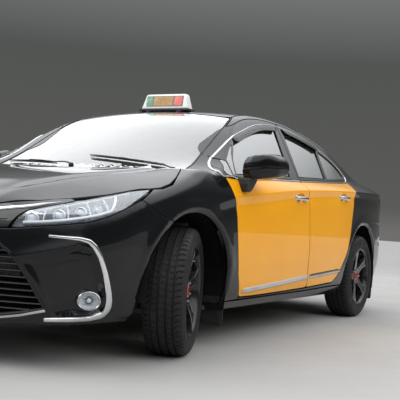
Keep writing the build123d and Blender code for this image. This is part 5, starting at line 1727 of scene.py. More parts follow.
# ---------------------------------------------------------------- wheels
def tyre_part():
    half = [(-86, 203), (-90, 207), (-93, 213), (-97, 222), (-100.5, 236), (-102.2, 252), (-102.4, 268), (-101.6, 270.5), (-101.8, 272), (-100.2, 280), (-98.4, 287), (-95.5, 294), (-92, 299.5), (-88, 304)]
    prof = list(half)
    tread = [(-84, 307.0), (-78, 310.2), (-70, 312.8), (-62, 314.2), (-57, 314.8), (-55.8, 307.5), (-48.2, 307.5), (-47, 315.2), (-36, 315.7), (-25, 315.9), (-23.6, 308.0), (-14.4, 308.0), (-13, 316), (0, 316)]
    prof += tread + [(-w, r) for w, r in reversed(tread[:-1])] + [(-w, r) for w, r in reversed(half)]
    pr = np.array(prof, float)
    pitches, per = 66, 5
    n = pitches * per
    ang = np.arange(n) * 2 * pi / n
    k = len(pr)
    cutr = np.zeros((n, k))
    for i in range(n):
        ph = i % per
        for j, (w, r) in enumerate(pr):
            aw = abs(w)
            if r < 300:
                continue
            skew = int(round(aw / 26.0)) if aw > 55 else int(round(w / 14.0))
            p_ = (i + skew * (1 if w > 0 else -1)) % per
            if aw >= 57 and r > 303 and p_ in (0,):
                cutr[i, j] = 7.0 if aw < 86 else 3.6
            if 26 <= aw <= 46 and r > 312 and p_ in (2,):
                cutr[i, j] = 5.5
            if aw <= 12 and r > 312 and (i + int(w > 0)) % per == 3:
                cutr[i, j] = 4.5
    r = pr[None, :, 1] - cutr
    # the side wall between radius 236 and 262 is set back to its profile radius, which it already has, so no bars are
    # raised
    for i in range(n):
        for j, (w, rr) in enumerate(pr):
            if 236 < rr < 262 and (i // 5) % 11 in (0, 5):
                r[i, j] = rr
    w = np.broadcast_to(pr[None, :, 0], (n, k))
    v = np.stack([np.cos(ang)[:, None] * r, w, np.sin(ang)[:, None] * r], -1).reshape(-1, 3)
    f = []
    for i in range(n):
        j = (i + 1) % n
        for q in range(k - 1):
            f.append((i * k + q, j * k + q, j * k + q + 1, i * k + q + 1))
    o = Part()
    o.add(v, f)
    for w_, r_ in ((-100.4, 226.5), (-102.3, 243.0), (-101.3, 276.5), (100.4, 226.5), (102.3, 243.0), (101.3, 276.5)):
        a_ = np.linspace(0, 2 * pi, 72, endpoint=False)
        o.extend(tube(np.stack([np.cos(a_) * r_, 0 * a_ + w_, np.sin(a_) * r_], 1), 1.1, 4, closed=True))
    return o


def rim_part():
    o = Part()
    barrel = [(-94, 214), (-96, 213.5), (-97, 210), (-95.5, 205), (-90, 201.5), (-82, 199), (-70, 197), (-52, 190), (10, 189), (40, 191), (62, 194), (80, 198), (88, 201), (93, 205), (96, 210),
              (96, 213), (94, 214.5), (91, 213.5), (88.5, 209), (84, 204.5), (70, 202), (48, 200.5), (-52, 200.5), (-84, 205), (-92, 213), (-94, 214)]
    o.extend(lathe(barrel, (0, 0, 0), 'x', 96), 0)
    lip = [(88.5, 206), (93.6, 207.4), (96.4, 210.2), (96.6, 212.6), (95.2, 214.6)]
    o.extend(lathe(lip, (0, 0.25, 0), 'x', 96), 0)
    hub = [(6, 66), (40, 66), (58, 62), (66, 56), (68, 48), (66, 36), (62, 31), (62, 0.2)]
    o.extend(lathe(hub, (0, 0, 0), 'x', 60), 0)
    cap = [(60, 29.5), (69, 29), (72.5, 25), (74.5, 14), (75, 0.2)]
    o.extend(lathe(cap, (0, 0, 0), 'x', 48), 0)
    o.extend(lathe([(66.0, 31.6), (70.6, 30.8), (72.6, 28.2), (71.0, 26.6)], (0, 0, 0), 'x', 48), 4)
    for k_ in range(5):
        a0 = k_ * 72.0
        out_, tag_ = loop2([(34, -25, 0), (70, -29, 20), (112, -20, 60), (150, -23, 60), (198, -41, 4), (198, 41, 4), (150, 23, 60), (112, 20, 60), (70, 29, 20), (34, 25, 0)], step=12.0)
        sp = slab(out_, 'x', 26.0, 60.0, 3.4, 0, 2)

        def bend(p):
            r_ = np.hypot(p[:, 0], p[:, 2])
            crown = 7.0 * (1 - np.clip(np.abs(p[:, 2]) / 32.0, 0, 1) ** 2)
            front = step(p[:, 1], 40, 58)
            lift = np.interp(r_, [30, 70, 112, 160, 200], [2, 4, 12, 20, 26])
            return np.stack([p[:, 0], p[:, 1] + lift + crown * front * 0.0 - 4.0 * front * (np.abs(p[:, 2]) < 12) * step(r_, 78, 96) * step(-r_, -186, -168), p[:, 2]], 1)
        sp = sp.moved(bend)
        # the pressed channel and the bright edges
        for sg in (-1, 1):
            e_, _ = loop2([(66, sg * 27.5, 20), (112, sg * 19.0, 60), (150, sg * 22.0, 60), (197, sg * 39.5, 4)], step=6.0, closed=False)
            r_ = np.hypot(e_[:, 0], e_[:, 1])
            lift = np.interp(r_, [30, 70, 112, 160, 200], [2, 4, 12, 20, 26])
            path = np.stack([e_[:, 0], 59.2 + lift, e_[:, 1]], 1)
            sp.extend(tube(path, np.interp(r_, [66, 100, 200], [0.8, 1.7, 2.1]), 6), 1)
        ch, _ = loop2([(84, -7, 6), (120, -6, 40), (184, -20, 8), (184, 20, 8), (120, 6, 40), (84, 7, 6)], step=7.0)
        chs = slab(ch, 'x', 54.0, 59.0, 1.2, 0, 1).moved(lambda p: np.stack([p[:, 0], p[:, 1] + np.interp(np.hypot(p[:, 0], p[:, 2]), [30, 70, 112, 160, 200], [2, 4, 12, 20, 26]) + 2.0, p[:, 2]], 1))
        sp.extend(chs, 0)
        c_, s_ = cos(radians(a0)), sin(radians(a0))
        o.extend(sp.moved(lambda p: np.stack([p[:, 0] * c_ - p[:, 2] * s_, p[:, 1], p[:, 0] * s_ + p[:, 2] * c_], 1)), None)
        a1 = radians(a0 + 36.0)
        cx, cz = 48 * cos(a1), 48 * sin(a1)
        o.extend(lathe([(60, 9.5), (66.6, 9.5), (66.8, 12.5), (65.8, 13.5)], (cx, 0, cz), 'x', 24), 0)
        o.extend(lathe([(52, 7.5), (72, 7.5), (75, 6.2), (76, 3), (76.2, 0.1)], (cx, 0, cz), 'x', 6), 2)
    o.extend(lathe([(58, 3.2), (86, 3.2), (90, 3.0), (92, 1.8), (92.2, 0.1)], (176 * cos(radians(36)), -14, 176 * sin(radians(36))), 'x', 12), 2)
    disc = [(-6, 60), (-6, 137), (-5, 138.5), (15, 138.5), (16, 137), (16, 78), (20, 76), (26, 74), (26, 60)]
    o.extend(lathe(disc, (0, 0, 0), 'x', 72), 3)
    for r_ in (86, 94, 102, 110, 118, 126, 133):
        o.extend(lathe([(15.9, r_ - 1.0), (16.6, r_), (15.9, r_ + 1.0)], (0, 0, 0), 'x', 60), 3)
    return o


def set_wheel(part, side, rear, phase):
    """Turns a wheel built at the origin (outer face towards +x) into place."""
    p = turned(part, (0, 0, 0), (1, 0, 0), phase)
    if side < 0:
        p = p.mirrored()
    if rear:
        return moved(p, AXLE_REAR, side * 772.0, TYRE_R)
    p = moved(p, 0, side * 65.5, 0)
    p = turned(p, (0, 0, 0), (0, 0, 1), 20.0)
    return moved(p, AXLE_FRONT, side * 700.0, TYRE_R)


TYRE, RIM = tyre_part(), rim_part()
for pos, side, rear, phase in (("front_left", 1, False, 20.0), ("front_right", -1, False, 50.0), ("rear_left", 1, True, 34.6), ("rear_right", -1, True, 65.0)):
    emit(f"tyre_{pos}_tread", set_wheel(TYRE, side, rear, phase), f"wheel_{pos}", ["tyre_rubber"], (f"tyre_{pos}",), smooth=32.0)
    emit(f"rim_{pos}_spokes", set_wheel(RIM, side, rear, phase), f"wheel_{pos}", ["wheel_black", "wheel_edge", "satin_chrome", "disc_steel", "caliper_red"], (f"rim_{pos}",), smooth=38.0)


def caliper(a_mid=0.0, span=27.0):
    o = Part()
    a_ = np.radians(np.linspace(a_mid - span, a_mid + span, 15))
    outline = [(174 * cos(t), 174 * sin(t)) for t in a_] + [(119 * cos(t), 119 * sin(t)) for t in a_[::-1]]
    o.extend(slab(outline, 'x', 22.0, 40.0, 5.0, 0, 3))
    o.extend(slab(outline, 'x', -22.0, -10.0, 3.0, 0, 2))
    a2 = np.radians(np.linspace(a_mid - span, a_mid + span, 15))
    bridge = [(177 * cos(t), 177 * sin(t)) for t in a2] + [(144 * cos(t), 144 * sin(t)) for t in a2[::-1]]
    o.extend(slab(bridge, 'x', -20.0, 40.0, 4.0, 0, 2))
    for d_ in (-13, 13):
        t = radians(a_mid + d_)
        o.extend(lathe([(38, 13), (41.5, 12.5), (42.5, 10), (42.5, 0.2)], (147 * cos(t), 0, 147 * sin(t)), 'x', 24), 0)
    return o


CAL = caliper()
emit("caliper_rear_left", moved(CAL, AXLE_REAR, 767.0, TYRE_R), "root", ["caliper_red"], ("rear_calipers",))
emit("caliper_rear_right", moved(CAL.mirrored(), AXLE_REAR, -767.0, TYRE_R), "root", ["caliper_red"])
for side, nm in ((1, "left"), (-1, "right")):
    c_ = caliper(0.0)
    c_ = c_ if side > 0 else c_.mirrored()
    c_ = moved(turned(moved(c_, 0, side * 61.5, 0), (0, 0, 0), (0, 0, 1), 20.0), AXLE_FRONT, side * 700.0, TYRE_R)
    emit(f"caliper_front_{nm}", c_, f"knuckle_front_{nm}", ["caliper_red"])


# ---------------------------------------------------------------- wheel arch liners and mud flaps
def liner(axle, r=404.0, x_in=585.0, x_out=868.0, a0=-12.0, a1=196.0, low=250.0):
    """A pressed shell over the wheel with ribs."""
    n, m = 96, 22
    ang = np.radians(np.linspace(a0, a1, n))
    xs = np.linspace(x_in, x_out, m)
    A, X = np.meshgrid(ang, xs, indexing='ij')
    rib = 4.0 * (np.sin(A * 26) > 0.55) * step(X, x_in + 30, x_in + 60) * (1 - step(X, x_out - 60, x_out - 30))
    edge = -10.0 * step(X, x_out - 26, x_out)
    R = r + edge - rib
    v = np.stack([axle - np.cos(A) * R, X, TYRE_R + np.sin(A) * R], -1).reshape(-1, 3)
    f = [(i * m + j, i * m + j + 1, (i + 1) * m + j + 1, (i + 1) * m + j) for i in range(n - 1) for j in range(m - 1)]
    o = Part()
    o.add(v, f)
    # inner wall
    k = len(v)
    c = np.stack([axle - np.cos(ang) * low, 0 * ang + x_in - 4, TYRE_R + np.sin(ang) * low], 1)
    b = v.reshape(n, m, 3)[:, 0]
    w = np.concatenate([b, c])
    o.add(w, [(i, n + i, n + i + 1, i + 1) for i in range(n - 1)])
    for t in np.linspace(a0 + 14, a1 - 14, 9):
        t = radians(t)
        o.extend(turned_at([(-3, 9), (1.5, 8.5), (2.5, 5), (2.6, 0.2)], (axle - cos(t) * (r - 6), x_out - 46, TYRE_R + sin(t) * (r - 6)), (cos(t), 0, -sin(t)), 16))
    return o


both("arch_liner_front", liner(AXLE_FRONT, 402.0, 585.0, 860.0, -4.0, 196.0, 346.0), ["root", "root"], ["liner_felt"], (("arch_liners",), ()))
both("arch_liner_rear", liner(AXLE_REAR, 402.0, 600.0, 858.0, -10.0, 196.0), ["root", "root"], ["liner_felt"])


def flap(s0, z0, z1, x0, x1):
    q, _ = loop2([(x0, z0, 14), (x1, z0, 20), (x1 + 2, z1, 6), (x0 + 18, z1, 6)], step=8.0)
    o = slab(q, 's', s0, s0 + 5.0, 1.6, 0, 2)
    for z_ in (z1 - 22, z1 - 70):
        for x_ in (x0 + 40, x1 - 34):
            o.extend(turned_at([(0, 9), (2.4, 8.4), (3.4, 5), (3.5, 0.2)], (s0, x_, z_), (-1, 0, 0), 14))
    o.extend(box((s0 - 1.6, x0 + 26, z0 + 12), (s0 + 1, x1 - 16, z0 + 15), 0.8))
    return o


both("mud_flap_front", flap(1334.0, 118.0, 272.0, 690.0, 848.0), ["root", "root"], ["black_trim"], (("mud_flaps",), ()))
both("mud_flap_rear", flap(4018.0, 118.0, 300.0, 700.0, 852.0), ["root", "root"], ["black_trim"])


# ---------------------------------------------------------------- cowl, sail panel, bright lines round the side glass
cw, _ = loop2(full([(1083, 0, 0), (1083, 400, 200), (1080, 648, 10), (1163, 648, 10), (1146, 560, 120), (1129, 300, 300), (1123, 0, 0)]), step=9.0)
cowl_lines = []


def cowl_relief(p):
    slot = (np.abs(p[:, 1]) < 560) & (p[:, 0] < 1118)
    return 12.0 + 3.2 * slot * (np.sin(p[:, 1] / 3.6) > 0.2)


cowl = panel(TOP, cw, g=8.0, r=1.6, gap=0.0, flange=26.0, relief=cowl_relief)
emit("cowl_panel", cowl, "root", ["black_trim"])

sail3 = [(1281, 738, 969, 8), (1310, 715, 985, 20), (1347, 708, 1007, 6), (1361, 700, 1013, 3), (1362, 845, 906, 3), (1259, 853, 904.5, 3), (1262, 800, 935, 20)]
su, _ = loop3(sail3)
sail = panel(SIDE, su, g=9.0, r=1.6, gap=0.8, flange=16.0, offset=-1.0)
both("sail_panel", sail, ["root", "root"], ["gloss_black"])


def side_line(rows, r=60.0, step_=8.0):
    q, _ = loop2([(a, b, r) for a, b in rows], step=step_, closed=False)
    return on_side(q)


corner_line = skin_line(FENDER, [(1362, 704, 1014), (1309, 722, 984), (1264, 752, 960), (1226, 790, 940), (1207, 832, 925), (1236, 853, 915), (1290, 853, 909)], 14.0, 6.0)
wl = np.interp(np.linspace(0, 1, len(corner_line)), [0, 0.25, 0.6, 1.0], [6.5, 8.0, 7.0, 5.0])
both("glass_line_corner", strip(corner_line, wl, wl, 5.0, sink=6.0), ["root", "root"], ["chrome"])
both("glass_line_corner_low", strip(side_line([(1262, 911.0), (1310, 911.0), (1356, 911.0)]), 5.0, 5.0, 4.5, sink=4.0), ["root", "root"], ["chrome"])
sg, _ = uv_loop(SIDE, np.array([(1357, 750, 996), (1312, 795, 966), (1276, 828, 936), (1300, 843, 922), (1357, 847, 917)], float), [4, 30, 8, 6, 4])
qp, _ = loop2([(1374, 1004, 5), (1414, 1029, 60), (1478, 1070, 60), (1534, 1104, 5), (1471, 1048, 60), (1425, 977, 60), (1392, 928, 5), (1373, 924, 5)], step=7.0)
both("quarter_pane_front", panel(SIDE, on_side(qp), g=8.0, r=0.8, gap=0.0, flange=3.0, offset=1.6), ["door_front_left", "door_front_right"], ["glass_side"])
both("sail_pane", panel(SIDE, sg, g=9.0, r=0.8, gap=0.0, flange=3.0, offset=2.0), ["root", "root"], ["glass_side"])
tl_f = skin_line(SIDE, [(1366, 706, 1016), (1451, 703, 1066), (1553, 699, 1127), (1619, 695, 1161), (1720, 680, 1194), (1820, 663, 1222), (1950, 640, 1260), (2081, 620, 1291), (2220, 606, 1313), (2359, 599, 1326), (2478, 597, 1331)], 200.0, 8.0)
wt_ = np.interp(np.linspace(0, 1, len(tl_f)), [0, 0.2, 0.3, 1], [7.5, 6.5, 3.6, 3.0])
both("glass_line_front", strip(tl_f, wt_, wt_, 4.0, sink=2.0), ["door_front_left", "door_front_right"], ["chrome"])
bl_f = side_line([(s_, float(BELT(s_)) + 3.0) for s_ in np.linspace(1364, 2385, 28)])
both("belt_line_front", strip(bl_f, 5.5, 5.5, 4.5, sink=2.0), ["door_front_left", "door_front_right"], ["chrome"])
rl_pts = [(s_, float(BELT(s_)) + 3.0) for s_ in np.linspace(2398, 3380, 26)] + [(3440, 1030.0), (3500, 1054.0), (3514, 1070.0), (3508, 1088.0)] + \
    [(s_, float(GLASS_LINE(s_))) for s_ in np.linspace(3490, 2496, 26)]
both("belt_line_rear", strip(side_line(rl_pts, 20.0), 4.2, 4.2, 4.0, sink=2.0), ["door_rear_left", "door_rear_right"], ["chrome"])
# black felt lip under the glass, inside of the bright line
both("glass_lip_front", strip(side_line([(s_, float(BELT(s_)) + 13.0) for s_ in np.linspace(1400, 2258, 24)]), 4.0, 4.0, 3.0, sink=8.0), ["door_front_left", "door_front_right"], ["rubber_seal"])
both("glass_lip_rear", strip(side_line([(s_, float(BELT(s_)) + 13.0) for s_ in np.linspace(2412, 3380, 24)]), 4.0, 4.0, 3.0, sink=8.0), ["door_rear_left", "door_rear_right"], ["rubber_seal"])


def visor(a, b, drop_top, drop_low):
    """A smoked wind deflector standing off the upper edge of a door window."""
    ss = np.linspace(a, b, 44)
    end = np.clip(np.minimum(ss - a, b - ss) / 46.0, 0.0, 1.0) ** 0.6
    rows_ = []
    for t_, off in ((0.0, 3.0), (0.12, 9.0), (0.3, 13.0), (0.65, 15.0), (1.0, 15.5), (1.0, 13.0), (0.6, 12.0), (0.3, 10.0), (0.1, 4.0)):
        z_ = GLASS_LINE(ss) - (drop_top + (drop_low - drop_top) * t_ * (0.35 + 0.65 * end))
        p_ = on_side(np.stack([ss, z_], 1))
        n_ = normal(p_[:, 0], p_[:, 1], p_[:, 2])
        rows_.append(p_ + n_ * off * (0.45 + 0.55 * end)[:, None])
    v_ = np.stack(rows_, 1)
    m_, k_ = v_.shape[:2]
    f_ = [(i * k_ + j, i * k_ + (j + 1) % k_, (i + 1) * k_ + (j + 1) % k_, (i + 1) * k_ + j) for i in range(m_ - 1) for j in range(k_)]
    f_ += [tuple(range(k_)), tuple((m_ - 1) * k_ + j for j in reversed(range(k_)))]
    o_ = Part()
    o_.add(v_.reshape(-1, 3), f_)
    return o_


both("wind_deflector_front", visor(1606.0, 2430.0, 3.0, 44.0), ["door_front_left", "door_front_right"], ["visor_smoke"])
both("wind_deflector_rear", visor(2540.0, 3110.0, 3.0, 42.0), ["door_rear_left", "door_rear_right"], ["visor_smoke"])

# bright strips low on the doors, roof seam strips
for nm, a_, b_ in (("front", 1530.0, 2500.0), ("rear", 2524.0, 3120.0)):
    ss = np.linspace(a_, b_, 80)
    zz = np.interp(ss, [1511, 1982, 2509, 3143], [290, 312, 341, 369])
    end_ = np.clip(np.minimum(ss - a_ + 6, b_ + 6 - ss) / 40.0, 0.25, 1)
    ln = on_side(np.stack([ss, zz], 1))
    both(f"side_strip_{nm}", strip(ln, 7.0 * end_, 7.0 * end_, 7.0, sink=2.0), [f"door_{nm}_left", f"door_{nm}_right"], ["grey_strip"])
    ln = on_side(np.stack([ss, zz + 13.0], 1))
    both(f"side_guard_{nm}", strip(ln, 7.0 * end_, 7.0 * end_, 4.0, sink=2.0), [f"door_{nm}_left", f"door_{nm}_right"], ["gloss_black" if nm == "rear" else "silver_paint"])
# A near-black tube set into the shut line behind the front door: painted shade inside the gap between the doors.
gl_, _ = loop2([(2390, 958), (2402, 905, 120), (2426, 800, 120), (2438, 720, 160), (2452, 604, 200), (2476, 420, 200), (2522, 278)], closed=False)
gp_ = on_side(gl_)
both("door_gap_seal", tube(gp_ - normal(*gp_.T) * 6.5, 4.6, 8), ["door_front_left", "door_front_right"], ["void_black"])
seam_l, _ = loop2([(1900, 558), (2000, 560, 100), (2600, 564, 400), (3200, 558, 300), (3372, 552)], closed=False)
both("roof_seam", strip(TOP.point(seam_l), 5.0, 5.0, 2.0, sink=6.0), ["root", "root"], ["rubber_seal"])
for nm, rows_ in (("screen", [(1172, 653), (1262, 652), (1369, 634), (1575, 611), (1720, 596), (1846, 570)]), ("backlight", [(3400, 545), (3560, 551), (3760, 563), (3925, 574)])):
    l_, _ = loop2([(a, b, 80) for a, b in rows_], closed=False)
    both(f"{nm}_edge", strip(TOP.point(l_), 4.5, 4.5, 2.4, sink=6.0), ["root", "root"], ["rubber_seal"])


# ---------------------------------------------------------------- wipers
def wiper(pivot, tip, centre, half):
    """Arm from the pivot to the blade; points as (s, x) on the glass."""
    o_ = Part()

    def up(q, h_):
        p_ = TOP.point(np.asarray(q, float))
        return p_ + normal(p_[:, 0], p_[:, 1], p_[:, 2]) * h_
    pv = up([pivot], 6.0)[0]
    o_.extend(turned_at([(-22, 15), (2, 15), (8, 13), (12, 8), (12.5, 0.2)], pv, (-0.35, 0, 0.94), 28))
    line_ = np.linspace(pivot, tip, 24)
    h_ = np.interp(np.linspace(0, 1, 24), [0, 0.15, 0.6, 1.0], [14, 24, 22, 17])
    w_ = np.interp(np.linspace(0, 1, 24), [0, 0.2, 0.7, 1.0], [10, 9, 6, 4.5])
    path_ = up(line_, 0.0) + normal(*up(line_, 0.0).T) * h_[:, None]
    o_.extend(tube(path_, w_, 8, flat=(1.0, 0.42)))
    a_, b_ = np.asarray(centre[0], float), np.asarray(centre[1], float)
    bl_ = np.linspace(a_, b_, 40)
    o_.extend(tube(up(bl_, 12.0), np.interp(np.linspace(0, 1, 40), [0, 0.1, 0.5, 0.9, 1], [3, 6, 7.5, 6, 3]), 8, flat=(1.0, 0.7)))
    o_.extend(tube(up(bl_, 4.0), 2.6, 6), mat=0)
    return o_


wip = wiper((1150.0, 596.0), (1228.0, 210.0), ((1196.0, 520.0), (1252.0, -20.0)), 1)
wip.extend(wiper((1128.0, -60.0), (1198.0, -420.0), ((1166.0, -190.0), (1212.0, -590.0)), 1))
emit("wipers", wip, "root", ["black_trim"])


# ---------------------------------------------------------------- door mirrors
def mirror_part():
    plan, _ = loop2([(1398, 884, 24), (1440, 868, 18), (1562, 902, 16), (1652, 1036, 14), (1640, 1056, 26), (1520, 1042, 90), (1424, 985, 80), (1396, 930, 40)], step=6.0)
    plan = np.array(plan)
    if area2(plan) < 0:
        plan = plan[::-1]
    levels = 26
    t = np.linspace(-1, 1, levels)
    rows_ = []
    for tv in t:
        d_ = 30.0 * (1 - sqrt(max(1 - abs(tv) ** 2.6, 0.0)))
        crease = 3.2 * np.exp(-((tv + 0.10) / 0.09) ** 2)
        q = inset(plan, np.full(len(plan), min(d_, 30.0) + 0.01))
        c_ = plan.mean(0)
        out_ = (q - c_) / np.maximum(np.linalg.norm(q - c_, axis=1, keepdims=True), 1e-6)
        q = q + out_ * crease
        s_, x_ = q[:, 0], q[:, 1]
        lo_ = np.interp(s_, [1390, 1430, 1560, 1655], [922, 909, 913, 926]) + 30.0 * (np.maximum(x_ - 945.0, 0.0) / 110.0) ** 1.7
        hi_ = np.interp(s_, [1390, 1440, 1600, 1655], [1012, 1044, 1062, 1048]) - 20.0 * (np.maximum(932.0 - x_, 0) / 50.0) ** 1.5 - 36.0 * (np.maximum(x_ - 998.0, 0) / 58.0) ** 1.4
        z_ = (lo_ + hi_) / 2 + (hi_ - lo_) / 2 * sin(tv * pi / 2 * 0.96) / sin(pi / 2 * 0.96)
        rows_.append(np.stack([s_, x_, z_], 1))
    v_ = np.stack(rows_, 0)
    m_, k_ = v_.shape[:2]
    f_ = [(i * k_ + j, i * k_ + (j + 1) % k_, (i + 1) * k_ + (j + 1) % k_, (i + 1) * k_ + j) for i in range(m_ - 1) for j in range(k_)]
    o_ = Part()
    top_c, low_c = rows_[-1].mean(0) + [0, 0, 0.6], rows_[0].mean(0) - [0, 0, 0.6]
    vv = np.concatenate([v_.reshape(-1, 3), [low_c, top_c]])
    nn = len(vv)
    f_ += [(nn - 2, (j + 1) % k_, j) for j in range(k_)] + [(nn - 1, (m_ - 1) * k_ + j, (m_ - 1) * k_ + (j + 1) % k_) for j in range(k_)]
    o_.add(vv, [tuple(reversed(t_)) for t_ in f_])
    return o_


MH = mirror_part()
both("mirror_shell", MH, ["door_front_left", "door_front_right"], ["gloss_black"], (("mirror_left",), ("mirror_right",)))
a_, b_ = np.array([1566.0, 910.0]), np.array([1646.0, 1026.0])
dirn = (b_ - a_) / np.linalg.norm(b_ - a_)
nrm_ = np.array([dirn[1], -dirn[0]])
if nrm_[0] < 0:
    nrm_ = -nrm_
mid_ = (a_ + b_) / 2
half_w = np.linalg.norm(b_ - a_) / 2
oq, _ = loop2([(-half_w, 938, 20), (half_w - 30, 944, 40), (half_w - 4, 970, 14), (half_w - 4, 1004, 14), (half_w - 34, 1028, 40), (-half_w + 6, 1034, 26)], step=6.0)


def mirror_slab(oq_, lo_, hi_, r_):
    sl_ = slab([(a, b) for a, b in oq_], 's', lo_, hi_, r_, 0, 1)
    return sl_.moved(lambda p: np.stack([mid_[0] + dirn[0] * p[:, 1] + nrm_[0] * p[:, 0], mid_[1] + dirn[1] * p[:, 1] + nrm_[1] * p[:, 0], p[:, 2]], 1))


oq2 = [(a * 1.06, 988 + (b - 988) * 1.10) for a, b in oq]
mg = Part()
mg.extend(mirror_slab(oq, 4.0, 8.0, 0.8), mat=0)
both("mirror_glass", mg, ["door_front_left", "door_front_right"], ["reflector"])
both("mirror_bezel", mirror_slab(oq2, -4.0, 5.5, 2.0), ["door_front_left", "door_front_right"], ["black_trim"])
foot_, _ = loop2([(1408, 838, 14), (1466, 842, 16), (1484, 880, 30), (1500, 922, 12), (1408, 918, 12), (1402, 880, 30)], step=7.0)
ft = slab([(a, b) for a, b in foot_], 'x', 848.0, 936.0, 9.0, 0, 3).moved(lambda p: np.stack([p[:, 0], p[:, 1] - 0.30 * np.maximum(0, 925 - p[:, 2]) + 0.0, p[:, 2]], 1))
both("mirror_foot", ft, ["door_front_left", "door_front_right"], ["black_trim"])
ml = [(1404, 898), (1398, 930), (1428, 984), (1520, 1040), (1600, 1052)]
sig, _ = loop2([(a, b, 40) for a, b in ml], step=6.0, closed=False)
sig3 = np.stack([sig[:, 0], sig[:, 1], np.full(len(sig), 983.0)], 1)
sn = np.gradient(sig3, axis=0)
sn = np.stack([-sn[:, 1], sn[:, 0], 0 * sn[:, 0]], 1)
sn /= np.linalg.norm(sn, axis=1, keepdims=True)
both("mirror_repeater", strip(sig3 + sn * 1.5, 3.2, 3.2, 3.2, n=sn, sink=6.0), ["door_front_left", "door_front_right"], ["lamp_smoke"])


# ---------------------------------------------------------------- door handles
def handle_part(s0, s1, z, lock):
    o_ = Part()
    base = on_side(np.array([[v, z] for v in np.linspace(s0, s1, 34)]))
    n_ = normal(base[:, 0], base[:, 1], base[:, 2])
    t_ = np.linspace(0, 1, 34)
    h_ = 27.0 * np.clip(np.sin(pi * np.clip(t_, 0.0, 1.0)) ** 0.34, 0, 1) - 3.0
    w_ = np.interp(t_, [0, 0.06, 0.5, 0.94, 1], [9, 13, 12.5, 13, 9])
    o_.extend(tube(base + n_ * h_[:, None], w_, 14, flat=(0.62, 1.0)), mat=0)
    for e_ in (s0 + 6, s1 - 6):
        o_.extend(placed_pad(e_, z, 22.0, 17.0), mat=0)
    if lock:
        c_ = on_side(np.array([[s1 - 10, z]]))
        nn_ = normal(*c_[0])
        o_.extend(turned_at([(2, 12), (6.5, 11.5), (8, 9), (7, 4.5), (5, 0.2)], c_[0] + np.array(nn_) * 2.0, nn_, 24), mat=0)
    return o_


def placed_pad(s_, z_, a_, b_):
    """A low oval foot on the skin."""
    c_ = on_side(np.array([[s_, z_]]))
    n_ = np.array(normal(c_[0, 0], c_[0, 1], c_[0, 2])).reshape(3)
    return turned_at([(-6, 1.0), (3, 1.0), (6, 0.86), (7.4, 0.5), (7.6, 0.02)], c_[0], n_, 36, (a_, b_))


for nm, s0, s1, z0, lk in (("front", 2190.0, 2372.0, 849.0, True), ("rear", 3026.0, 3206.0, 897.0, False)):
    both(f"door_pull_{nm}", handle_part(s0, s1, z0, lk), [f"door_{nm}_left", f"door_{nm}_right"], ["chrome"], ((f"door_handle_{nm}_left",), (f"door_handle_{nm}_right",)))

# ---------------------------------------------------------------- roof sign
SGN_DZ = -26.0


def sign_shape(x0, x1, s0, s1, z0, z1, x0t, x1t, s0t, s1t, r=10.0, mat=0, rows=12):
    """A tapered rounded housing."""
    o_ = []
    for i_, (cx_, cy_) in enumerate(((1, 1), (-1, 1), (-1, -1), (1, -1))):
        for a__ in np.linspace(i_ * 90, i_ * 90 + 90, 7):
            o_.append((cx_, cy_, cos(radians(a__)), sin(radians(a__))))
    P_ = []
    tt = [0.0, 0.0, 0.03, 0.08] + list(np.linspace(0.15, 0.85, 5)) + [0.90, 0.95, 0.985, 1.0]
    dd = [r, 3.0, 0.8, 0.0] + [0.0] * 5 + [0.5, 2.5, 5.5, r]
    for t_, d_ in zip(tt, dd):
        xa, xb = x0 + (x0t - x0) * t_, x1 + (x1t - x1) * t_
        sa, sb = s0 + (s0t - s0) * t_, s1 + (s1t - s1) * t_
        z_ = z0 + (z1 - z0) * t_
        row = []
        for cx_, cy_, ca, sa_ in o_:
            ex = (xb if cx_ > 0 else xa) - cx_ * (r + d_) + ca * r
            ey = (sb if cy_ > 0 else sa) - cy_ * (r + d_) + sa_ * r
            row.append((ey, ex, z_))
        P_.append(row)
    v_ = np.array(P_, float)
    m_, k_ = v_.shape[:2]
    f_ = [(i * k_ + (j + 1) % k_, i * k_ + j, (i + 1) * k_ + j, (i + 1) * k_ + (j + 1) % k_) for i in range(m_ - 1) for j in range(k_)]
    f_ += [tuple(range(k_)), tuple((m_ - 1) * k_ + j for j in reversed(range(k_)))]
    pt = Part()
    pt.add(v_.reshape(-1, 3), f_, None, mat)
    return pt


sign = sign_shape(-176, 176, 1984, 2062, 1414 + SGN_DZ, 1513 + SGN_DZ, -150, 150, 2002, 2050, 9.0)
emit("sign_housing", sign, "root", ["sign_white"], ("taxi_sign",))


def sign_face(x0, x1, z0, z1, lift, mat_, nm, slot_=None, back=False):
    """A flat coloured window on the sloping face."""
    q_, _ = loop2([(x0, z0, 3), (x1, z0, 3), (x1, z1, 3), (x0, z1, 3)], step=6.0)
    sl_ = slab([(a, b) for a, b in q_], 's', -2.0, lift, 0.8, 0, 1)
    zb, zt = 1414 + SGN_DZ, 1513 + SGN_DZ

    def place(p):
        k_ = (p[:, 2] - zb) / (zt - zb)
        if back:
            return np.stack([2062 - 12 * k_ + p[:, 0], -p[:, 1], p[:, 2]], 1)
        return np.stack([1984 + 18 * k_ - p[:, 0], p[:, 1], p[:, 2]], 1)
    return sl_.moved(place)


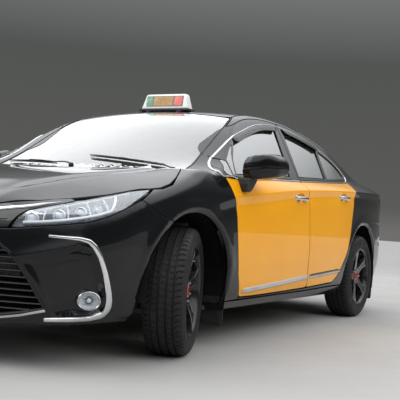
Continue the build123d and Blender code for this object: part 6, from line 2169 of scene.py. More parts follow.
zb_, zt_ = 1414 + SGN_DZ, 1513 + SGN_DZ
for nm, x0_, x1_, mt, lf in (("field", -140, 138, "sign_dark", 1.2), ("amber_block", -84, 62, "amber_block", 2.2), ("green_block", -134, -92, "sign_green", 2.2), ("red_block", 74, 130, "sign_red", 2.2)):
    if mt == "amber_block":
        surface("amber_block", (0.50, 0.30, 0.10), (0.36, 0.20, 0.06), rough=0.35, grain=[(300, 0.15, 0.001)], scale=60.0)
    emit(f"sign_{nm}", sign_face(x0_, x1_, zb_ + 15 + (0 if nm == "field" else 5), zt_ - 13 - (0 if nm == "field" else 5), lf, 0, nm), "root", [mt])
    emit(f"sign_{nm}_back", sign_face(x0_, x1_, zb_ + 15 + (0 if nm == "field" else 5), zt_ - 13 - (0 if nm == "field" else 5), lf, 0, nm, back=True), "root", [mt])
rail = sign_shape(-190, 190, 1972, 2074, 1400 + SGN_DZ, 1415 + SGN_DZ, -188, 188, 1974, 2072, 5.0)
emit("sign_base_rail", rail, "root", ["black_trim"], ("sign_base",))
feet = Part()
for x_ in (-118.0, 118.0):
    for s_ in (1994.0, 2054.0):
        zf = float(top_height(np.array(s_), np.array(x_)))
        feet.extend(lathe([(zf - 4, 26), (zf + 3, 25.5), (zf + 8, 20), (1404 + SGN_DZ, 17), (1406 + SGN_DZ, 1)], (0, 0, 0), 'x', 28).moved(lambda p: np.stack([p[:, 0] + s_, p[:, 2] + x_, p[:, 1]], 1)))
feet.extend(box((2010, -60, 1392 + SGN_DZ), (2040, -20, 1402 + SGN_DZ), 3.0))
emit("sign_feet", feet, "root", ["rubber_seal"])

# ---------------------------------------------------------------- number plates
def plate(centre, direction, w_, h_):
    o_ = Part()
    d_, e1, e2 = frame_at(direction)
    q_, _ = loop2([(-w_, -h_, 9), (w_, -h_, 9), (w_, h_, 9), (-w_, h_, 9)], step=10.0)
    for lo_, hi_, k_, mt in ((-3.0, 1.2, 1.0, 0), (-6.0, -2.5, 1.035, 1)):
        sl_ = slab([(a * k_, b * (1 + (k_ - 1) * 3)) for a, b in q_], 's', lo_, hi_, 0.8, 0, 1)
        o_.extend(sl_.moved(lambda p: np.asarray(centre) + d_ * p[:, :1] + e1 * p[:, 1:2] + e2 * p[:, 2:3]), mat=mt)
    rim_, _ = loop2([(-w_ + 5, -h_ + 5, 7), (w_ - 5, -h_ + 5, 7), (w_ - 5, h_ - 5, 7), (-w_ + 5, h_ - 5, 7)], step=8.0)
    path_ = np.array([np.asarray(centre) + d_ * 1.2 + e1 * a + e2 * b for a, b in rim_])
    o_.extend(tube(path_, 1.3, 6, closed=True), mat=0)
    for x_ in (-w_ + 60, w_ - 60):
        o_.extend(turned_at([(0, 7), (2.4, 6.4), (3.2, 3.5), (2.8, 0.2)], np.asarray(centre) + d_ * 1.2 + e1 * x_ + e2 * 0.0, d_, 18), mat=2)
    return o_


emit("plate_front", plate((9.0, 0.0, 465.0), (-1, 0, 0.03), 258.0, 54.0), "root", ["plate_white", "black_trim", "dark_metal"], ("number_plates",))
emit("plate_rear", plate((4598.0, 0.0, 856.0), (0.985, 0, 0.17), 258.0, 54.0), "boot_lid", ["plate_white", "black_trim", "dark_metal"])


# ---------------------------------------------------------------- seats: soft goods, swollen by a cloth run
def seat_shape(x0, x1, outline, bulge, waist, r=46.0, n=15):
    """A closed form from an outline in (s, z), full in the middle of its width and pulled in at the sides."""
    q, _ = loop2(outline, step=16.0)
    q = np.array(q)
    if area2(q) < 0:
        q = q[::-1]
    half = (x1 - x0) / 2
    xs = half * np.sin(np.linspace(-pi / 2, pi / 2, 2 * n + 1))
    rings = []
    for x_ in xs:
        a_ = abs(x_) / half
        d_ = r * (1 - sqrt(max(1 - max(a_ - 1 + r / half, 0.0) ** 2 / (r / half) ** 2, 0.0)))
        p_ = inset(q, np.full(len(q), max(d_ * 0.86, 0.01)))
        side = np.exp(-((abs(x_) - waist) / 42.0) ** 2)
        c_ = q.mean(0)
        up = np.clip((p_[:, 1] - c_[1]) / (q[:, 1].max() - c_[1]), 0, 1) if bulge[1] == 'z' else np.clip((c_[0] - p_[:, 0]) / (c_[0] - q[:, 0].min()), 0, 1)
        lift = bulge[0] * side * up
        if bulge[1] == 'z':
            p_ = p_ + np.stack([0 * lift, lift], 1)
        else:
            p_ = p_ - np.stack([lift, 0 * lift], 1)
        rings.append(np.stack([p_[:, 0], np.full(len(p_), (x0 + x1) / 2 + x_), p_[:, 1]], 1))
    v = np.stack(rings, 0)
    m, k = v.shape[:2]
    f = [(i * k + j, i * k + (j + 1) % k, (i + 1) * k + (j + 1) % k, (i + 1) * k + j) for i in range(m - 1) for j in range(k)]
    f += [tuple(range(k))[::-1], tuple((m - 1) * k + j for j in range(k))]
    return v.reshape(-1, 3), f


SOFT = []


def soft_piece(name, v, f, voxel, seams, node=None, cloth=("seat_cloth", "seat_side"), side=None, cap=18.0, pressure=4.0):
    """Remeshed copy of a shape, ready for the cloth run; seams(p) gives the distance to the nearest seam in mm."""
    me = bpy.data.meshes.new(name)
    vv = np.stack([v[:, 1], v[:, 0] - 2315.0, v[:, 2]], 1) / 1000.0
    me.from_pydata(vv.tolist(), [], [tuple(t) for t in f])
    me.update()
    o = bpy.data.objects.new(name, me)
    bpy.context.scene.collection.objects.link(o)
    md = o.modifiers.new("remesh", 'REMESH')
    md.mode, md.voxel_size = 'VOXEL', voxel / 1000.0
    dg = bpy.context.evaluated_depsgraph_get()
    me2 = bpy.data.meshes.new_from_object(o.evaluated_get(dg))
    o.modifiers.clear()
    o.data = me2
    me2.name = name
    SOFT.append((o, seams, node, cloth, side, cap, pressure))
    return o


def co_of(me):
    a = np.empty(len(me.vertices) * 3)
    me.vertices.foreach_get("co", a)
    return a.reshape(-1, 3)


def to_row(a):
    """Frame metres -> (s, x, z) mm."""
    return np.stack([a[:, 1] * 1000 + 2315, a[:, 0] * 1000, a[:, 2] * 1000], 1)


def run_soft():
    start = {}
    for o, seams, node, cloth, side, cap, pressure in SOFT:
        p = co_of(o.data)
        start[o.name] = p
        d = seams(to_row(p))
        g = o.vertex_groups.new(name="pin")
        g.add([int(i) for i in np.nonzero(d < 9.0)[0]], 1.0, 'REPLACE')
        c = o.modifiers.new("cloth", 'CLOTH')
        s = c.settings
        s.quality = 4
        s.mass = 0.3
        s.tension_stiffness = s.compression_stiffness = 14.0
        s.shear_stiffness = 8.0
        s.bending_stiffness = 2.5
        s.use_pressure = True
        s.uniform_pressure_force = pressure
        s.vertex_group_mass = "pin"
        s.effector_weights.gravity = 0.0
        c.collision_settings.use_collision = False
        c.collision_settings.use_self_collision = False
        c.point_cache.frame_start, c.point_cache.frame_end = 1, 20
    for fr in range(1, 21):
        bpy.context.scene.frame_set(fr)
    dg = bpy.context.evaluated_depsgraph_get()
    for o, seams, node, cloth, side, cap, pressure in SOFT:
        p0 = start[o.name]
        me = bpy.data.meshes.new_from_object(o.evaluated_get(dg))
        p1 = co_of(me)
        o.modifiers.clear()
        bpy.data.meshes.remove(me)
        move = p1 - p0
        ln = np.linalg.norm(move, axis=1, keepdims=True)
        move = move * np.minimum(1.0, cap / 1000.0 / np.maximum(ln, 1e-9))
        p = p0 + move
        o.data.vertices.foreach_set("co", p.reshape(-1))
        o.data.update()
        dg2 = bpy.context.evaluated_depsgraph_get()
        me = bpy.data.meshes.new_from_object(o.evaluated_get(dg2))
        o.modifiers.clear()
        o.vertex_groups.clear()
        q = co_of(me)
        nn = np.empty(len(me.vertices) * 3)
        me.vertices.foreach_get("normal", nn)
        nn = nn.reshape(-1, 3)
        row = to_row(q)
        d = seams(row)
        dep = -6.5 * np.exp(-(d / 5.0) ** 2) - 5.0 * np.exp(-(d / 17.0) ** 2)
        wr = 0.9 * np.sin(row[:, 0] / 23.0 + 2.1 * np.sin(row[:, 1] / 61.0)) * np.exp(-((d - 24) / 22.0) ** 2)
        q = q + nn * ((dep + wr) / 1000.0)[:, None]
        me.vertices.foreach_set("co", q.reshape(-1))
        name = o.name
        o.data = me
        me.name = name
        for m_ in cloth:
            me.materials.append(MATS[m_])
        if side is not None:
            cen = np.empty(len(me.polygons) * 3)
            me.polygons.foreach_get("center", cen)
            idx = side(to_row(cen.reshape(-1, 3))).astype(np.int32)
            me.polygons.foreach_set("material_index", idx)
        me.polygons.foreach_set("use_smooth", np.ones(len(me.polygons), bool))
        me.update()
        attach(o, "root")
        if node:
            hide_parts(*node)


def seam_fn(cx, lines_x, lines_s=(), lines_z=(), s_of=None, x_in=1e9, top=None):
    """Distance to seams running along the seat at given offsets from its middle, and across it."""
    def fn(p):
        d = np.full(len(p), 1e3)
        dx = np.abs(p[:, 1] - cx)
        ok = np.ones(len(p), bool) if top is None else top(p)
        for l_ in lines_x:
            d = np.minimum(d, np.where(ok, np.abs(dx - l_), 1e3))
        for l_ in lines_s:
            d = np.minimum(d, np.where(ok & (dx < x_in), np.abs(p[:, 0] - l_), 1e3))
        for l_ in lines_z:
            d = np.minimum(d, np.where(ok & (dx < x_in), np.abs(p[:, 2] - l_), 1e3))
        return d
    return fn


CUSH = [(1806, 404, 30), (1792, 470, 40), (1812, 520, 40), (1860, 541, 60), (2060, 520, 200), (2262, 496, 40), (2290, 430, 40), (2240, 392, 30)]
BACK = [(2266, 474, 30), (2330, 484, 40), (2450, 720, 200), (2596, 1010, 60), (2586, 1064, 30), (2532, 1068, 40), (2476, 1000, 60), (2380, 800, 200), (2250, 580, 60)]
HEAD = [(2532, 1096, 30), (2506, 1130, 30), (2514, 1200, 40), (2532, 1238, 30), (2586, 1244, 30), (2618, 1140, 40), (2598, 1094, 24)]
for sx, nm in ((370.0, "left"), (-370.0, "right")):
    v_, f_ = seat_shape(sx - 244, sx + 244, CUSH, (20.0, 'z'), 196.0)
    soft_piece(f"front_seat_cushion_{nm}", v_, f_, 11.0, seam_fn(sx, (148.0,), (1880.0, 2120.0), x_in=148.0, top=lambda p: p[:, 2] > 480), ("front_seats",) if nm == "left" else None,
               side=lambda p, sx=sx: (np.abs(p[:, 1] - sx) > 150) | (p[:, 2] < 476))
    v_, f_ = seat_shape(sx - 238, sx + 238, BACK, (26.0, 's'), 186.0)
    soft_piece(f"front_seat_back_{nm}", v_, f_, 12.0, seam_fn(sx, (140.0,), (), (640.0, 860.0), x_in=140.0, top=lambda p: p[:, 0] < 2290 + (p[:, 2] - 520) * 0.53), None,
               side=lambda p, sx=sx: (np.abs(p[:, 1] - sx) > 142) | (p[:, 0] > 2300 + (p[:, 2] - 520) * 0.53))
    v_, f_ = seat_shape(sx - 128, sx + 128, HEAD, (4.0, 's'), 80.0, r=40.0, n=10)
    soft_piece(f"front_head_rest_{nm}", v_, f_, 9.0, seam_fn(sx, (92.0,), (), ()), None, side=lambda p, sx=sx: np.abs(p[:, 1] - sx) > 93, cap=8.0, pressure=2.5)
RCUSH = [(2904, 392, 30), (2886, 460, 40), (2894, 520, 40), (2936, 552, 60), (3120, 532, 200), (3330, 504, 40), (3400, 440, 40), (3396, 392, 20)]
RBACK = [(3306, 512, 30), (3428, 512, 20), (3462, 930, 60), (3464, 976, 20), (3438, 992, 20), (3404, 968, 40), (3350, 760, 200)]
v_, f_ = seat_shape(-622, 622, RCUSH, (10.0, 'z'), 330.0, r=60.0, n=26)
soft_piece("rear_seat_cushion", v_, f_, 15.0, seam_fn(0.0, (150.0, 470.0), (2990.0,), x_in=470.0, top=lambda p: p[:, 2] > 490), ("rear_seat",), side=lambda p: (np.abs(p[:, 1]) > 472) | (p[:, 2] < 486))
v_, f_ = seat_shape(-590, 590, RBACK, (8.0, 's'), 300.0, r=46.0, n=26)
soft_piece("rear_seat_back", v_, f_, 15.0, seam_fn(0.0, (140.0, 430.0), (), (700.0,), x_in=430.0, top=lambda p: p[:, 0] < 3340 + (p[:, 2] - 520) * 0.16 + 40), None, side=lambda p: np.abs(p[:, 1]) > 432)
run_soft()

under = Part()
for sx in (370.0, -370.0):
    under.extend(box((1880, sx - 190, 352), (2236, sx + 190, 394), 9.0), mat=0)
    for dx in (-178.0, 178.0):
        under.extend(box((1850, sx + dx - 14, 217), (2262, sx + dx + 14, 240), 4.0), mat=1)
        under.extend(tube([(1900, sx + dx, 240), (1890, sx + dx, 300), (1912, sx + dx, 362)], 11.0, 8), mat=1)
        under.extend(tube([(2200, sx + dx, 240), (2216, sx + dx, 300), (2200, sx + dx, 362)], 11.0, 8), mat=1)
    for dx in (-58.0, 58.0):
        under.extend(tube([(2558, sx + dx, 1040), (2562, sx + dx, 1080), (2566, sx + dx, 1130)], 6.0, 10), mat=2)
    for sg in (-1, 1):
        q_, _ = loop2([(2180, 402, 20), (2290, 396, 30), (2330, 470, 30), (2300, 520, 30), (2200, 470, 30)], step=9.0)
        under.extend(slab([(a, b) for a, b in q_], 'x', sx + sg * 246 - 9, sx + sg * 246 + 9, 6.0, 0, 2), mat=0)
emit("front_seat_frames", under, "root", ["cabin_plastic", "dark_metal", "chrome"])

# ---------------------------------------------------------------- steering wheel
SW_C, SW_D = np.array([1810.0, 370.0, 872.0]), np.array([cos(radians(24)), 0.0, sin(radians(24))])
d_, e1, e2 = frame_at(SW_D)
stw = Part()
a_ = np.linspace(0, 2 * pi, 20, endpoint=False)
stw.extend(turned_at([(15.0 * sin(t), 174 + 12.5 * cos(t)) for t in list(a_) + [0.0]], SW_C, SW_D, 96), mat=0)
stw.extend(turned_at([(-24, 40), (-20, 66), (-4, 74), (8, 70), (14, 60), (17, 36), (18, 0.3)], SW_C, SW_D, 56, (1.10, 0.86)), mat=1)
stw.extend(turned_at([(17.0, 22), (18.8, 21), (19.6, 17), (19.9, 0.3)], SW_C, SW_D, 40), mat=2)
for ang, wd in ((0, 17), (180, 17), (-90, 13)):
    t = radians(ang)
    v_ = e1 * cos(t) + e2 * sin(t)
    ps = [SW_C + v_ * r_ + SW_D * h_ for r_, h_ in ((52, 2), (90, -4), (130, -5), (164, 0))]
    stw.extend(tube(np.array(ps), [wd * 1.3, wd, wd, wd * 0.9], 10, flat=(1.0, 0.55)), mat=1)
for ang in (0, 180):
    t = radians(ang)
    v_ = e1 * cos(t) + e2 * sin(t)
    for dz_ in (-9, 0, 9):
        stw.extend(turned_at([(0, 5.2), (3, 5), (4.2, 3.4), (4.4, 0.2)], SW_C + v_ * 88 + e2 * dz_ * 1.2 + SW_D * 3.5, SW_D, 14), mat=2)
emit("steering_wheel_rim", stw, "steering_wheel", ["soft_black", "cabin_plastic", "satin_chrome"], ("steering_wheel",))

# ---------------------------------------------------------------- dashboard and console
dash, _ = loop2([(1180, 610, 20), (1540, 604, 30), (1628, 690, 40), (1642, 780, 30), (1626, 812, 16), (1560, 826, 20), (1540, 846, 16), (1572, 880, 20), (1500, 903, 60), (1186, 898, 20)], step=12.0)
db = Part()
db.extend(slab([(a, b) for a, b in dash], 'x', -676.0, 676.0, 18.0, 0, 3), mat=0)
q_, _ = loop2([(1560, 772, 10), (1645, 778, 10), (1640, 800, 8), (1556, 806, 10)], step=9.0)
db.extend(slab([(a, b) for a, b in q_], 'x', -660.0, 660.0, 8.0, 0, 2), mat=1)
for x0_, x1_ in ((-640, -520), (-130, -14), (14, 130), (540, 646)):
    db.extend(box((1612, x0_, 812), (1634, x1_, 862), 7.0), mat=1)
    for k_ in range(4):
        db.extend(box((1628, x0_ + 8, 821 + k_ * 10.5), (1638, x1_ - 8, 824.0 + k_ * 10.5), 1.2), mat=2)
q_, _ = loop2([(-118, 846, 10), (118, 846, 10), (112, 915, 12), (-112, 915, 12)], step=9.0)
db.extend(slab([(a, b) for a, b in q_], 's', 1600.0, 1616.0, 3.0, 0, 2), mat=3)
db.extend(slab([(a * 0.92, 880 + (b - 880) * 0.88) for a, b in q_], 's', 1615.5, 1617.2, 0.6, 0, 1), mat=4)
q_, _ = loop2([(204, 846, 20), (536, 846, 20), (520, 902, 40), (370, 914, 120), (220, 902, 40)], step=9.0)
db.extend(slab([(a, b) for a, b in q_], 's', 1500.0, 1630.0, 12.0, 0, 2), mat=0)
for x_ in (300.0, 440.0):
    db.extend(turned_at([(0, 52), (3, 51), (4, 47), (1, 45), (1, 0.3)], (1628.0, x_, 874.0), (0.97, 0, 0.2), 40, (1.0, 0.62)), mat=2)
q_, _ = loop2([(-620, 640, 14), (-260, 640, 14), (-256, 752, 14), (-626, 752, 14)], step=10.0)
db.extend(slab([(a, b) for a, b in q_], 's', 1596.0, 1636.0, 6.0, 0, 2).moved(lambda p: np.stack([p[:, 0] + (p[:, 2] - 700) * 0.18, p[:, 1], p[:, 2]], 1)), mat=0)
db.extend(box((1655, -300, 742), (1664, -250, 750), 2.0), mat=2)
q_, _ = loop2([(-120, 560, 14), (120, 560, 14), (128, 806, 16), (-128, 806, 16)], step=10.0)
db.extend(slab([(a, b) for a, b in q_], 's', 1570.0, 1650.0, 9.0, 0, 2).moved(lambda p: np.stack([p[:, 0] + (p[:, 2] - 700) * 0.16, p[:, 1], p[:, 2]], 1)), mat=3)
for x_ in (-84, 0, 84):
    db.extend(turned_at([(0, 22), (16, 20.5), (19, 17), (19.5, 0.3)], (1650.0, x_, 706.0), (0.98, 0, -0.16), 30), mat=2)
db.extend(tube([(1560, 370, 815), (1640, 370, 832), (1786, 370, 860)], [44, 40, 34], 20), mat=1)
for sg, ln in ((1, 150.0), (-1, 150.0)):
    db.extend(tube([(1740, 370 + sg * 30, 860), (1752, 370 + sg * 90, 866), (1762, 370 + sg * ln, 878)], [8, 7, 9], 10), mat=1)
emit("dashboard_form", db, "root", ["soft_black", "cabin_plastic", "satin_chrome", "gloss_black", "void_black"], ("dashboard",))
cn = Part()
q_, _ = loop2([(1566, 338, 16), (2044, 338, 16), (2046, 506, 30), (1990, 517, 30), (1860, 512, 40), (1800, 470, 40), (1660, 470, 60), (1568, 512, 20)], step=11.0)
cn.extend(slab([(a, b) for a, b in q_], 'x', -101.0, 101.0, 12.0, 0, 3), mat=0)
q_, _ = loop2([(1850, 505, 14), (2048, 505, 14), (2044, 538, 18), (1856, 534, 18)], step=9.0)
cn.extend(slab([(a, b) for a, b in q_], 'x', -92.0, 92.0, 14.0, 0, 3), mat=1)
for x_ in (-44.0, 44.0):
    cn.extend(lathe([(466, 36), (475, 36), (477, 39), (474, 41), (466, 41)], (0, 0, 0), 'x', 32).moved(lambda p: np.stack([p[:, 0] + 1800, p[:, 2] + x_, p[:, 1]], 1)), mat=2)
cn.extend(turned_at([(-8, 46), (6, 40), (26, 20), (40, 12), (44, 9)], (1690.0, 0.0, 468.0), (0.12, 0, 0.99), 24), mat=1)
cn.extend(tube([(1692, 0, 500), (1700, 0, 540), (1704, 0, 560)], [8, 7, 7], 12), mat=2)
cn.extend(turned_at([(-18, 12), (-8, 21), (10, 24), (24, 18), (29, 8), (30, 0.3)], (1706.0, 0.0, 566.0), (0.12, 0, 0.99), 28, (0.8, 1.1)), mat=1)
cn.extend(tube([(1760, 62, 480), (1860, 62, 520), (1900, 62, 528)], [9, 10, 11], 12), mat=0)
emit("console_form", cn, "root", ["cabin_plastic", "soft_black", "satin_chrome"], ("centre_console",))
# inside mirror and rear shelf
im = Part()
q_, _ = loop2([(-118, 1232, 18), (118, 1232, 18), (112, 1292, 22), (-112, 1292, 22)], step=7.0)
im.extend(slab([(a, b - 62) for a, b in q_], 's', 1796.0, 1814.0, 6.0, 0, 2), mat=0)
im.extend(slab([(a * 0.95, 1200 + (b - 1262) * 0.88) for a, b in q_], 's', 1813.5, 1815.2, 0.5, 0, 1), mat=1)
im.extend(tube([(1802, 0, 1220), (1786, 0, 1244), (1790, 0, 1284)], 9.0, 10), mat=0)
emit("inside_mirror", im, "root", ["cabin_plastic", "reflector"])
sh, _ = loop2([(3486, -590, 30), (3950, -560, 60), (3950, 560, 60), (3486, 590, 30)], step=16.0)
shelf = slab([(a, b) for a, b in sh], 'z', 1000.0, 1012.0, 4.0, 0, 2)
for x_ in (-360.0, 360.0):
    shelf.extend(lathe([(1011, 78), (1016, 76), (1017, 66), (1014, 62), (1014, 0.5)], (0, 0, 0), 'x', 36).moved(lambda p: np.stack([p[:, 0] + 3740, p[:, 2] + x_, p[:, 1]], 1)), mat=1)
emit("rear_shelf", shelf, "root", ["carpet", "cabin_plastic"])

# ---------------------------------------------------------------- engine bay
eb = Part()
eb.extend(box((580, -310, 330), (1000, 330, 640), 26.0), mat=0)
eb.extend(box((600, -250, 640), (960, 250, 742), 20.0), mat=0)
q_, _ = loop2([(612, -240, 30), (936, -240, 30), (948, 250, 30), (640, 250, 60)], step=14.0)
eb.extend(slab([(a, b) for a, b in q_], 'z', 742.0, 796.0, 12.0, 0, 3), mat=1)
for k_ in range(5):
    eb.extend(box((670 + k_ * 50, -200, 794), (686 + k_ * 50, 200, 802), 3.0), mat=1)
eb.extend(box((660, -520, 520), (900, -350, 742), 14.0), mat=1)
eb.extend(box((655, -526, 740), (905, -344, 758), 6.0), mat=1)
for s_ in (700.0, 860.0):
    eb.extend(turned_at([(0, 11), (14, 11), (18, 9), (18.5, 0.3)], (s_, -400.0, 758.0), (0, 0, 1), 16), mat=3)
eb.extend(box((600, 350, 520), (900, 540, 740), 30.0), mat=1)
hose = loop3([(690, 350, 700), (640, 320, 770, 60), (560, 250, 770, 60), (470, 200, 740, 60), (410, 180, 700)], closed=False, step=12.0)[0]
eb.extend(tube(hose, 34.0 + 1.6 * np.sign(np.sin(np.arange(len(hose)) * 2.6)), 16), mat=2)
hose = loop3([(300, -330, 640), (380, -330, 660, 60), (520, -300, 690, 80), (600, -240, 690)], closed=False, step=12.0)[0]
eb.extend(tube(hose, 19.0, 14), mat=2)
eb.extend(turned_at([(-60, 62), (30, 62), (40, 50), (52, 34), (70, 32), (72, 0.3)], (980.0, 470.0, 700.0), (0, 0, 1), 32), mat=4)
eb.extend(box((250, -480, 300), (300, 480, 690), 10.0), mat=2)
eb.extend(box((244, -520, 690), (330, 520, 716), 8.0), mat=1)
emit("engine_dressing", eb, "root", ["cast_steel", "cabin_plastic", "rubber_seal", "satin_chrome", "plate_white"], ("engine",))

# ---------------------------------------------------------------- finishes on the frame's own nodes
KEEP = {"floor_pan": "carpet", "chassis_rails": "dark_metal", "front_suspension": "cast_steel", "rear_axle": "cast_steel", "exhaust": "disc_steel", "fuel_tank": "cabin_plastic",
        "knuckle_front_left": "cast_steel", "knuckle_front_right": "cast_steel"}
for nm, mt in KEEP.items():
    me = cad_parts[nm].data
    me.materials.clear()
    me.materials.append(MATS[mt])
# ---------------------------------------------------------------- rear details
def side_pt(s_, z_):
    return tuple(on_side(np.array([(float(s_), float(z_))]))[0])


def rear_pt(x_, z_):
    return tuple(on_rear([(float(x_), float(z_))])[0])


surface("tail_glow", (0.72, 0.030, 0.030), (0.52, 0.018, 0.020), rough=0.22, coat=0.8, grain=[(200, 0.25, 0.001)])
tt_ = np.array(tu)
if area2(tt_) < 0:
    tt_ = tt_[::-1]
gl3 = REAR.point(inset(tt_, np.full(len(tt_), 15.0)))
gn3 = normal(gl3[:, 0], gl3[:, 1], gl3[:, 2])
both("tail_lamp_guide", tube(gl3 - gn3 * 15.0, 3.4, 8, closed=True), ["root", "root"], ["tail_glow"])
segs = Part()
for z_, s_from in ((832.0, 4322.0), (864.0, 4262.0), (896.0, 4196.0), (928.0, 4152.0), (958.0, 4248.0)):
    l_ = skin_line(REAR, [side_pt(s_from, z_), side_pt((s_from + 4400.0) / 2, z_), side_pt(4400, z_), rear_pt(700, z_), rear_pt(575, z_)], 40.0, 9.0)
    n_ = normal(l_[:, 0], l_[:, 1], l_[:, 2])
    segs.extend(strip(l_ - n_ * 25.0, 7.0, 7.0, 5.0, n=n_, sink=6.0))
both("tail_lamp_segments", segs, ["root", "root"], ["tail_glow"])
for nm, rows_, mt in (("turn", ((570, 814), (720, 814), (720, 846), (570, 846)), "amber"), ("reverse", ((570, 852), (660, 852), (660, 878), (570, 878)), "lamp_silver")):
    lu, _ = uv_loop(REAR, [rear_pt(*v) for v in rows_], 7.0)
    both(f"tail_lamp_{nm}", panel(REAR, lu, g=8.0, r=2.0, gap=0.0, flange=6.0, offset=-13.0), ["root", "root"], [mt])

xs = np.linspace(-532, 532, 121)
zs = 942.0 - 10.0 * (np.abs(xs) / 532.0) ** 2
bw = 9.0 * np.clip((536 - np.abs(xs)) / 40.0, 0.3, 1)
emit("boot_bar", strip(np.array([rear_pt(a, b) for a, b in zip(xs, zs)]), bw, bw, 7.0 * np.clip((536 - np.abs(xs)) / 30.0, 0.3, 1), sink=5.0), "boot_lid", ["chrome"])
boot_grip = strip(np.array([rear_pt(a, 926.0) for a in np.linspace(-92, 92, 31)]), 6.0, 6.0, 5.0, sink=5.0)
emit("boot_grip", boot_grip, "boot_lid", ["black_trim"])

# reflectors and the lower dark panel of the rear bumper
rl_ = skin_line(REAR, [rear_pt(590, 338), rear_pt(660, 340), rear_pt(740, 344)], 60.0, 8.0)
both("rear_reflector", strip(rl_, 13.0, 13.0, 5.0, sink=4.0), ["root", "root"], ["tail_red"])
low_half = [rear_pt(300, 322), rear_pt(470, 316), rear_pt(540, 296), rear_pt(575, 226), rear_pt(300, 222)]
lq = REAR.uv(np.array(low_half))
rows_ = [(float(a), float(b), r_) for (a, b), r_ in zip(lq, (200, 40, 24, 10, 200))]
rows_ += [(2 * A_END - a, b, r_) for a, b, r_ in reversed(rows_)]
lu, _ = loop2(rows_, step=10.0)
emit("rear_lower_panel", panel(REAR, lu, g=12.0, r=2.4, gap=0.0, flange=12.0, offset=3.0), "root", ["black_trim"])
ribs = Part()
for x_ in np.linspace(-420, 420, 9):
    if abs(x_) < 1:
        continue
    ribs.extend(strip(np.array([rear_pt(x_, z_) for z_ in np.linspace(234, 306, 12)]), 2.4, 2.4, 9.0, sink=3.0))
emit("rear_lower_ribs", ribs, "root", ["black_trim"])

# heating lines on the inside of the rear window
heat = Part()
for s_ in np.linspace(3478, 3900, 13):
    half = float(np.interp(s_, [3470, 3560, 3760, 3910], [455, 485, 500, 505]))
    q_ = np.stack([np.full(27, s_), np.linspace(-half, half, 27)], 1)
    p_ = TOP.point(q_)
    n_ = normal(p_[:, 0], p_[:, 1], p_[:, 2])
    heat.extend(tube(p_ - n_ * 8.5, 0.9, 5))
emit("backlight_heater", heat, "root", ["dark_metal"])

# ---------------------------------------------------------------- lining of the boot
wall, _ = loop2([(3506, 404, 4), (4430, 404, 30), (4452, 560, 60), (4456, 712, 20), (4330, 724, 40), (4250, 890, 60), (4100, 984, 30), (3506, 984, 4)], step=22.0)
ang_w = np.radians(np.linspace(110.5, 13.0, 30))
bulge = [(3506.0, 404.0)] + [(3640.0 + 388.0 * cos(a), 316.0 + 388.0 * sin(a)) for a in ang_w if 316.0 + 388.0 * sin(a) > 405]
lining = slab([(a, b) for a, b in wall], 'x', 545.0, 553.0, 2.0, 0, 2)
lining.extend(slab(bulge, 'x', 468.0, 549.0, 26.0, 0, 3), mat=0)
for k_ in range(5):
    s_ = 4120.0 + 52.0 * k_
    lining.extend(tube([(s_, 543.5, 440), (s_, 543.5, 640)], 3.0, 8), mat=1)
both("boot_lining", lining, ["root", "root"], ["liner_felt", "cabin_plastic"])
bf = Part()
bf.extend(box((3520, -462, 400), (4436, 462, 414), 5.0), mat=0)
bf.extend(box((4450, -536, 402), (4470, 536, 716), 7.0), mat=1)
bf.extend(box((4438, -300, 560), (4452, 300, 690), 6.0), mat=1)
for x_ in (-250.0, 250.0):
    bf.extend(tube([(4020, x_ - 40, 420), (4020, x_ - 36, 428), (4020, x_ + 36, 428), (4020, x_ + 40, 420)], 4.0, 8), mat=2)
emit("boot_floor", bf, "root", ["carpet", "cabin_plastic", "satin_chrome"])
sill, _ = loop2([(4446, -538, 20), (4446, 538, 20), (4520, 540, 30), (4572, 420, 120), (4588, 200, 300), (4588, -200, 300), (4572, -420, 120), (4520, -540, 30)], step=14.0)
plate_ = slab([(a, b) for a, b in sill], 'z', 730.0, 737.0, 2.5, 0, 2)
for x_ in np.linspace(-420, 420, 13):
    plate_.extend(box((4470, x_ - 20, 736), (4540, x_ - 12, 739.5), 1.2))
emit("boot_sill", plate_, "root", ["black_trim"])


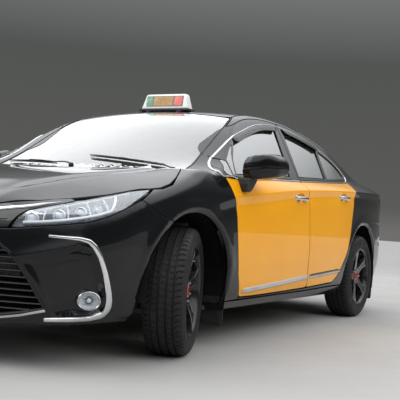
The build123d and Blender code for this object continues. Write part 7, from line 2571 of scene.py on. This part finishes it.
# ---------------------------------------------------------------- light, floor and camera
world = bpy.data.worlds.new("studio")
bpy.context.scene.world = world
world.use_nodes = True
wt = world.node_tree
wt.nodes.clear()
w_out = wt.nodes.new("ShaderNodeOutputWorld")
w_bg = wt.nodes.new("ShaderNodeBackground")
w_co = wt.nodes.new("ShaderNodeTexCoord")
w_sep = wt.nodes.new("ShaderNodeSeparateXYZ")
w_ramp = wt.nodes.new("ShaderNodeValToRGB")
wt.links.new(w_co.outputs["Generated"], w_sep.inputs[0])
wt.links.new(w_sep.outputs["Z"], w_ramp.inputs[0])
wt.links.new(w_ramp.outputs[0], w_bg.inputs[0])
wt.links.new(w_bg.outputs[0], w_out.inputs[0])
el = w_ramp.color_ramp.elements
el[0].position, el[0].color = 0.0, (0.16, 0.158, 0.155, 1)
el[1].position, el[1].color = 1.0, (1.55, 1.58, 1.62, 1)
for pos, col in ((0.03, (0.105, 0.105, 0.10)), (0.20, (0.085, 0.09, 0.086)), (0.31, (0.20, 0.21, 0.21)), (0.45, (1.30, 1.34, 1.38)), (0.65, (1.75, 1.78, 1.82))):
    e_ = el.new(pos)
    e_.color = (*col, 1)
w_bg.inputs[1].default_value = 1.0


def area(name, where, size, power, target=(0, 0, 0.6), colour=(1, 1, 1), size_y=None):
    l = bpy.data.lights.new(name, 'AREA')
    l.energy, l.size, l.color = power, size, colour
    if size_y:
        l.shape, l.size_y = 'RECTANGLE', size_y
    o = bpy.data.objects.new(name, l)
    bpy.context.scene.collection.objects.link(o)
    o.location = where
    o.rotation_euler = (Vector(target) - Vector(where)).to_track_quat('-Z', 'Y').to_euler()
    return o


area("key_soft", (-3.0, -4.5, 6.5), 6.0, 250.0)
area("side_soft", (7.0, -1.0, 4.5), 5.0, 175.0).visible_glossy = False
area("back_soft", (-2.5, 7.0, 5.0), 5.0, 110.0).visible_glossy = False

floor_me = bpy.data.meshes.new("studio_floor")
floor_me.from_pydata([(-60, -60, 0), (60, -60, 0), (60, 60, 0), (-60, 60, 0)], [], [(0, 1, 2, 3)])
floor_o = bpy.data.objects.new("studio_floor", floor_me)
floor_me.materials.append(MATS["floor_pale"])
bpy.context.scene.collection.objects.link(floor_o)

cam = bpy.data.cameras.new("camera")
cam_o = bpy.data.objects.new("camera", cam)
bpy.context.scene.collection.objects.link(cam_o)
bpy.context.scene.camera = cam_o
cam.lens, cam.sensor_width, cam.sensor_fit = 72.3, 36.0, 'HORIZONTAL'
cam.dof.use_dof = False
cam.clip_start, cam.clip_end = 0.1, 300.0
yaw, pitch, roll = radians(28.751), radians(1.497), radians(3.615)
F = Vector((-sin(yaw) * cos(pitch), cos(yaw) * cos(pitch), sin(pitch)))
r_ = F.cross(Vector((0, 0, 1))).normalized()
u_ = r_.cross(F)
right = cos(roll) * r_ + sin(roll) * u_
up = -sin(roll) * r_ + cos(roll) * u_
cam_o.matrix_world = Matrix(((right.x, up.x, -F.x, 2.768), (right.y, up.y, -F.y, -4.8053), (right.z, up.z, -F.z, 0.6672), (0, 0, 0, 1)))
bpy.context.scene.view_settings.view_transform = 'Standard'
bpy.context.scene.view_settings.look = 'None'
